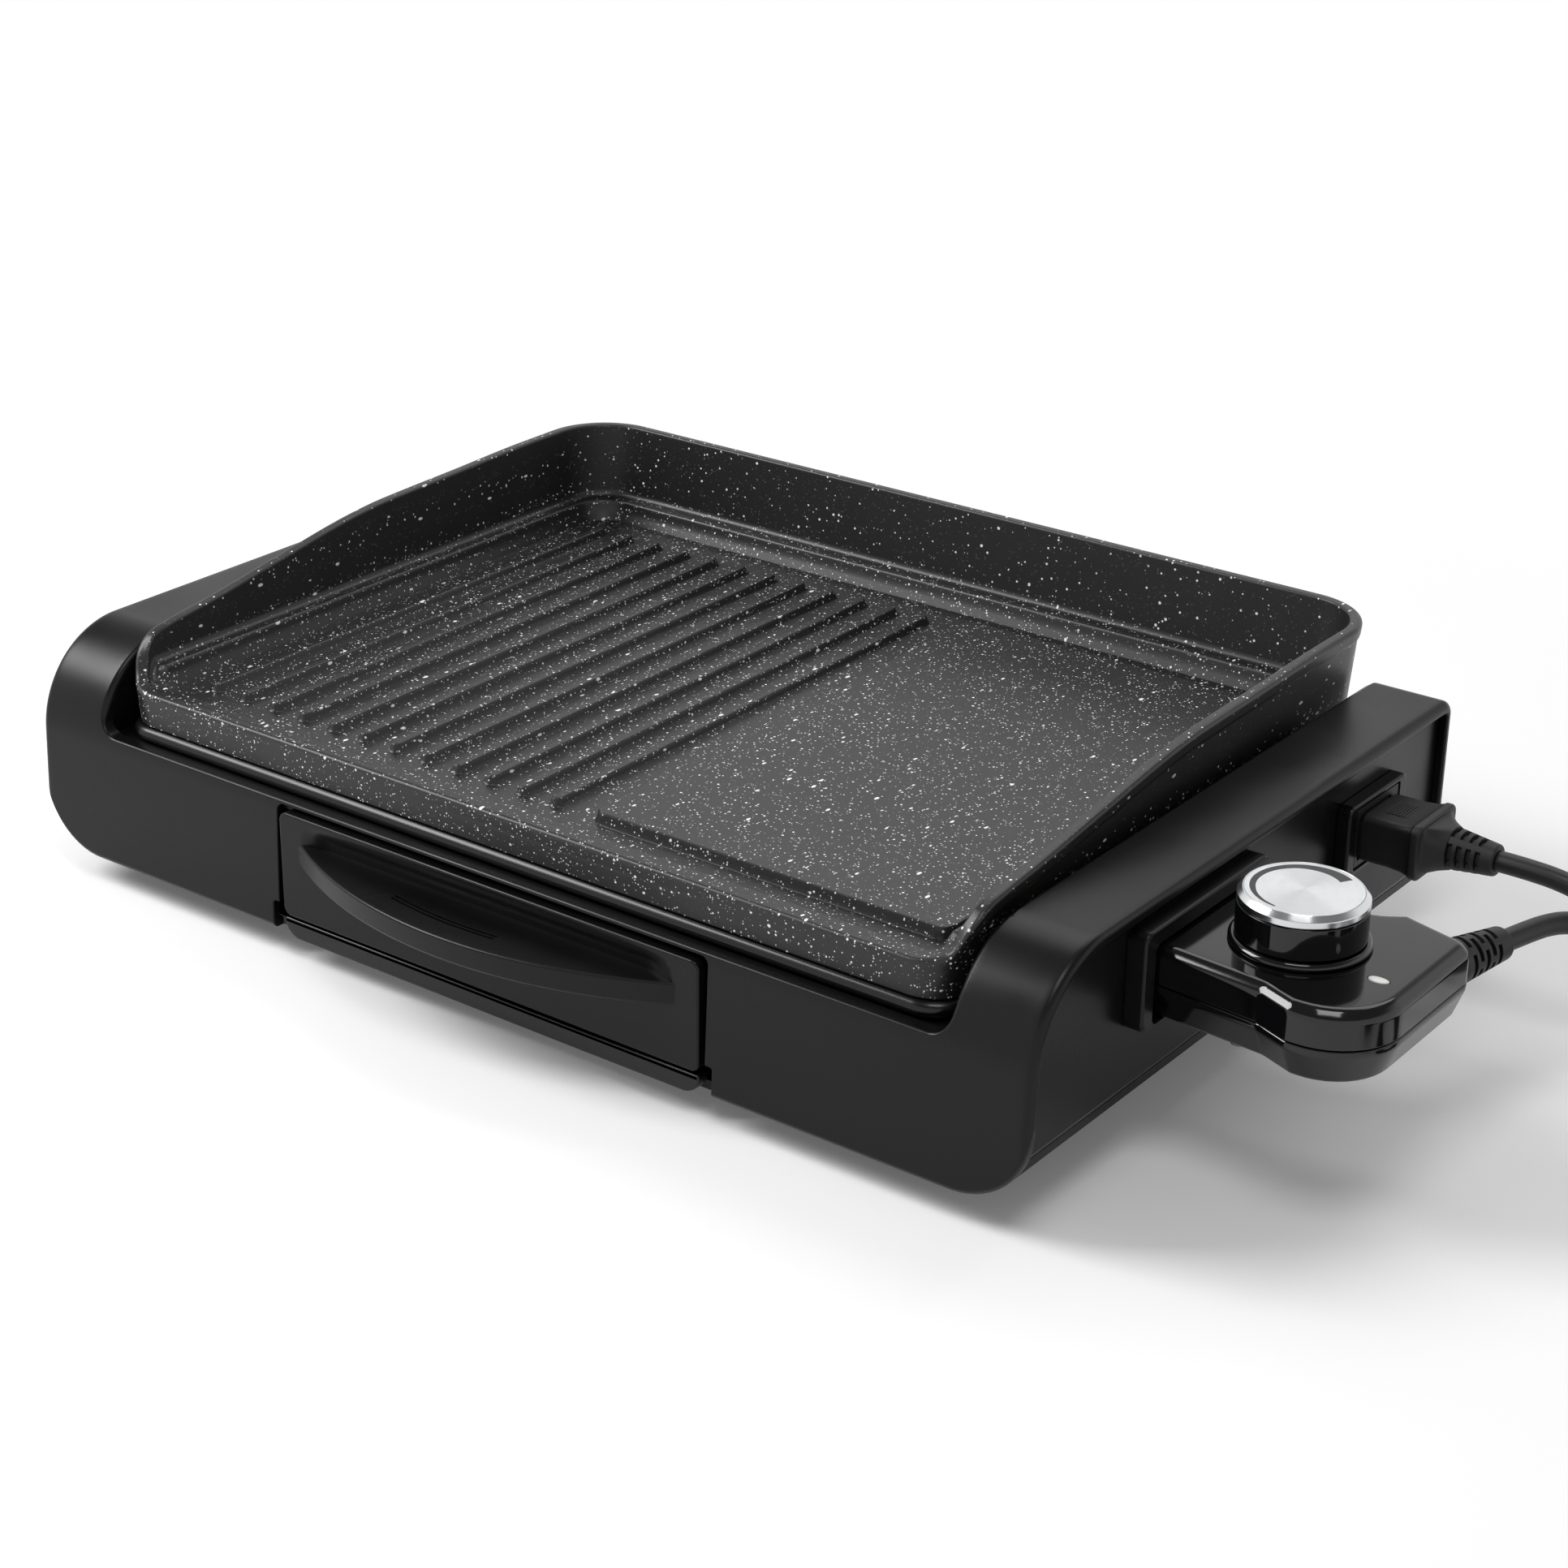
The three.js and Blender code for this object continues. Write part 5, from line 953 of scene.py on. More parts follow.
class Finishes:
    """All finishes of the plancha, each made once."""

    def __init__(self) -> None:
        """Makes the materials."""
        kinds = [
            # Glass-filled polyester moulded on a fine sparked tool: soft wide highlights
            Finish("satin_polyester", "#0d0d0e", 0.30, Slot.HOUSING, specular=0.22),
            # Polished phenolic: deep black with sharp reflections
            Finish(
                "polished_phenolic", "#08080a", 0.09, Slot.GLOSS, mottle=0.02, grain_mm=6.0,
                grain_depth_mm=0.004,
            ),
            # Vitreous enamel on pressed steel: a soft gloss with a slight orange peel
            Finish(
                "vitreous_enamel", "#0b0b0d", 0.26, Slot.ENAMEL, mottle=0.03, grain_mm=3.0,
                grain_depth_mm=0.01, specular=0.3, coat=0.08,
            ),
            # Cast aluminium under a sprayed stone-effect non-stick coat: eggshell sheen, pale specks
            StoneCoat(
                "stone_nonstick", "#19191a", 0.38, Slot.PLATE, grain_mm=0.6, grain_depth_mm=0.02,
                specular=0.45,
            ),
            # Spun aluminium: bright fans that turn with the light
            SpunMetal(
                "spun_aluminium", "#dbdcde", 0.24, Slot.KNOB, metallic=1.0, mottle=0.05,
                grain_depth_mm=0.002,
            ),
            # Aluminium cut with a polished edge: near mirror
            Finish(
                "polished_aluminium", "#d6d7d9", 0.2, Slot.KNOB, metallic=1.0, mottle=0.03,
                grain_depth_mm=0.001, colour_change=0.02,
            ),
            # Pad-printed ink on the knob: flat dark grey
            Finish("printed_ink", "#2b2b2d", 0.55, Slot.KNOB, grain_depth_mm=0.002),
            # Zinc-plated steel sheet: grey with a soft shine
            Finish(
                "plated_steel", "#b9babc", 0.32, Slot.STEEL, metallic=1.0, grain_mm=0.5,
                grain_depth_mm=0.003, colour_change=0.05,
            ),
            # Heating tube in nickel alloy: darkened by heat, satin
            Finish(
                "heated_alloy", "#6e6a66", 0.45, Slot.STEEL, metallic=1.0, grain_mm=0.4,
                grain_depth_mm=0.004,
            ),
            # Brass blades and sleeves: yellow, drawn
            Finish(
                "drawn_brass", "#c9a75c", 0.28, Slot.BRASS, metallic=1.0, grain_depth_mm=0.002,
                colour_change=0.06,
            ),
            # Steatite block: off-white, unglazed
            Finish("steatite", "#ded8cc", 0.7, Slot.CERAMIC, grain_mm=0.8),
            # Moulded PVC grips: black, matt with fine spark texture
            Finish(
                "moulded_pvc", "#121213", 0.5, Slot.RUBBER, grain_mm=0.4, grain_depth_mm=0.015,
                specular=0.4,
            ),
            # Extruded PVC sheath: black, slightly waxy
            Finish(
                "extruded_pvc", "#101011", 0.42, Slot.SHEATH, grain_mm=0.7, grain_depth_mm=0.01,
                specular=0.45,
            ),
            # Pale translucent polycarbonate over the lamp
            Finish("lamp_lens", "#dcdcd8", 0.15, Slot.LENS, ior=1.58, grain_depth_mm=0.001),
        ]
        self.kinds = {kind.name: kind for kind in kinds}
        self.made = {kind.name: kind.dress() for kind in kinds}

    def give(self, piece: bpy.types.Object, name: str) -> None:
        """Gives a new piece a finish.

        Args:
            piece: The piece.
            name: Name of the finish.
        """
        piece.data.materials.clear()
        piece.data.materials.append(self.made[name])

    def give_node(self, node: str, name: str) -> None:
        """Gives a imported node's object a finish in its own material slots.

        Args:
            node: The node's name.
            name: Name of the finish.
        """
        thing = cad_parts[node]
        if not thing.material_slots:
            thing.data.materials.append(self.made[name])
        for place in thing.material_slots:
            place.link = "OBJECT"
            place.material = self.made[name]


@dataclass
class Assembly:
    """A sub-assembly: what all of them share."""

    finishes: Finishes

    def hand_over(
        self, piece: bpy.types.Object, body: Body, finish: str, nodes: tuple[str, ...] = ()
    ) -> bpy.types.Object:
        """Gives a piece its finish and its body, and hides the nodes that it stands for.

        Args:
            piece: The piece.
            body: What it rides on.
            finish: Name of its finish.
            nodes: Names of the nodes that it replaces.

        Returns:
            The same piece.
        """
        self.finishes.give(piece, finish)
        if piece.type == "MESH":
            normals = piece.modifiers.new("normals", "WEIGHTED_NORMAL")
            normals.keep_sharp = True
            normals.weight = 100
            shaped(piece, None)
        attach(piece, body.value)
        if nodes:
            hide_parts(*nodes)
        LOG.info("%s: %d faces on %s", piece.name, faces_of(piece), body.value)
        return piece

    def refined(
        self, node: str, body: Body, finish: str, edge_mm: float
    ) -> bpy.types.Object:
        """Makes a finer copy of a node: its loose triangles merged, its sharp edges rounded.

        Args:
            node: The node's name.
            body: What it rides on.
            finish: Name of its finish.
            edge_mm: Radius on its sharp edges.

        Returns:
            The copy, which replaces the node.
        """
        name = f"{node}_finished"
        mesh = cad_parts[node].data.copy()
        mesh.name = name
        work = bmesh.new()
        work.from_mesh(mesh)
        bmesh.ops.remove_doubles(work, verts=work.verts, dist=NODE_WELD)
        bmesh.ops.dissolve_limit(
            work, angle_limit=math.radians(FLAT_ANGLE), verts=work.verts, edges=work.edges
        )
        work.to_mesh(mesh)
        work.free()
        piece = bpy.data.objects.new(name, mesh)
        bpy.context.collection.objects.link(piece)
        rounding = piece.modifiers.new("edges", "BEVEL")
        rounding.width = edge_mm * MM
        rounding.segments = 2
        rounding.limit_method = "ANGLE"
        rounding.angle_limit = math.radians(SOFT_SHARP)
        rounding.use_clamp_overlap = True
        shaped(piece, SOFT_SHARP)
        return self.hand_over(piece, body, finish, (node,))

    def relief(
        self, node: str, start: tuple[float, float, float], way: tuple[float, float, float],
        length: float, rows: int, stagger: float,
    ) -> bpy.types.Object:
        """Makes a strain relief: a taper with rows of four slots round it.

        Its radius falls straight from root to tip, less the slots' depth where both the place along
        and the angle lie in a slot.

        Args:
            node: The node that it replaces.
            start: Middle of its root.
            way: Its direction.
            length: Its length without the neck.
            rows: How many rows of slots it has.
            stagger: How far each row is turned from the last, in radians.

        Returns:
            The strain relief.
        """
        first, pitch, half_width, wall, depth = 4.6, 3.3, 0.8, 0.12, 1.7
        root, narrowing, sides = 8, 2.4, 144
        half_slot, slope = math.radians(34), math.radians(3)
        middles = first + pitch * np.arange(rows)
        edges = np.array([-half_width - wall, -half_width, half_width, half_width + wall])
        slot_heights = (middles[:, None] + edges).ravel()
        tip = np.array([length - 0.9, length - 0.4, length - 0.1, length, length])
        heights = np.concatenate([[-5, -5, 0, 0, 0.1, 0.5], slot_heights, tip])
        radius = root - narrowing * np.clip(heights, 0, length) / length
        radius[:6] = (0, 6, 6, 7.4, 7.75, 7.95)
        radius[-4:] -= (0.15, 0.45, 0.9, radius[-1])
        inside = np.tile([0.0, 1.0, 1.0, 0.0], rows)
        inside = np.concatenate([np.zeros(6), inside, np.zeros(5)])
        turn = np.concatenate([np.zeros(6), np.repeat(np.arange(rows), 4) * stagger, np.zeros(5)])
        angles = np.arange(sides) * FULL_TURN / sides
        quarter = QUARTER_TURN
        aside = np.abs((angles[None] - turn[:, None] + quarter / 2) % quarter - quarter / 2)
        slot = np.clip((half_slot - aside) / slope, 0, 1) * inside[:, None]
        reach = (radius[:, None] - depth * slot)[..., None]
        along = np.array(way)
        side = np.cross(along, (0.0, 0.0, 1.0))
        spokes = np.cos(angles)[:, None] * side + np.sin(angles)[:, None] * np.cross(along, side)
        points = np.array(start) + heights[:, None, None] * along + reach * spokes
        shell = Shell()
        shell.grid(points, wrap_columns=True)
        piece = shell.piece(f"{node}_finished", SOFT_SHARP)
        return self.hand_over(piece, Body.BASE, "moulded_pvc", (node,))


def faces_of(piece: bpy.types.Object) -> int:
    """Counts a mesh piece's faces; a curve has none yet."""
    return len(piece.data.polygons) if piece.type == "MESH" else 0


# The studio


@dataclass
class Studio:
    """Camera, soft lights, white table and surroundings that are white low down."""

    place: tuple[float, float, float] = (647.42, -839.73, 519.70)
    heading: float = 0.638786
    pitch: float = 0.420490
    roll: float = 0.0131756
    focal_px: float = 3868.74
    picture_px: float = 1932.0
    sensor_mm: float = 36.0
    even_light: float = 0.27
    white_below: float = 0.42
    dim_above: float = 0.66
    ceiling: float = 0.22
    table_reach: float = 9.0
    shadow_reach: float = 0.26
    white_from: float = 0.62
    shadow_share: float = 0.1

    def camera(self) -> None:
        """Sets the camera up where the picture was taken."""
        a, e = self.heading, self.pitch
        back = np.array([math.sin(a) * math.cos(e), -math.cos(a) * math.cos(e), math.sin(e)])
        right = np.array([math.cos(a), math.sin(a), 0.0])
        up = np.cross(back, right)
        across = math.cos(self.roll) * right + math.sin(self.roll) * up
        upward = -math.sin(self.roll) * right + math.cos(self.roll) * up
        lens = bpy.data.cameras.new("camera")
        lens.sensor_width = self.sensor_mm
        lens.lens = self.focal_px * self.sensor_mm / self.picture_px
        lens.clip_start, lens.clip_end = 0.05, 40.0
        camera = bpy.data.objects.new("camera", lens)
        bpy.context.collection.objects.link(camera)
        turn = Matrix([[*row] for row in np.stack([across, upward, back], -1)]).to_4x4()
        camera.matrix_world = Matrix.Translation(Vector(in_frame(np.array(self.place)))) @ turn
        bpy.context.scene.camera = camera

    def lamp(
        self, name: str, place: tuple[float, float, float], aim: tuple[float, float, float],
        size: tuple[float, float], power: float,
    ) -> None:
        """Hangs a soft box.

        Args:
            name: The lamp's name.
            place: Where it hangs, in metres from the base's middle.
            aim: What it points at, in metres.
            size: Its width and height in metres.
            power: Its power in watts.
        """
        light = bpy.data.lights.new(name, "AREA")
        light.shape = "RECTANGLE"
        light.size, light.size_y = size
        light.energy = power
        lamp = bpy.data.objects.new(name, light)
        bpy.context.collection.objects.link(lamp)
        lamp.location = Vector(place) + Vector(HOME)
        way = Vector(aim) - Vector(place)
        lamp.rotation_mode = "QUATERNION"
        lamp.rotation_quaternion = way.to_track_quat("-Z", "Y")

    def background_share(self, tree: bpy.types.NodeTree) -> bpy.types.NodeSocket:
        """Gives 1 to rays that look: from the camera, off gloss and through glass.

        Args:
            tree: The tree that it goes in.

        Returns:
            1 for such rays and 0 for others.
        """
        path = add_node(tree, "ShaderNodeLightPath")
        gloss = add_node(tree, "ShaderNodeMath", {"operation": "MAXIMUM"}, {
            0: path.outputs["Is Camera Ray"], 1: path.outputs["Is Glossy Ray"],
        })
        return add_node(tree, "ShaderNodeMath", {"operation": "MAXIMUM"}, {
            0: gloss.outputs[0], 1: path.outputs["Is Transmission Ray"],
        }).outputs[0]

    def sky(self, tree: bpy.types.NodeTree) -> bpy.types.NodeSocket:
        """Gives the brightness that looking rays meet: white low down, a dim ceiling above.

        In a world, Object coordinates are the ray's direction.

        Args:
            tree: The world's tree.

        Returns:
            The brightness.
        """
        way = add_node(tree, "ShaderNodeTexCoord").outputs["Object"]
        height = add_node(tree, "ShaderNodeSeparateXYZ", inputs={"Vector": way}).outputs["Z"]
        rise = add_node(tree, "ShaderNodeMath", {"operation": "ABSOLUTE"}, {0: height})
        return add_node(tree, "ShaderNodeMapRange", {"interpolation_type": "SMOOTHSTEP"}, {
            "Value": rise.outputs[0], "From Min": self.white_below, "From Max": self.dim_above,
            "To Min": 1.0, "To Max": self.ceiling,
        }).outputs["Result"]

    def surroundings(self) -> None:
        """Makes the world: even light, and the sky's brightness to rays that look."""
        world = bpy.data.worlds.new("studio")
        bpy.context.scene.world = world
        world.use_nodes = True
        tree = world.node_tree
        tree.nodes.clear()
        looks = self.background_share(tree)
        strength = add_node(tree, "ShaderNodeMapRange", inputs={
            "Value": looks, "To Min": self.even_light, "To Max": self.sky(tree),
        })
        glow = add_node(tree, "ShaderNodeBackground", inputs={
            "Color": (1.0, 1.0, 1.0, 1.0), "Strength": strength.outputs["Result"],
        })
        add_node(tree, "ShaderNodeOutputWorld", inputs={"Surface": glow.outputs[0]})

    def table(self) -> None:
        """Lays the white table: a disc that keeps the shadows near the object."""
        rim = arc_points((0.0, 0.0), self.table_reach / MM, 0.0, FULL_TURN, 96)[:-1]
        shell = Shell()
        ring = shell.grid(np.concatenate([rim, np.zeros((len(rim), 1))], 1)[None])
        shell.cap(ring[0])
        top = shell.piece("table")
        made = bpy.data.materials.new("white_table")
        made.use_nodes = True
        tree = made.node_tree
        tree.nodes.clear()
        where = add_node(tree, "ShaderNodeTexCoord").outputs["Object"]
        near = add_node(tree, "ShaderNodeVectorMath", {"operation": "LENGTH"}, {0: where})
        share = add_node(tree, "ShaderNodeMapRange", {"interpolation_type": "SMOOTHSTEP"}, {
            "Value": near.outputs["Value"], "From Min": self.shadow_reach,
            "From Max": self.white_from, "To Min": self.shadow_share, "To Max": 1.0,
        })
        looked = add_node(tree, "ShaderNodeMath", {"operation": "MULTIPLY"}, {
            0: share.outputs["Result"], 1: self.background_share(tree),
        })
        matt = add_node(tree, "ShaderNodeBsdfDiffuse", inputs={"Color": linear("#fdfdfd")})
        white = add_node(tree, "ShaderNodeEmission", inputs={"Color": (1.0, 1.0, 1.0, 1.0)})
        mixed = add_node(tree, "ShaderNodeMixShader", inputs={
            0: looked.outputs[0], 1: matt.outputs[0], 2: white.outputs[0],
        })
        add_node(tree, "ShaderNodeOutputMaterial", inputs={"Surface": mixed.outputs[0]})
        top.data.materials.append(made)

    def build(self) -> None:
        """Sets up the whole studio."""
        self.camera()
        self.surroundings()
        self.table()
        self.lamp("key_box", (-1.0, -0.64, 1.1), (0.0, 0.0, 0.05), (0.7, 0.7), 20.0)
        self.lamp("top_box", (0.42, -0.42, 1.2), (0.26, -0.04, 0.07), (0.5, 0.42), 4.0)
        self.lamp("rear_box", (-0.15, 0.75, 1.2), (0.0, 0.0, 0.05), (1.3, 0.7), 6.0)
        bpy.context.scene.view_settings.view_transform = "Standard"


# The griddle plate


WALL_PLACES = np.array([
    0, 0.018, 0.036, 0.065, 0.096, 0.17, 0.31, 0.455, 0.522, 0.675, 0.838, 1,
])
WALL_HEIGHTS = np.array([
    0, 0.056, 0.28, 0.44, 0.487, 0.56, 0.727, 0.89, 0.932, 0.963, 0.997, 1,
])


@dataclass
class GriddlePlate(Assembly):
    """The cast plate: a wall that rises to the back, twelve ribs on the left and a flat zone."""

    half: float = 184.0
    front: float = -129.5
    rear: float = 142.5
    front_round: float = 16.0
    rear_round: float = 24.0
    under: float = 66.3
    front_top: float = 80.0
    rear_top: float = 115.5
    flare: float = 0.075
    wall: float = 4.6
    floor_top: float = 77.0
    floor_under: float = 72.0
    slab_inset: float = 10.9
    ribs: int = 12
    rib_pitch: float = 14.9
    first_rib: float = -157.0
    rib_ends: tuple[float, float] = (-109.4, 115.0)
    rib_half: float = 3.3
    rib_height: float = 3.0
    zone_low: tuple[float, float] = (24.0, -110.5)
    zone_high: tuple[float, float] = (170.0, 118.0)
    zone_round: float = 6.0
    zone_rise: float = 4.0
    zone_draft: float = 1.5
    rod_place: tuple[float, float] = (-42.0, 68.5)
    notch_half: float = 21.0
    bead_drop: float = 6.0
    drain_low: tuple[float, float] = (146.0, 118.3)
    drain_high: tuple[float, float] = (166.0, 123.1)
    drain_round: float = 2.39
    bore_radius: float = 2.8
    corner_points: int = 17
    side_points: int = 60

    def stations(self) -> tuple[np.ndarray, np.ndarray, np.ndarray]:
        """Works out where the wall's sections stand.

        Returns:
            Each section's base point, its direction outwards, and the skirt's distance from the base.
        """
        quarter = QUARTER_TURN
        a, b, x = self.front_round, self.rear_round, self.half
        corners = np.array([
            [x - a, self.front + a, a, -quarter], [x - b, self.rear - b, b, 0],
            [b - x, self.rear - b, b, quarter], [a - x, self.front + a, a, 2 * quarter],
        ])
        after = np.roll(corners, -1, axis=0)
        turn = np.linspace(0.0, 1.0, self.corner_points)
        straight = np.linspace(0.0, 1.0, self.side_points + 2)[1:-1]
        share = np.concatenate([np.zeros(self.corner_points), straight])[:, None]
        swung = np.concatenate([turn, np.ones(self.side_points)]) * quarter
        reach_of = corners[:, None, :3] * (1 - share) + after[:, None, :3] * share
        angles = corners[:, None, 3] + swung
        ways = np.stack([np.cos(angles), np.sin(angles)], -1)
        return reach_of[..., :2].reshape(-1, 2), ways.reshape(-1, 2), reach_of[..., 2].reshape(-1)

    def ring(self) -> bpy.types.Object:
        """Makes the wall and its foot: one profile of inset and height, carried round the plate.

        Returns:
            The wall.
        """
        bases, ways, reaches = self.stations()
        share = (bases[:, 1] + reaches * ways[:, 1] - self.front) / (self.rear - self.front)
        rise = eased_through(WALL_PLACES, WALL_HEIGHTS, share)
        top = self.front_top + rise * (self.rear_top - self.front_top)
        bead = top - self.bead_drop
        ledge = self.floor_top + np.minimum(8.0, (top - self.floor_top) / 2)
        step = 0.8 * smooth_step(2.5 * rise)
        out_bead, out_top, out_ledge = (
            self.flare * (z - self.under) for z in (bead, top, ledge)
        )
        start = self.wall + 0.8 - out_ledge
        end = start + 5.5
        pairs = [
            (step, self.under), (step - out_bead, bead), (-out_bead, bead + 0.8),
            (-out_top, top - 1), (1 - out_top, top), (self.wall - out_top, top), (start, ledge),
            (end, ledge), (end + 1, (ledge + self.floor_top) / 2), (end + 4, self.floor_top - 1.4),
            (end + 4, self.floor_under), (5.0, self.floor_under), (4.0, self.under),
        ]
        profile = np.stack([
            np.stack(np.broadcast_arrays(*pair, top)[:2], -1) for pair in pairs
        ], axis=1)
        reach = np.array([0.6, 0.4, 0.8, 0.9, 0.9, 1.0, 3.0, 1.2, 1.6, 2, 0.3, 0.3, 0.4])
        profile = softened(profile, reach)
        radius = np.maximum(reaches[:, None] - profile[..., 0], 0.4)
        flat = bases[:, None] + radius[..., None] * ways[:, None]
        shell = Shell()
        shell.grid(
            np.concatenate([flat, profile[..., 1:]], -1), wrap_rows=True, wrap_columns=True
        )
        return shell.piece("griddle_plate_finished", 50.0)

    def floor_height(self, x: np.ndarray, y: np.ndarray) -> np.ndarray:
        """Height of the floor: it eases up to each rib's line, and onto the flat zone.

        Args:
            x: Places across.
            y: Places along.

        Returns:
            The floor's height at each place.
        """
        rib = np.clip(np.round((x - self.first_rib) / self.rib_pitch), 0, self.ribs - 1)
        aside = x - self.first_rib - rib * self.rib_pitch
        low, high = self.rib_ends
        beyond = np.maximum(np.abs(y - (low + high) / 2) - ((high - low) / 2 - self.rib_half), 0.0)
        near = np.hypot(aside, beyond)
        rise = self.rib_height * (1 - smooth_step((near - 1.2) / (self.rib_half - 1.1)))
        middle = (np.add(self.zone_low, self.zone_high)) / 2
        half = np.subtract(self.zone_high, self.zone_low) / 2 - self.zone_round
        past = np.stack([np.abs(x - middle[0]) - half[0], np.abs(y - middle[1]) - half[1]], -1)
        off = np.linalg.norm(np.maximum(past, 0), axis=-1) + np.minimum(past.max(-1), 0)
        step = 1 - smooth_step((off - self.zone_round + self.zone_draft) / self.zone_draft)
        return self.floor_top + np.maximum(rise, self.zone_rise * step)

    def floor(self) -> bpy.types.Object:
        """Makes the floor: a grid with lines close together at the ribs and at the zone's edges.

        Returns:
            The floor, a closed slab.
        """
        x_end = self.half - self.slab_inset
        low, high = self.front + self.slab_inset, self.rear - self.slab_inset
        ribs = self.first_rib + self.rib_pitch * np.arange(self.ribs)
        offsets = np.array([0, 0.8, 1.3, 1.6, 1.9, 2.2, 2.5, 2.8, 3.1, 3.5])
        across = np.concatenate([
            (ribs[:, None] + np.concatenate([-offsets, offsets])).ravel(),
            np.arange(self.zone_low[0] - 0.4, self.zone_low[0] + 6, 0.4),
            np.arange(self.zone_high[0] - 6, self.zone_high[0] + 0.6, 0.4),
            np.linspace(-x_end, x_end, 26),
        ])
        along = np.concatenate([
            np.arange(self.zone_low[1] - 0.8, self.rib_ends[0] + 6, 0.4),
            np.arange(self.rib_ends[1] - 4, self.zone_high[1] + 0.8, 0.4),
            np.linspace(low, high, 18),
        ])
        x, y = np.meshgrid(np.unique(across.round(3)), np.unique(along.round(3)))
        shell = Shell()
        top = shell.grid(np.stack([x, y, self.floor_height(x, y)], -1))
        rim = np.concatenate([top[0, :-1], top[:-1, -1], top[-1, :0:-1], top[:0:-1, 0]])
        flat = np.stack([x, y, np.full_like(x, self.floor_under)], -1).reshape(-1, 3)
        low_rim = shell.grid(flat[rim][None])
        shell.strip(low_rim[0], rim)
        shell.cap(low_rim[0])
        return shell.piece("floor")

    def build(self) -> None:
        """Joins the wall, the floor and the heater's boss, and cuts the drain, the notch and the bore."""
        y, z = self.rod_place
        boss = prism(
            "boss", 0, rounded_box((y - 6.5, z - 6), (y + 6.5, z + 5), (2, 1, 1, 2), 6), 106, 160
        )
        piece = worked(self.ring(), [self.floor(), boss], Join.ADD)
        slot = rounded_box(self.drain_low, self.drain_high, (self.drain_round,) * 4, 8)
        tools = [
            prism("slot", 2, slot, self.floor_under - 5, self.floor_top + 9),
            block(
                "notch", (170.3, y - self.notch_half, 60), (190, y + self.notch_half, self.floor_under),
            ),
            rod("bore", (116, y, z), (162, y, z), self.bore_radius),
        ]
        worked(piece, tools, Join.CUT)
        self.hand_over(piece, Body.BASE, "stone_nonstick", ("griddle_plate",))


# The base


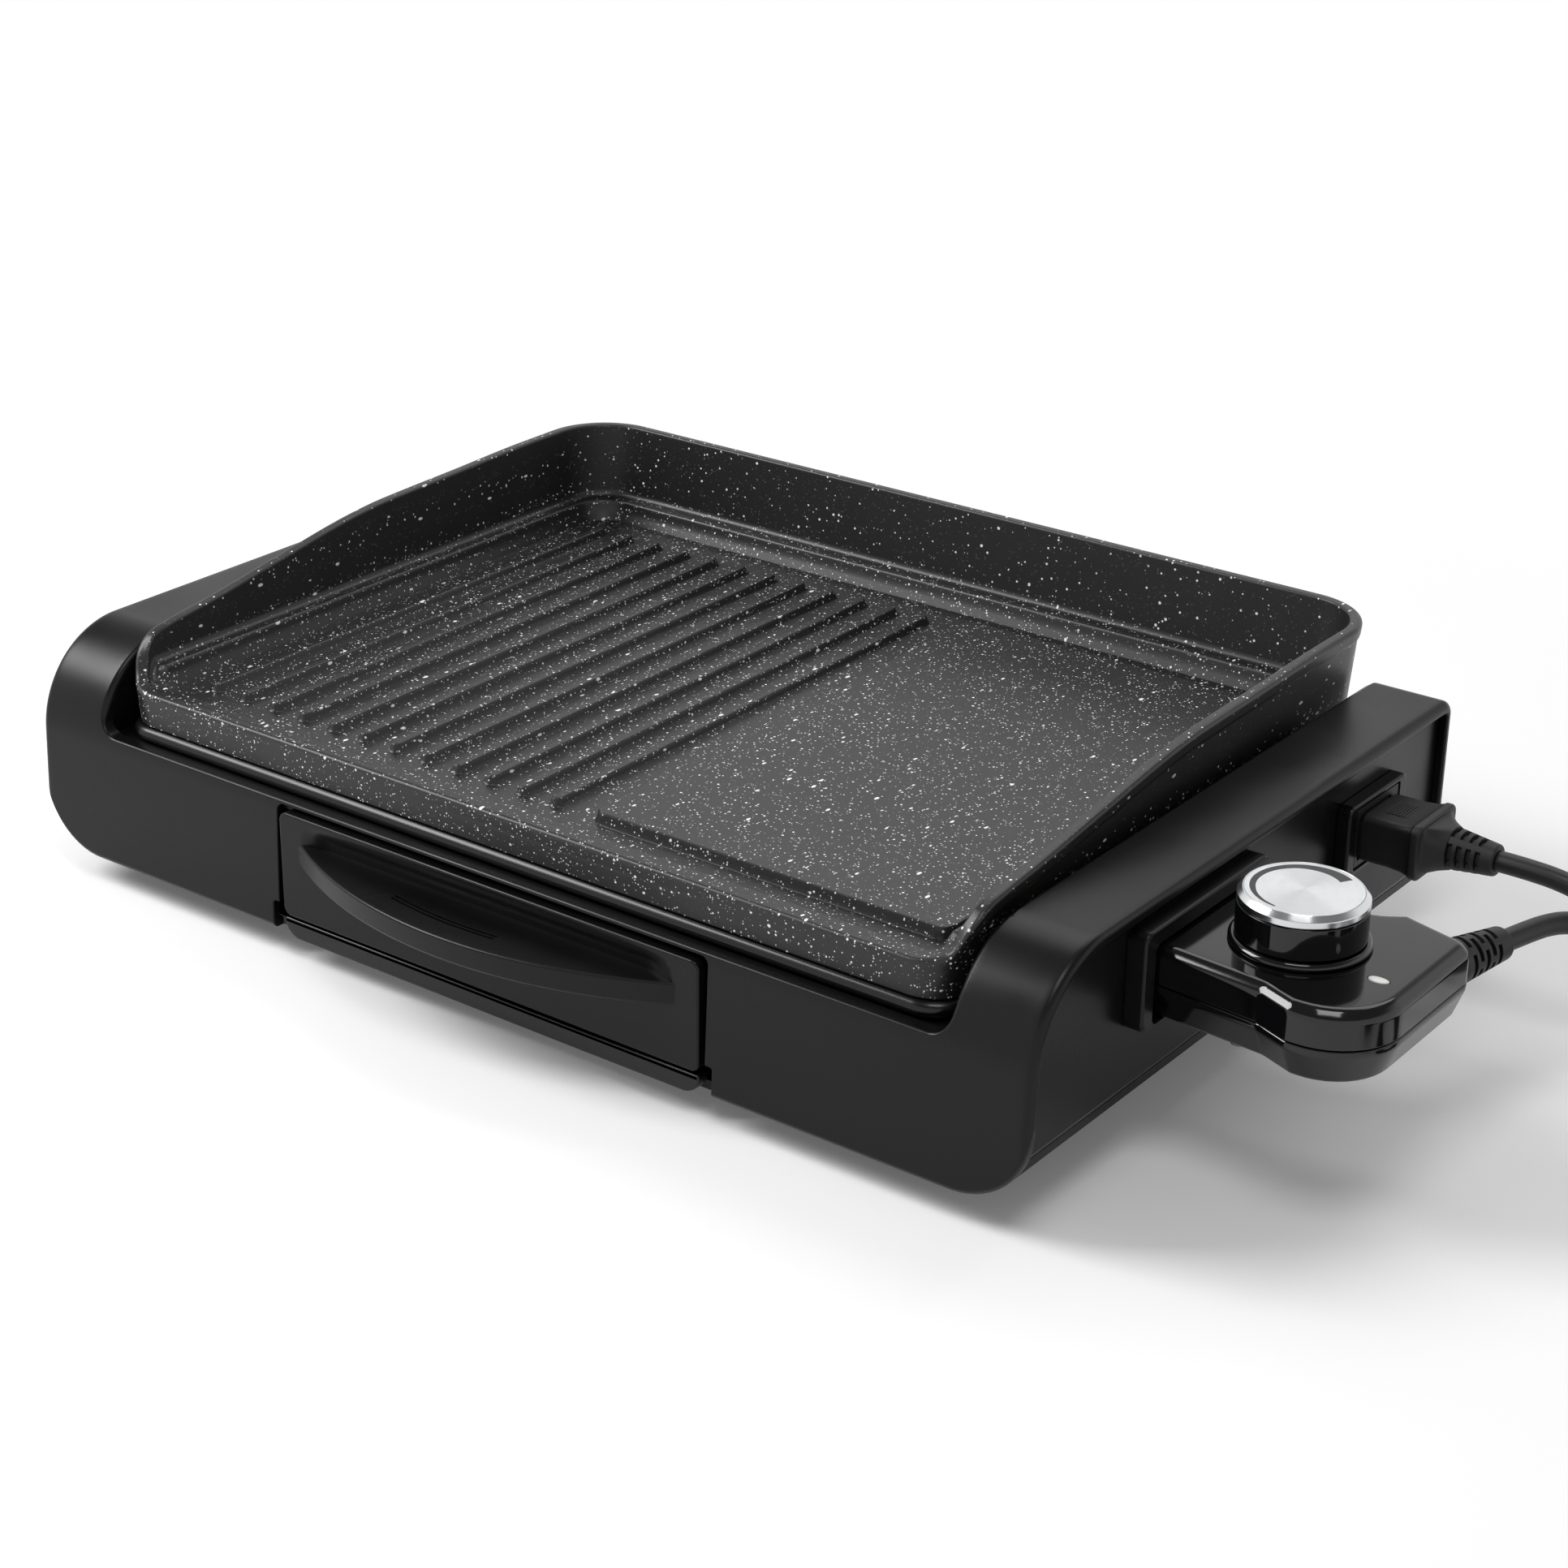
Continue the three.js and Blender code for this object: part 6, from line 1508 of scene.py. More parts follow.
@dataclass
class Base(Assembly):
    """The moulded base: two wings with a recess between them, side panels, bottom cover and feet."""

    half: float = 220.0
    front: float = -138.0
    rear: float = 138.0
    low: float = 10.0
    top: float = 92.0
    lean: float = 2.0
    front_round: float = 38.0
    rear_round: float = 6.0
    bottom_round: float = 28.0
    end_round: float = 3.0
    wall: float = 3.0
    recess: float = 188.0
    lip_top: float = 61.0
    deck_top: float = 59.7
    deck_under: float = 56.7
    recess_corner: float = 7.0
    lip_edge: float = 1.3
    fillet: float = 2.8
    rim: float = 4.5
    panel_face: float = 216.7
    panel_thickness: float = 3.0
    panel_start: float = 201.0
    hem_start: float = 189.6
    recess_flare: float = 10.0
    past_body: float = 150.0
    deck_half: tuple[float, float] = (187.9, 132.0)
    seat_half: tuple[float, float] = (179.0, 126.0)
    mouth_half: float = 96.5
    socket_low: tuple[float, float] = (-81.0, 49.5)
    socket_high: tuple[float, float] = (-3.0, 84.5)
    socket_corner: float = 4.0
    sleeve_low: tuple[float, float] = (-76.0, 53.0)
    sleeve_high: tuple[float, float] = (-8.0, 79.5)
    sleeve_corner: float = 2.8
    sleeve_gap: float = 0.3
    way_low: tuple[float, float] = (-74.5, 51.4)
    way_high: tuple[float, float] = (-9.5, 78.6)
    way_corner: float = 2.0
    post_radius: float = 4.5
    post_place: tuple[float, float] = (184.5, 118.0)
    foot_place: tuple[float, float] = (177.0, 94.0)

    def side(self, inset: float, low: float) -> np.ndarray:
        """Outline seen from the side at one place across: leaning front, large round, small rear round.

        Args:
            inset: How far it is drawn in.
            low: Height of its lower edge before that.

        Returns:
            Pairs of Y and Z.
        """
        slope = self.lean / (self.top - self.front_round - self.low)
        front_at = self.front - self.lean + slope * (np.array([low, self.top]) - self.low)
        corners = [
            (front_at[0], low), (self.rear, low), (self.rear, self.top), (front_at[1], self.top),
        ]
        return rounded(corners, [2.5, 2.5, self.rear_round, self.front_round], inset, 32)

    def across(self, name: str, places: np.ndarray, insets: np.ndarray) -> bpy.types.Object:
        """Joins side outlines at places across; beyond the bottom's round the lower edge rises on an arc.

        Args:
            name: The solid's name.
            places: Where the outlines stand, in X.
            insets: How far each is drawn in.

        Returns:
            The solid.
        """
        start = self.half - self.bottom_round
        beyond = np.clip(np.abs(places) - start, 0, self.bottom_round)
        lows = self.low + (self.bottom_round - np.sqrt(self.bottom_round**2 - beyond**2))
        rings = np.stack([self.side(inset, low) for inset, low in zip(insets, lows)])
        return solid(name, stood(0, rings, places))

    def body(self) -> bpy.types.Object:
        """Makes the whole body: its ends are rounded by arcs of inset against place.

        Returns:
            The body, solid throughout.
        """
        swing = np.linspace(0.0, QUARTER_TURN, 7)
        end = self.half - self.end_round + self.end_round * np.sin(swing)
        inset = self.end_round - self.end_round * np.cos(swing)
        inner = np.concatenate([[0, 96, 192], np.linspace(192, 217, 16)[1:-1]])
        places = np.concatenate([inner, end])
        insets = np.concatenate([np.zeros(len(inner)), inset])
        return self.across(
            "housing_shell_finished", np.concatenate([-places[:0:-1], places]),
            np.concatenate([insets[:0:-1], insets]),
        )

    def recess_plan(self, grow: float) -> np.ndarray:
        """Plan of the recess, grown: straight sides that flare by a quarter circle at the rear.

        Args:
            grow: How far it is grown.

        Returns:
            The outline.
        """
        flare, past = self.recess_flare, self.past_body
        centre = (self.recess + flare, self.rear - flare)
        bend = arc_points(centre, flare - grow, math.pi, QUARTER_TURN, 16)
        right = np.concatenate([[[self.recess + grow, -past]], bend, [[centre[0], past]]])
        return np.concatenate([right, right[::-1] * (-1, 1)])

    def edge_path(self) -> tuple[np.ndarray, np.ndarray, np.ndarray, np.ndarray]:
        """Follows the recess's edge on the body from the middle of the front to the right rear.

        Returns:
            Places, normals into the recess, normals of the body, and the edge's radius at each.
        """
        bend, mid = self.top - self.front_round, self.front + self.front_round
        corner = self.recess_corner
        foot = np.linspace(0, self.recess - corner, 12)
        turn = np.linspace(-QUARTER_TURN, 0, 16)[1:]
        wall = np.linspace(self.lip_top + corner, self.top - 0.6, 40)[1:]
        x = np.concatenate([
            foot, self.recess - corner + corner * np.cos(turn), np.full(len(wall), self.recess),
        ])
        z = np.concatenate([
            np.full(12, self.lip_top), self.lip_top + corner + corner * np.sin(turn), wall,
        ])
        inward = np.concatenate([
            np.tile([0.0, 0.0, 1.0], (12, 1)), np.stack([-np.cos(turn), 0 * turn, -np.sin(turn)], -1),
            np.tile([-1.0, 0.0, 0.0], (len(wall), 1)),
        ])
        y = mid - np.sqrt(self.front_round**2 - (z - bend) ** 2)
        up = np.stack([0 * y, y - mid, z - bend], -1) / self.front_round
        radius = self.lip_edge + (self.fillet - self.lip_edge) * smooth_step((z - self.lip_top) / 12)
        angles = np.linspace(math.pi, math.radians(98.1), 22)
        spokes = np.stack([np.cos(angles), np.sin(angles), 0 * angles], -1)
        flare = self.recess_flare
        arc = np.array([self.recess + flare, self.rear - flare, 0]) + flare * spokes
        rear = np.concatenate([
            np.stack([np.full(8, self.recess), np.linspace(mid + 2, 110, 8), np.zeros(8)], -1), arc,
        ])
        lift = np.clip(rear[:, 1] - self.rear + self.rear_round, 0, self.rear_round - 1e-3)
        fall = np.sqrt(self.rear_round**2 - lift**2)
        rear[:, 2] = self.top - self.rear_round + fall
        rear_up = np.stack([0 * lift, lift, fall], -1) / self.rear_round
        rear_in = np.concatenate([np.tile([-1.0, 0.0, 0.0], (8, 1)), spokes])
        rear_radius = 0.5 + (self.fillet - 0.5) * smooth_step((self.rear - 0.1 - rear[:, 1]) / 9)
        return (
            np.concatenate([np.stack([x, y, z], -1), rear]), np.concatenate([inward, rear_in]),
            np.concatenate([up, rear_up]), np.concatenate([radius, rear_radius]),
        )

    def edge_tool(self) -> bpy.types.Object:
        """Makes the tool that rounds the recess's edge as a ball rolls along it.

        The ball's middle is the edge's point less shares of both normals, and the tool's section is
        the ball's arc between them with a corner outside the body.

        Returns:
            The tool.
        """
        place, inward, up, radius = self.edge_path()
        proud = 0.04
        both = (up * inward).sum(1)
        a = (radius - both * (radius - proud)) / (1 - both**2)
        b = (radius - proud - both * radius) / (1 - both**2)
        middle = place - a[:, None] * inward - b[:, None] * up
        angle = np.arccos(both)[:, None]
        t = np.linspace(0, 1, 9)[None]
        first, second = np.sin((1 - t) * angle) / np.sin(angle), np.sin(t * angle) / np.sin(angle)
        arc = middle[:, None] + radius[:, None, None] * (
            first[..., None] * inward[:, None] + second[..., None] * up[:, None]
        )
        outside = (place + 1.5 * (inward + up))[:, None]
        right = np.concatenate([arc, outside], 1)
        left = right[:0:-1] * (-1, 1, 1)
        return solid("edge", np.concatenate([left, right]))

    def recess_tools(self) -> list[bpy.types.Object]:
        """Makes the tools for the recess: a channel with round corners, its plan, and its edge.

        Returns:
            The tools.
        """
        corner = self.recess_corner
        section = rounded_box(
            (-self.recess, self.lip_top), (self.recess, self.top + 30), (corner, 1, 1, corner), 12
        )
        return [
            prism("channel", 1, section, -self.past_body, self.past_body), self.edge_tool(),
            prism("plan", 2, self.recess_plan(0.0), self.lip_top + corner, self.top + 30),
        ]

    def hollow(self) -> bpy.types.Object:
        """Makes the tool for the inside: the body drawn in by the wall, less the grown recess.

        Returns:
            The tool.
        """
        places = np.concatenate([[0, 192], np.linspace(192, 217, 10)[1:]])
        places = np.concatenate([-places[:0:-1], places])
        inside = self.across("inside", places, np.full(len(places), self.wall))
        grown = prism("grown", 2, self.recess_plan(self.wall), self.deck_under, 120)
        return worked(inside, [grown], Join.CUT)

    def mouth(
        self, half: float, low: float, high: float, corner: float, depth: float
    ) -> bpy.types.Object:
        """Makes the tool for an opening in the front, its edge softened where it meets the face.

        Args:
            half: Half its width.
            low: Its lower edge.
            high: Its upper edge.
            corner: Radius of its upper corners.
            depth: How far it goes in.

        Returns:
            The tool.
        """
        levels = np.array([[depth, 0], [0.8, 0], [0.35, 0.1], [0.08, 0.32], [-0.2, 0.75], [-3, 0.75]])
        rings = np.stack([
            rounded_box((-half - g, low - g), (half + g, high + g), (0.4, corner + g, corner + g, 0.4))
            for _, g in levels
        ])
        points = stood(1, rings, levels[:, 0])
        z = points[..., 2]
        bend = self.top - self.front_round
        slope = self.lean / (bend - self.low)
        curve = self.front_round - np.sqrt(self.front_round**2 - np.clip(z - bend, 0, 20) ** 2)
        points[..., 1] += self.front - slope * np.clip(bend - z, 0, None) + curve
        return solid("mouth", points)

    def shell(self) -> None:
        """Makes the housing: body less recess, inside, windows, seat and openings, with its posts."""
        piece, half = self.body(), self.mouth_half
        window = np.array([
            [213.7, 0], [219, 0], [219.45, -0.12], [219.8, -0.45], [220.05, -0.95], [222, -1.1],
        ])
        deck = rounded_box(np.negative(self.deck_half), self.deck_half, (1.5,) * 4, 6)
        seat = rounded_box(np.negative(self.seat_half), self.seat_half, (6,) * 4, 12)
        tools = [
            *self.recess_tools(), prism("deck", 2, deck, self.deck_top, self.lip_top + 7.2),
            self.hollow(), prism("seat", 2, seat, 50, 70),
            block("bottom", (-186, -135, 5), (186, 135, 14)),
            self.mouth(half, 4, 59.4, 2.6, 3.1), self.mouth(99.5, 3, 21, 0.8, 5),
            block("behind", (-half, -137, 4), (half, -133, 56.6)),
            block("nose_way", (186.5, -63.45, NOSE_LOW), (214, -20.55, NOSE_HIGH)),
        ]
        for sign in (-1, 1):
            rings = np.stack([self.side(self.rim + shift, self.low) for _, shift in window])
            tools.append(solid("window", stood(0, rings, sign * window[:, 0])))
        worked(piece, tools, Join.CUT)
        post_x, post_y = self.post_place
        spots = [(x, y) for x in (-post_x, post_x) for y in (-post_y, post_y)]
        posts = [rod("post", (*spot, self.low), (*spot, 58), self.post_radius) for spot in spots]
        worked(piece, posts, Join.ADD)
        holes = [rod("hole", (*spot, 5), (*spot, 22), SCREW_HOLE, 24) for spot in spots]
        worked(piece, holes, Join.CUT)
        self.hand_over(piece, Body.BASE, "satin_polyester", ("housing_shell",))

    def sleeve(self, grow: float) -> np.ndarray:
        """Outline of the socket's sleeve, grown."""
        return drawn_in(self.sleeve_low, self.sleeve_high, -grow, self.sleeve_corner + grow)

    def panel(self, sign: int, node: str) -> None:
        """Makes a side panel: a skin that follows the body's section just inside its rim.

        Args:
            sign: -1 for the left side, 1 for the right one.
            node: The node that it replaces.
        """
        inset, thickness = self.wall + 0.3, self.panel_thickness
        outer = np.concatenate([[185, 192], np.linspace(192, self.panel_face, 18)[1:]])
        inner = np.concatenate([[184, 192], np.linspace(192, self.panel_face - thickness, 14)[1:]])
        skin = self.across(f"{node}_finished", sign * outer, np.full(len(outer), inset))
        void = self.across("void", sign * inner, np.full(len(inner), inset + thickness))
        (keep_low, keep_high), (hem_low, hem_high) = (
            sorted((sign * near, sign * 230.0)) for near in (self.panel_start, self.hem_start)
        )
        past = self.past_body
        keep = block("keep", (keep_low, -past, 0), (keep_high, past, 100))
        hem = block("hem", (hem_low, -149, 1), (hem_high, 149, 38))
        worked(skin, [void], Join.CUT)
        worked(skin, [worked(keep, [hem], Join.ADD)], Join.KEEP)
        if sign > 0:
            worked(skin, [
                prism("sleeve", 0, self.sleeve(self.sleeve_gap), 205, 225),
                block("inlet", (205, 63.7, 52.2), (225, 94.3, 74.8)),
            ], Join.CUT)
        self.hand_over(skin, Body.BASE, "satin_polyester", (node,))

    def foot(self, node: str, x: float, y: float) -> None:
        """Turns a foot with soft edges, its stem and its head.

        Args:
            node: The node that it replaces.
            x: Its place across.
            y: Its place along.
        """
        shape = np.array([
            [0, 0], [9.0, 0], [10, 1.0], [10, 5.3], [9.4, 6], [3, 6], [3, 10], [4.2, 10], [3, 12], [0, 12],
        ])
        profile = softened(shape[None], np.full(10, 0.4), 3)[0]
        profile[:4], profile[-4:] = shape[0], shape[-1]
        piece = turned(f"{node}_finished", profile, np.array([x, y, 0.0]))
        self.hand_over(piece, Body.BASE, "moulded_pvc", (node,))

    def socket_frame(self) -> None:
        """Makes the frame round the thermostat's socket: soft outer edges and a flared opening."""
        outer = np.array([[217.0, 0.0], [222.8, 0.0], [223.5, 0.2], [223.9, 0.6], [224.0, 1.1]])
        piece = lofted("probe_socket_frame_finished", 0, outer, lambda inset: drawn_in(
            self.socket_low, self.socket_high, inset, self.socket_corner - inset / 2
        ))
        worked(piece, [prism("sleeve", 0, self.sleeve(0.0), 209.7, 217.3)], Join.ADD)
        inner = np.array([[209.0, 0.0], [222.8, 0.0], [223.5, 0.25], [224.3, 0.9]])
        worked(piece, [lofted("way", 0, inner, lambda grow: drawn_in(
            self.way_low, self.way_high, -grow, self.way_corner + grow
        ))], Join.CUT)
        self.hand_over(piece, Body.BASE, "satin_polyester", ("probe_socket_frame",))

    def build(self) -> None:
        """Makes all of the base."""
        self.shell()
        self.panel(-1, "side_panel_left")
        self.panel(1, "side_panel_right")
        self.socket_frame()
        self.refined("bottom_cover", Body.BASE, "satin_polyester", 0.3)
        x, y = self.foot_place
        self.foot("foot_front_left", -x, -y)
        self.foot("foot_front_right", x, -y)
        self.foot("foot_rear_right", x, y)
        self.foot("foot_rear_left", -x, y)
        for number in (1, 2, 3, 4):
            self.refined(f"cover_screw_{number}", Body.BASE, "plated_steel", 0.2)


# The thermostat and its knob


@dataclass
class Thermostat(Assembly):
    """The plug-in thermostat: two glossy half shells, its nose, the lens and the metal knob."""

    middle: float = -42.0
    start: float = 219.0
    neck_end: float = 261.0
    head_start: float = 273.0
    screw_x: float = 250.0
    reach: float = 300.0
    neck_half: float = 31.5
    head_half: float = 39.5
    top: float = 78.0
    parting: float = 65.0
    bottom: float = 52.0
    wall: float = 2.2
    knob_x: float = 256.0
    knob_radius: float = 20.8
    knob_top: float = 96.0
    lens_place: tuple[float, float] = (287.8, -51.0)
    lens_half: tuple[float, float] = (3.5, 1.9)
    relief_place: tuple[float, float] = (289.5, -4.0)
    relief_angle: float = 1.3
    screw_aside: float = 23.5
    mark_radius: float = 17.0
    mark_ends: tuple[float, float] = (265.5, 58.0)
    mark_points: int = 97
    nose_half: float = 21.3
    nose_end: float = 236.3
    stem_radius: float = 3.1
    hub_radius: float = 5.5
    skirt_low: float = 81.0
    skirt_under: float = 89.5
    skirt_top: float = 91.55

    def plan(self, inset: float) -> np.ndarray:
        """Plan of the body, drawn in: a neck that flares into a head with one large round.

        Args:
            inset: How far it is drawn in.

        Returns:
            The outline.
        """
        low, high = self.middle - self.neck_half, self.middle + self.neck_half
        front, rear = self.middle - self.head_half, self.middle + self.head_half
        corners = [
            (self.start, low), (self.neck_end, low - 3.2), (self.head_start, front), (self.reach, front),
            (self.reach, rear - 7.0), (274.0, rear), (266.0, high + 2.1),
            (254.0, high), (self.start, high),
        ]
        return rounded(corners, [0.8, 6, 7, 24, 6.4, 3.5, 14, 24, 0.8], inset, 10)

    def stack(self, name: str, levels: np.ndarray) -> bpy.types.Object:
        """Stacks the plan's outlines at levels, as pairs of inset and height."""
        return lofted(name, 2, levels[:, ::-1], self.plan)

    def nose_way(self) -> bpy.types.Object:
        """Makes the tool for the nose's place in both half shells."""
        low, high = self.middle - self.nose_half, self.middle + self.nose_half
        return block("nose_way", (self.start - 1, low, NOSE_LOW), (self.nose_end, high, NOSE_HIGH))

    def halves(self) -> None:
        """Makes the two half shells, with the chamfer on top and the parting line between them."""
        mid, knob = self.parting, self.knob_x
        upper = softened(np.array([
            [0.3, mid + 0.15], [0, mid + 0.5], [0, self.top - 3], [3, self.top], [9, self.top],
        ])[None], np.array([0.05, 0.2, 1.5, 1.5, 0.05]))[0]
        lower = softened(np.array([
            [5.2, self.bottom], [3.6, self.bottom + 0.9], [0, mid - 2.2], [0, mid - 0.5],
            [0.3, mid - 0.15],
        ])[None], np.array([0.05, 0.9, 1.0, 0.2, 0.05]))[0]
        top = self.stack("probe_upper_shell_finished", upper[5:-5])
        base = self.stack("probe_lower_shell_finished", lower[5:-5])
        hollow_top = np.array([(self.wall, mid - 1), (self.wall + 1.5, self.top - self.wall)])
        hollow_low = np.array([
            (5.8, self.bottom + self.wall), (self.wall, mid - 2.2), (self.wall, mid + 1),
        ])
        y = self.middle
        tools = [
            self.stack("hollow", hollow_top), self.nose_way(),
            rod("spindle_way", (knob, y, mid), (knob, y, self.top + 1), 3.3),
            prism("lens_way", 2, self.ellipse(0.3), mid, self.top + 1), self.relief_way(),
        ]
        worked(top, tools, Join.CUT)
        self.hand_over(top, Body.BASE, "polished_phenolic", ("probe_upper_shell",))
        worked(base, [self.stack("hollow", hollow_low)], Join.CUT)
        spots = [(self.screw_x, y - self.screw_aside), (self.screw_x, y + self.screw_aside)]
        worked(base, [rod("post", (*spot, 53), (*spot, 75.5), 3.5) for spot in spots], Join.ADD)
        tools = [
            self.nose_way(), self.relief_way(),
            *(
                rod("screw_way", (*spot, self.bottom - 1), (*spot, mid), SCREW_HOLE) for spot in spots
            ),
        ]
        worked(base, tools, Join.CUT)
        self.hand_over(base, Body.BASE, "polished_phenolic", ("probe_lower_shell",))

    def relief_way(self) -> bpy.types.Object:
        """Makes the tool for the strain relief's hole.

        Returns:
            The tool.
        """
        way = np.array([math.cos(self.relief_angle), math.sin(self.relief_angle)])
        place = np.array(self.relief_place)
        low, high = place - 9 * way, place + 6 * way
        return rod("relief_way", (*low, self.parting), (*high, self.parting), 6.3)

    def ellipse(self, grow: float) -> np.ndarray:
        """Outline of the lens: middle plus half axes times (cos, sin).

        Args:
            grow: How far both half axes are grown.

        Returns:
            The outline.
        """
        angles = np.arange(48) * FULL_TURN / 48
        (x, y), (a, b) = self.lens_place, self.lens_half
        return np.stack([x + (a + grow) * np.cos(angles), y + (b + grow) * np.sin(angles)], -1)

    def lens(self) -> None:
        """Makes the lens: ellipses that draw in as they rise over the shell, like a cushion."""
        rise = np.array([[0, 75.5], [0, 77.9], [0.1, 78.15], [0.5, 78.38], [1.2, 78.5]])
        piece = lofted(
            "indicator_lens_finished", 2, rise[:, ::-1], lambda inset: self.ellipse(-inset)
        )
        self.hand_over(piece, Body.BASE, "lamp_lens", ("indicator_lens",))

    def round_piece(
        self, name: str, profile: list[tuple[float, float]], reach: float, body: Body, finish: str,
        nodes: tuple[str, ...],
    ) -> None:
        """Turns a profile with softened corners round the knob's axis and hands it over.

        Args:
            name: The piece's name.
            profile: Pairs of radius and height, from the axis to the axis.
            reach: How far its corners are softened.
            body: What it rides on.
            finish: Name of its finish.
            nodes: Names of the nodes that it replaces.
        """
        steps = 4
        shape = softened(np.array(profile)[None], np.full(len(profile), reach), steps)[0]
        solid_core = profile[0][0] == 0
        if solid_core:
            shape[:steps + 1] = profile[0]
            shape[-steps - 1:] = profile[-1]
        centre = np.array([self.knob_x, self.middle, 0.0])
        piece = turned(name, shape, centre, steps=128, ring=not solid_core)
        turned_map(piece, (self.knob_x, self.middle))
        self.hand_over(piece, body, finish, nodes)

    def mark(self) -> None:
        """Prints the knob's mark: an arc that widens clockwise, 0.03 mm proud of the face."""
        angles = np.linspace(*np.radians(self.mark_ends), self.mark_points)
        share = np.linspace(0.0, 1.0, self.mark_points)
        outer = self.mark_radius
        inner = outer - np.interp(share, [0, 0.24, 0.67, 1], [0.6, 1.9, 2.6, 4.4])
        spokes = np.stack([np.cos(angles), np.sin(angles)], -1)
        centre = np.array([self.knob_x, self.middle])
        outline = np.concatenate([
            centre + outer * spokes, (centre + inner[:, None] * spokes)[::-1],
        ])[::-1]
        top = self.knob_top
        piece = prism("knob_mark", 2, outline, top - 0.02, top + 0.03)
        self.hand_over(piece, Body.KNOB, "printed_ink")

    def knob(self) -> None:
        """Makes the knob: glossy skirt, polished edge, spun face and the collar that it turns on."""
        r, top, low, under = self.knob_radius, self.knob_top, self.skirt_low, self.skirt_under
        stem, hub = self.stem_radius, self.hub_radius
        self.round_piece(
            "knob_skirt_finished",
            [
                (0, under - 0.1), (stem, under - 0.1), (stem, low), (hub, low), (hub, under),
                (r - 2, under), (r - 2, low), (r, low), (r, self.skirt_top), (0, self.skirt_top),
            ],
            0.35, Body.KNOB, "polished_phenolic", ("knob_skirt",),
        )
        self.round_piece(
            "knob_edge",
            [
                (0, 91.8), (r - 0.2, 91.8), (r, 92.1), (r, top - 1.9), (r - 1.7, top),
                (r - 2.0, top), (r - 2.0, top - 1.2), (0, top - 1.2),
            ],
            0.22, Body.KNOB, "polished_aluminium", ("knob_cap",),
        )
        face = r - 2.08
        self.round_piece(
            "knob_face",
            [
                (0, top - 1.1), (face, top - 1.1), (face, top), (face * 0.7, top), (face * 0.4, top),
                (face * 0.15, top), (0, top),
            ],
            0.08, Body.KNOB, "spun_aluminium", (),
        )
        self.mark()
        self.round_piece(
            "knob_collar_finished",
            [
                (3.4, 78.3), (22.6, 78.3), (22.6, 79.4), (21.7, 80.5), (3.4, 80.5),
            ],
            0.5, Body.BASE, "polished_phenolic", ("knob_collar",),
        )

    def build(self) -> None:
        """Makes all of it."""
        self.halves()
        self.lens()
        self.knob()
        self.refined("probe_nose", Body.BASE, "moulded_pvc", 0.5)
        way = (math.cos(self.relief_angle), math.sin(self.relief_angle), 0.0)
        self.relief(
            "probe_strain_relief", (*self.relief_place, self.parting), way, 25.0, 5, math.pi / 4
        )


# The inlet's connector


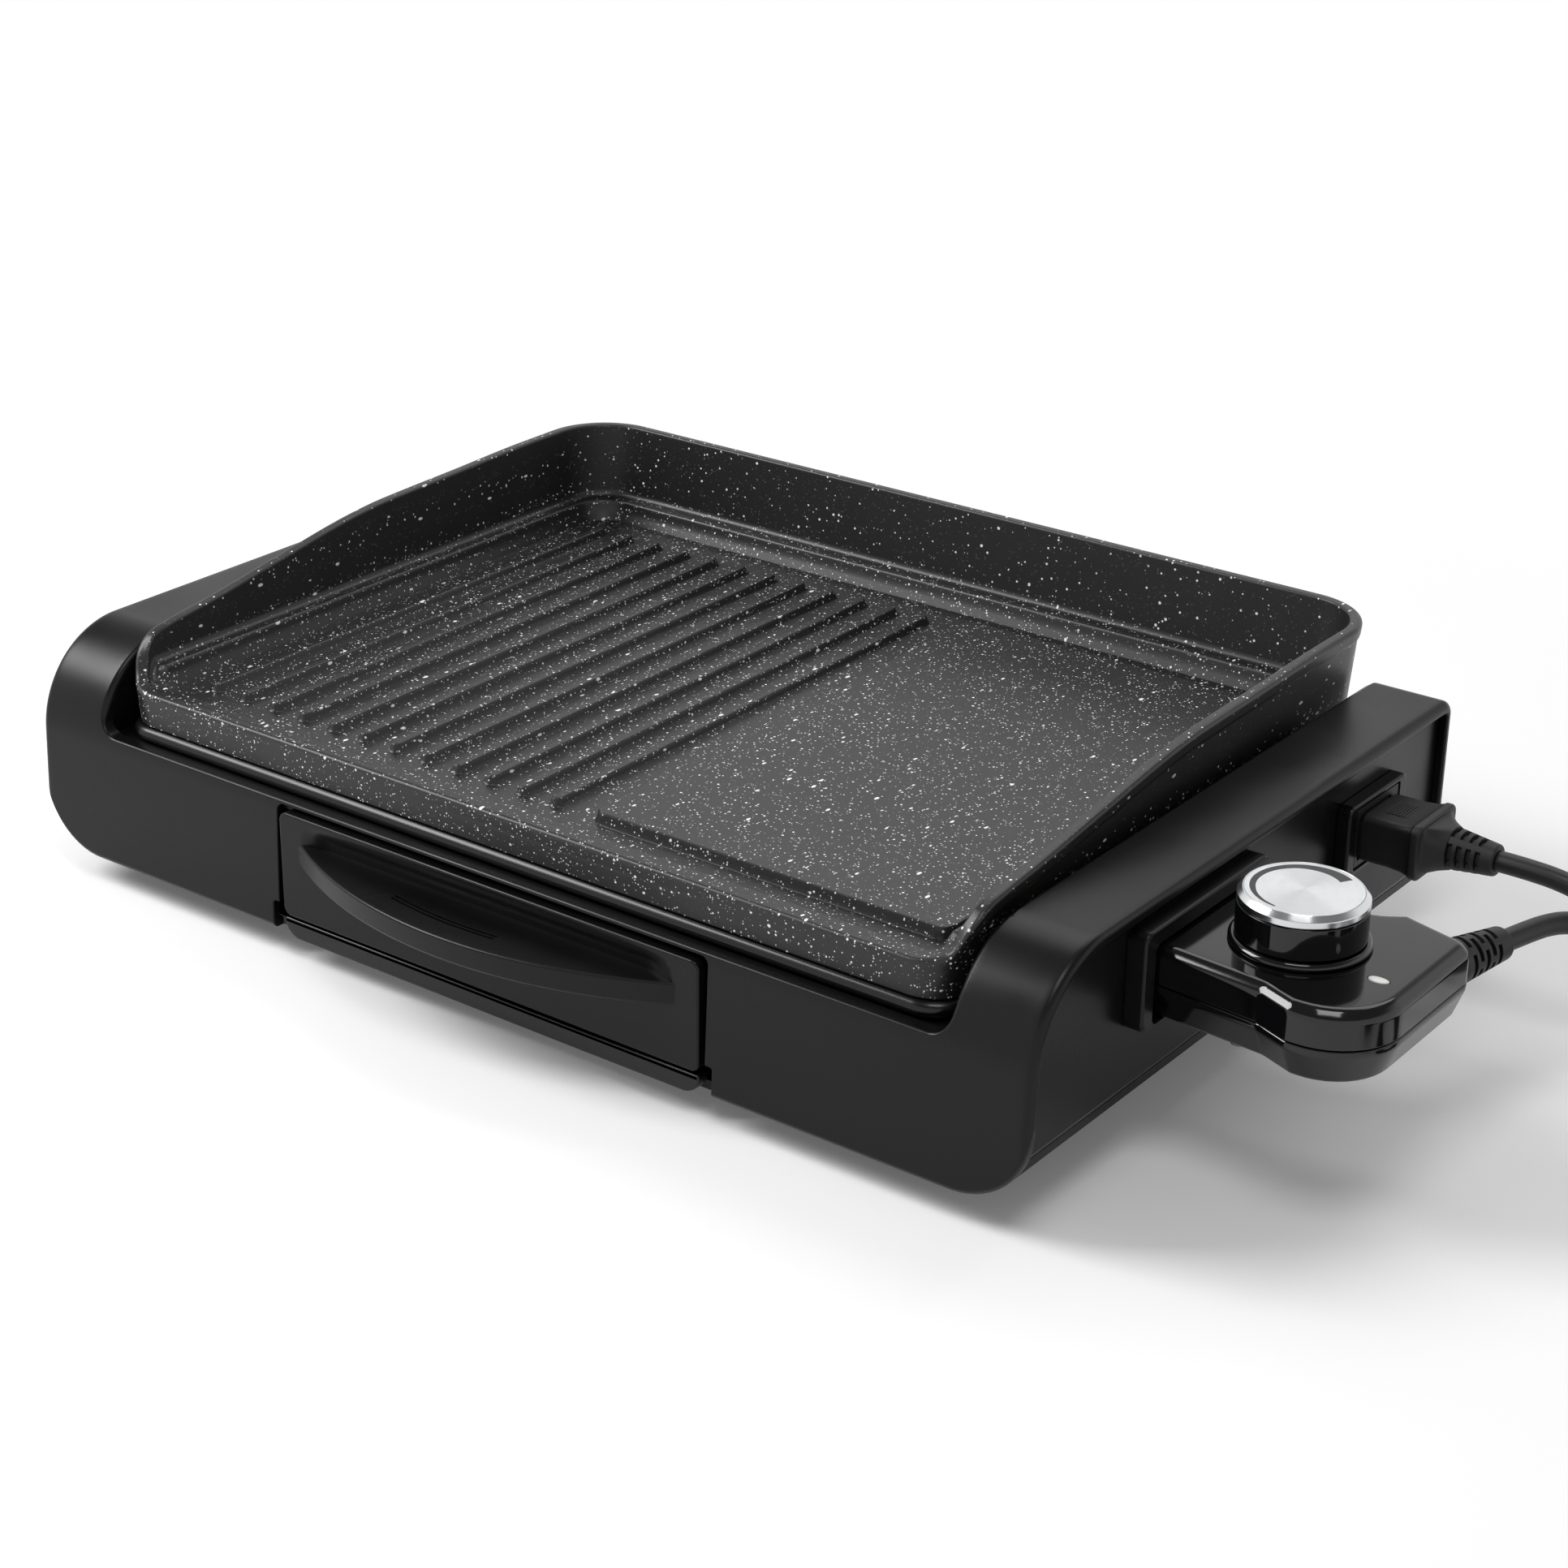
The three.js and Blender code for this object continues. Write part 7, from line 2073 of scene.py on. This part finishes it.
@dataclass
class Inlet(Assembly):
    """The appliance inlet in its frame, and the connector of the mains lead in it."""

    y: float = 79.0
    z: float = 63.5
    half_y: float = 13.2
    half_z: float = 8.6
    start: float = 222.4
    flange: float = 241.2
    flange_end: float = 244.4
    relief_start: float = 247.7
    ridges: int = 8
    first_ridge: float = 5.4
    ridge_pitch: float = 1.15
    ridge_half: float = 5.6

    def section(self, half_y: float, half_z: float, corner: float) -> np.ndarray:
        """Rounded rectangle round the inlet's axis."""
        low, high = (self.y - half_y, self.z - half_z), (self.y + half_y, self.z + half_z)
        return rounded_box(low, high, (corner,) * 4, 12)

    def connector(self) -> bpy.types.Object:
        """Makes the connector: its sections widen to a flange, then a shoulder narrows to a round.

        Returns:
            The piece.
        """
        y, z = self.half_y, self.half_z
        stations = np.array([
            [self.start, y - 0.5, z - 0.5, 2.2], [self.start + 0.15, y - 0.15, z - 0.15, 2.4],
            [self.start + 0.5, y, z, 2.5], [self.flange - 8, y, z, 2.5],
            [self.flange - 3, y + 0.3, z + 0.4, 2.6], [self.flange - 0.8, y + 0.8, z + 0.9, 2.8],
            [self.flange, y + 1.1, z + 1.2, 3], [self.flange + 0.3, y + 1.5, z + 1.5, 3.3],
            [self.flange + 0.8, y + 1.6, z + 1.6, 3.4], [self.flange_end - 0.7, y + 1.6, z + 1.6, 3.4],
            [self.flange_end - 0.2, y + 1.3, z + 1.35, 3.4], [self.flange_end, y + 0.7, z + 0.9, 3.6],
            [self.flange_end + 0.05, y - 0.6, z + 0.2, 4], [self.flange_end + 0.7, y - 1.4, z - 0.1, 4.6],
            [self.flange_end + 1.9, y - 2.3, z - 0.3, 5.6],
            [self.flange_end + 3.8, y - 3.4, z - 0.6, 7.0], [self.flange_end + 5.6, 8.8, 7.9, 7.7],
            [self.flange_end + 6.9, 8.0, 7.7, 7.65], [self.flange_end + 7.0, 7.0, 7.0, 6.95],
        ])
        rings = np.stack([self.section(*row[1:]) for row in stations])
        piece = solid("inlet_connector_finished", stood(0, rings, stations[:, 0]), SOFT_SHARP)
        a, b, cut = 12.2, 8.2, 4.0
        nose = np.array([[-a, -b], [a, -b], [a, b - cut], [a - cut, b], [cut - a, b], [-a, b - cut]])
        nose = softened(nose + (self.y, self.z), np.full(6, 0.8))
        parts = [prism("nose", 0, nose, 208, self.start + 1)]
        top = self.z + z
        ridge = np.array([[-0.3, -0.3], [0.3, -0.3], [0.26, 0.25], [0.12, 0.4], [-0.12, 0.4], [-0.26, 0.25]])
        for number in range(self.ridges):
            outline = ridge + (self.start + self.first_ridge + self.ridge_pitch * number, top)
            parts.append(
                prism("ridge", 1, outline, self.y - self.ridge_half, self.y + self.ridge_half)
            )
        worked(piece, parts, Join.ADD, SOFT_SHARP)
        ways = [
            block(
                "blade_way", (207, self.y + dy - 1.3, self.z + dz - 2.3),
                (216.6, self.y + dy + 1.3, self.z + dz + 2.3),
            )
            for dy, dz in ((-7, -0.3), (7, -0.3), (0, 4))
        ]
        worked(piece, ways, Join.CUT, SOFT_SHARP)
        return self.hand_over(piece, Body.BASE, "moulded_pvc", ("inlet_connector",))

    def frame_ring(self) -> None:
        """Makes the frame round the socket: its section has soft edges on both faces."""
        levels = np.array([
            [217.0, 0.0], [220.9, 0.0], [221.5, 0.15], [221.85, 0.5], [222.0, 1.0],
        ])
        piece = lofted(
            "inlet_frame_finished", 0, levels,
            lambda inset: self.section(21 - inset, 13.5 - inset, 3 - inset / 2),
        )
        inner = np.array([[216.0, 0.0], [220.9, 0.0], [221.6, 0.25], [222.3, 0.9]])
        way = lofted(
            "way", 0, inner, lambda grow: self.section(15.3 + grow, 11.3 + grow, 0.6 + grow)
        )
        worked(piece, [way], Join.CUT)
        self.hand_over(piece, Body.BASE, "satin_polyester", ("inlet_frame",))

    def build(self) -> list[bpy.types.Object]:
        """Makes the pieces.

        Returns:
            The pieces that are on the lead.
        """
        self.frame_ring()
        self.refined("inlet_socket", Body.BASE, "moulded_pvc", 0.3)
        for number in (1, 2, 3):
            self.refined(f"inlet_pin_{number}", Body.BASE, "drawn_brass", 0.25)
        connector = self.connector()
        relief = self.relief(
            "inlet_connector_relief", (self.relief_start, self.y, self.z), (1.0, 0.0, 0.0), 20.0, 4,
            0.0,
        )
        return [connector, relief]


# The pan and the drawer


@dataclass
class HeatPan(Assembly):
    """The enamelled pan under the plate, with its rolled bead and the fat spout."""

    half_x: float = 184.5
    half_y: float = 131.5
    corner: float = 14.0
    bead: float = 3.0
    bead_height: float = 63.0
    sheet: float = 1.2
    floor_top: float = 43.2
    wall_inset: float = 7.0

    def outline(self, inset: float) -> np.ndarray:
        """Plan of the pan, drawn in.

        Args:
            inset: How far it is drawn in.

        Returns:
            The outline.
        """
        radius = max(self.corner - inset, 1.0)
        high = (self.half_x, self.half_y)
        return drawn_in(np.negative(high), high, inset, radius, 16)

    def build(self) -> None:
        """Makes the sheet: a bead, a flange, a round into the wall and one into the floor."""
        mid, sheet, wall = self.bead_height, self.sheet, self.wall_inset
        flange = mid - self.bead
        turn = np.linspace(-0.48 * math.pi, 1.2 * math.pi, 27)
        roll = np.stack([self.bead - self.bead * np.cos(turn), mid + self.bead * np.sin(turn)], -1)
        inner = softened(np.array([
            [self.bead + 2.7, flange + sheet], [wall + sheet, flange + sheet],
            [wall + sheet, self.floor_top], [wall + 20, self.floor_top],
            [wall + 20, self.floor_top - sheet], [wall, self.floor_top - sheet], [wall, flange],
            [self.bead, flange],
        ])[None], np.array([0.1, 1.6, 4.0, 0.05, 0.05, 5.0, 0.6, 0.1]))[0]
        piece = folded("heat_pan_finished", np.concatenate([roll, inner]), self.outline)
        bed = self.outline(wall + 12)
        worked(piece, [
            prism("bed", 2, bed, self.floor_top - sheet, self.floor_top),
            rod("spout", (0, 0, 38.5), (0, 0, self.floor_top - 0.1), 16.2, 64),
        ], Join.ADD, SOFT_SHARP)
        tools = [
            rod("spout_way", (0, 0, 38), (0, 0, self.floor_top + 1), 15, 64),
            block("notch", (178.5, -63, flange + sheet + 0.3), (186, -21, 67)),
            *(rod("heater_way", (175, y, 52), (180, y, 52), 3.5) for y in (30, 85)),
        ]
        worked(piece, tools, Join.CUT, SOFT_SHARP)
        self.hand_over(piece, Body.BASE, "vitreous_enamel", ("heat_pan",))


@dataclass
class Drawer(Assembly):
    """The drip drawer: front with a crescent handle, and the enamelled tray behind it."""

    half: float = 94.3
    face: float = -139.6
    back: float = -135.4
    low: float = 17.2
    top: float = 57.7
    corner: float = 3.5
    handle_half: float = 85.0
    reach: float = 23.0
    handle_low: float = 39.0
    handle_top: float = 47.5
    scoop_depth: float = 2.6
    tray_half: float = 86.0
    tray_rear: float = 60.0
    tray_front: float = -134.8
    tray_floor: float = 10.0
    tray_top: float = 37.0
    tray_wall: float = 1.8
    screw_aside: float = 68.8
    screw_height: float = 29.6
    groove_radii: tuple[float, float] = (159.2, 157.4)
    groove_ends: tuple[float, float] = (-30.0, 18.0)
    groove_half: float = 0.4
    groove_depth: float = 0.8
    grip_ends: float = 10.4
    grip_wall: float = 2.6
    scoop_ends: float = 14.0
    scoop_fall: float = 8.5
    scoop_top: float = 57.0
    tray_corner: float = 6.0
    lip_low: float = 8.6
    lip_top: float = 16.2
    lip_corner: float = 7.0

    def bow(self, half: float, reach: float) -> tuple[float, float]:
        """Gives a bow's circle: its radius (half^2 + reach^2) / (2 reach) and its middle's Y."""
        radius = (half**2 + reach**2) / (2 * reach)
        return radius, self.face - reach + radius

    def screw_bars(
        self, name: str, start: float, end: float, radius: float
    ) -> list[bpy.types.Object]:
        """Makes a bar along Y at each of the two screws, as bosses or as tools for drilling."""
        return [
            rod(name, (x, start, self.screw_height), (x, end, self.screw_height), radius)
            for x in (-self.screw_aside, self.screw_aside)
        ]

    def crescent(self, half: float, reach: float, chord: float, inset: float = 0.0) -> np.ndarray:
        """Plan of a circle's segment in front of a chord, its arc drawn in.

        Args:
            half: Half the segment's width at the fascia.
            reach: How far it stands out of the fascia.
            chord: Where the chord lies, in Y.
            inset: How far the arc is drawn in.

        Returns:
            The outline; its last point joins its first along the chord.
        """
        radius, centre = self.bow(half, reach)
        swing = math.acos((centre - chord) / (radius - inset))
        return arc_points(
            (0.0, centre), radius - inset, -QUARTER_TURN - swing, -QUARTER_TURN + swing, 128
        )

    def scoop(self) -> bpy.types.Object:
        """Makes the tool for the scoop: depth eases in from both ends and down from the top.

        Returns:
            The tool.
        """
        half, top = self.handle_half, self.scoop_top
        x, z = np.meshgrid(np.linspace(-half, half, 86), np.linspace(self.handle_top, top + 0.2, 25))
        ends = smooth_step((half - np.abs(x)) / self.scoop_ends)
        depth = self.scoop_depth * ends * smooth_step((top - z) / self.scoop_fall)
        shell = Shell()
        inner = shell.grid(np.stack([x, self.face + depth - 0.03, z], -1))
        outer = shell.grid(np.stack([x, np.full_like(x, self.face - 4), z], -1))
        for edge in (np.s_[0], np.s_[-1], np.s_[:, 0], np.s_[:, -1]):
            shell.strip(inner[edge], outer[edge], False)
        return shell.piece("scoop")

    def front(self) -> None:
        """Makes the front: fascia with soft edges, the crescent, its grip, the scoop and two grooves."""
        levels = np.array([
            [self.back, 0.4], [self.back - 0.4, 0], [self.face + 0.9, 0], [self.face + 0.5, 0.07],
            [self.face + 0.2, 0.3], [self.face + 0.05, 0.6], [self.face, 0.95],
        ])
        piece = lofted("drawer_front_finished", 1, levels, lambda inset: drawn_in(
            (-self.half, self.low), (self.half, self.top), inset, self.corner - inset
        ))
        low, high = self.handle_low, self.handle_top
        lip = np.array([
            [low, 1.2], [low + 0.12, 0.7], [low + 0.4, 0.33], [low + 0.8, 0.08], [low + 1.3, 0],
            [high - 1.1, 0], [high - 0.7, 0.07], [high - 0.35, 0.3], [high - 0.1, 0.65], [high, 1.1],
        ])
        chord = self.face + 1.2
        handle = lofted(
            "lip", 2, lip, lambda inset: self.crescent(self.handle_half, self.reach, chord, inset)
        )
        bosses = self.screw_bars("boss", self.back - 0.3, self.back + 0.3, 3.5)
        worked(piece, [handle, *bosses], Join.ADD)
        wall, depth = self.grip_wall, self.groove_depth
        grip = self.crescent(self.handle_half - self.grip_ends, self.reach - wall, self.face - 0.01)
        cuts = [prism("grip", 2, grip, low - 5, high - wall), self.scoop()]
        _, centre = self.bow(self.handle_half, self.reach)
        for line in self.groove_radii:
            ends = [math.asin(x / line) - QUARTER_TURN for x in self.groove_ends]
            outer = arc_points((0.0, centre), line + self.groove_half, *ends, 48)
            inner = arc_points((0.0, centre), line - self.groove_half, *ends, 48)[::-1]
            cuts.append(prism("groove", 2, np.concatenate([outer, inner]), high - depth, high + 1))
        cuts.extend(self.screw_bars("screw_way", self.back - 2, self.back + 2, SCREW_HOLE))
        worked(piece, cuts, Join.CUT)
        self.hand_over(piece, Body.DRAWER, "satin_polyester", ("drawer_front",))

    def tray_plan(self, inset: float) -> np.ndarray:
        """Plan of the tray, drawn in.

        Args:
            inset: How far it is drawn in.

        Returns:
            The outline.
        """
        low, high = (-self.tray_half, self.tray_front), (self.tray_half, self.tray_rear)
        return drawn_in(low, high, inset, max(self.tray_corner - inset, 0.8))

    def tray(self) -> None:
        """Makes the tray: a wall with rounds at its foot, the floor, side flanges and the front lip."""
        floor, wall, top = self.tray_floor, self.tray_wall, self.tray_top
        profile = softened(np.array([
            [16, floor], [0, floor], [0, top], [wall, top], [wall, floor + wall], [16, floor + wall],
        ])[None], np.array([0.05, 2.6, 0.5, 0.5, 3.6, 0.05]))[0]
        piece = folded("drip_tray_finished", profile, self.tray_plan)
        parts = [prism("bed", 2, self.tray_plan(12), floor, floor + wall)]
        for side in (-1, 1):
            x0, x1 = sorted((side * (self.tray_half - 0.9), side * (self.tray_half + 4)))
            edge = rounded_box(
                (x0, self.tray_front + 6), (x1, self.tray_rear - 0.5), (0.8,) * 4, 4
            )
            parts.append(prism("flange", 2, edge, top - wall, top - 0.02))
        levels = np.array([
            [self.face + 0.3, 0.8], [self.face + 0.36, 0.45], [self.face + 0.55, 0.15],
            [self.face + 1.0, 0.0], [self.tray_front + 0.3, 0.0],
        ])
        parts.append(lofted("lip", 1, levels, lambda inset: rounded_box(
            (inset - self.half, self.lip_low + inset), (self.half - inset, self.lip_top - inset),
            (self.lip_corner - inset, 0.8, 0.8, self.lip_corner - inset),
        )))
        worked(piece, parts, Join.ADD, SOFT_SHARP)
        ways = self.screw_bars(
            "screw_way", self.tray_front - 1, self.tray_front + 3, SCREW_HOLE
        )
        worked(piece, ways, Join.CUT, SOFT_SHARP)
        self.hand_over(piece, Body.DRAWER, "vitreous_enamel", ("drip_tray",))

    def build(self) -> None:
        """Makes the drawer."""
        self.front()
        self.tray()
        for number in (1, 2):
            self.refined(f"drawer_screw_{number}", Body.DRAWER, "plated_steel", 0.2)


# The leads


@dataclass
class Lead(Assembly):
    """A lead: out of its strain relief, down to the table, and put away in a coil with its plug.

    The coil lies in two layers: its radius shrinks by a pitch a turn, the lead climbs one layer in
    half a turn, and the radius grows again.
    """

    name: str = "inlet_lead"
    run: tuple[tuple[float, float, float], ...] = ()
    middle: tuple[float, float] = (0.0, 0.0)
    start_angle: float = 0.0
    turn_way: int = 1
    diameter: float = 7.5
    layer_gap: float = 0.7
    rest: float = 0.15
    mid_radius: float = 40.0
    turns: float = 1.875
    climb: float = 0.5
    per_turn: int = 24
    tail: float = 42.0
    plug_radius: float = 18.0
    gap: float = 0.3
    run_points: int = 22
    length: float = field(init=False, default=0.0)
    exit: np.ndarray | None = field(init=False, default=None)

    def coil(self) -> tuple[np.ndarray, np.ndarray]:
        """Works out the coil and the tail that leads to the plug.

        Returns:
            The coil's places and its direction at the start.
        """
        pitch = self.diameter + self.layer_gap
        outer = self.mid_radius + pitch * self.turns / 2
        total = 2 * self.turns + self.climb
        wound_so_far = np.linspace(0.0, total, round(total * self.per_turn) + 1)
        radius = outer - pitch * np.minimum(wound_so_far, total - wound_so_far)
        angle = self.start_angle + self.turn_way * wound_so_far * FULL_TURN
        low = self.diameter / 2 + self.rest
        z = low + pitch * smooth_step((wound_so_far - self.turns) / self.climb)
        x = self.middle[0] + radius * np.cos(angle)
        y = self.middle[1] + radius * np.sin(angle)
        wound = np.stack([x, y, z], -1)
        ways = self.turn_way * np.stack([-np.sin(angle), np.cos(angle), np.zeros_like(angle)], -1)
        lead_in = wound[:1] - ways[:1] * self.diameter
        shares = np.array([0.2, 0.4, 0.6, 0.8, 1.0])[:, None]
        rise = np.clip(shares / 0.8, 0.0, 1.0)
        rise = rise * rise * (3 - 2 * rise)
        tail = wound[-1:] + ways[-1:] * self.tail * shares
        tail[:, 2] = (z[-1] + (self.plug_radius + self.rest - z[-1]) * rise)[:, 0]
        return np.concatenate([lead_in, wound, tail]), ways[0]

    def route(self) -> np.ndarray:
        """Works out the whole centreline, from the strain relief to the plug.

        Returns:
            Its places.
        """
        coil, start_way = self.coil()
        coil_start = coil[0] - self.gap * start_way
        before = coil_start - self.diameter * start_way
        free = smooth_route(np.array([*self.run, before]), 12)
        return np.concatenate([evenly_spread(free, self.run_points), coil])

    def cord(self) -> bpy.types.Object:
        """Lays the lead as one curve through its route, and notes its length and its exit.

        Returns:
            The curve's object.
        """
        places = in_frame(self.route())
        line = bpy.data.curves.new(self.name, "CURVE")
        line.dimensions = "3D"
        spline = line.splines.new("BEZIER")
        spline.bezier_points.add(len(places) - 1)
        before, after = bezier_handles(places)
        spline.bezier_points.foreach_set("co", places.ravel())
        spline.bezier_points.foreach_set("handle_left", before.ravel())
        spline.bezier_points.foreach_set("handle_right", after.ravel())
        spline.resolution_u = 5
        line.bevel_depth = self.diameter / 2 * MM
        line.bevel_resolution = 6
        line.use_fill_caps = True
        piece = bpy.data.objects.new(self.name, line)
        bpy.context.collection.objects.link(piece)
        self.hand_over(
            piece, Body.BASE, "extruded_pvc", (f"{self.name}_run", f"{self.name}_coil")
        )
        steps = np.linalg.norm(np.diff(places, axis=0), axis=1)
        self.length = float(steps.sum())
        self.exit = places[0]
        return piece


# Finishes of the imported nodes, those under a finished piece too
NODE_FINISHES = {
    "satin_polyester": (
        "housing_shell", "side_panel_left", "side_panel_right", "bottom_cover", "drawer_front",
        "inlet_frame", "probe_socket_frame",
    ),
    "polished_phenolic": (
        "probe_upper_shell", "probe_lower_shell", "knob_collar", "knob_skirt",
    ),
    "vitreous_enamel": ("heat_pan", "drip_tray"),
    "stone_nonstick": ("griddle_plate",),
    "polished_aluminium": ("knob_cap",),
    "moulded_pvc": (
        "foot_front_left", "foot_front_right", "foot_rear_right", "foot_rear_left",
        "inlet_socket", "inlet_connector", "inlet_connector_relief", "probe_nose",
        "probe_strain_relief", "inlet_lead_plug", "probe_lead_plug",
    ),
    "lamp_lens": ("indicator_lens",),
    "plated_steel": (
        "cover_screw_1", "cover_screw_2", "cover_screw_3", "cover_screw_4",
        "drawer_rail_left", "drawer_rail_right", "lower_heater_rest", "plate_heater_clamp",
        "drawer_screw_1", "drawer_screw_2",
        "knob_spindle", "inlet_lead_plug_pins", "probe_lead_plug_pins", "sensing_rod",
    ),
    "heated_alloy": ("lower_heater", "plate_heater", "probe_screw_1", "probe_screw_2"),
    "drawn_brass": (
        "inlet_pin_1", "inlet_pin_2", "inlet_pin_3", "probe_contact_1", "probe_contact_2",
        "indicator_lamp",
    ),
    "steatite": ("thermostat_switch",),
    "extruded_pvc": ("inlet_wire_1", "inlet_wire_2", "probe_inner_lead"),
}


def main() -> None:
    """Builds the studio and the sub-assemblies in order."""
    logging.basicConfig(level=logging.INFO, format="%(name)s: %(message)s")
    Studio().build()
    finishes = Finishes()
    inlet_lead = Lead(
        finishes, "inlet_lead",
        (
            (268, 79, 63.5), (280, 79, 63.5), (293, 79.2, 62.3), (306, 80, 58), (317.5, 82, 49.5),
            (327, 85.5, 38.5), (336, 90, 26.5), (346, 96, 15), (357, 103, 7), (367, 109.5, 4.2),
        ),
        (362, 164), -1.02, 1,
    )
    probe_lead = Lead(
        finishes, "probe_lead",
        (
            (296.27, 20.38, 65), (299, 30.2, 65), (302.3, 40.5, 64.9), (307.5, 49.5, 64),
            (315, 56, 61.5), (327, 61.5, 54.5), (340, 63, 44.5), (353, 62, 33), (366, 59.5, 21.5),
            (379, 55.5, 11.5), (391, 50.5, 5.6),
        ),
        (402, -2), 1.37, -1,
    )
    GriddlePlate(finishes).build()
    Base(finishes).build()
    Thermostat(finishes).build()
    carried = {inlet_lead.name: Inlet(finishes).build(), probe_lead.name: []}
    HeatPan(finishes).build()
    Drawer(finishes).build()
    for lead in (inlet_lead, probe_lead):
        piece = lead.cord()
        plug = lead.refined(f"{lead.name}_plug", Body.BASE, "moulded_pvc", 0.5)
        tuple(lead.exit)
        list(carried[lead.name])
        LOG.info("%s is %.3f m long", lead.name, lead.length)
    for finish, names in NODE_FINISHES.items():
        for name in names:
            finishes.give_node(name, finish)


if __name__ == "__main__":
    main()
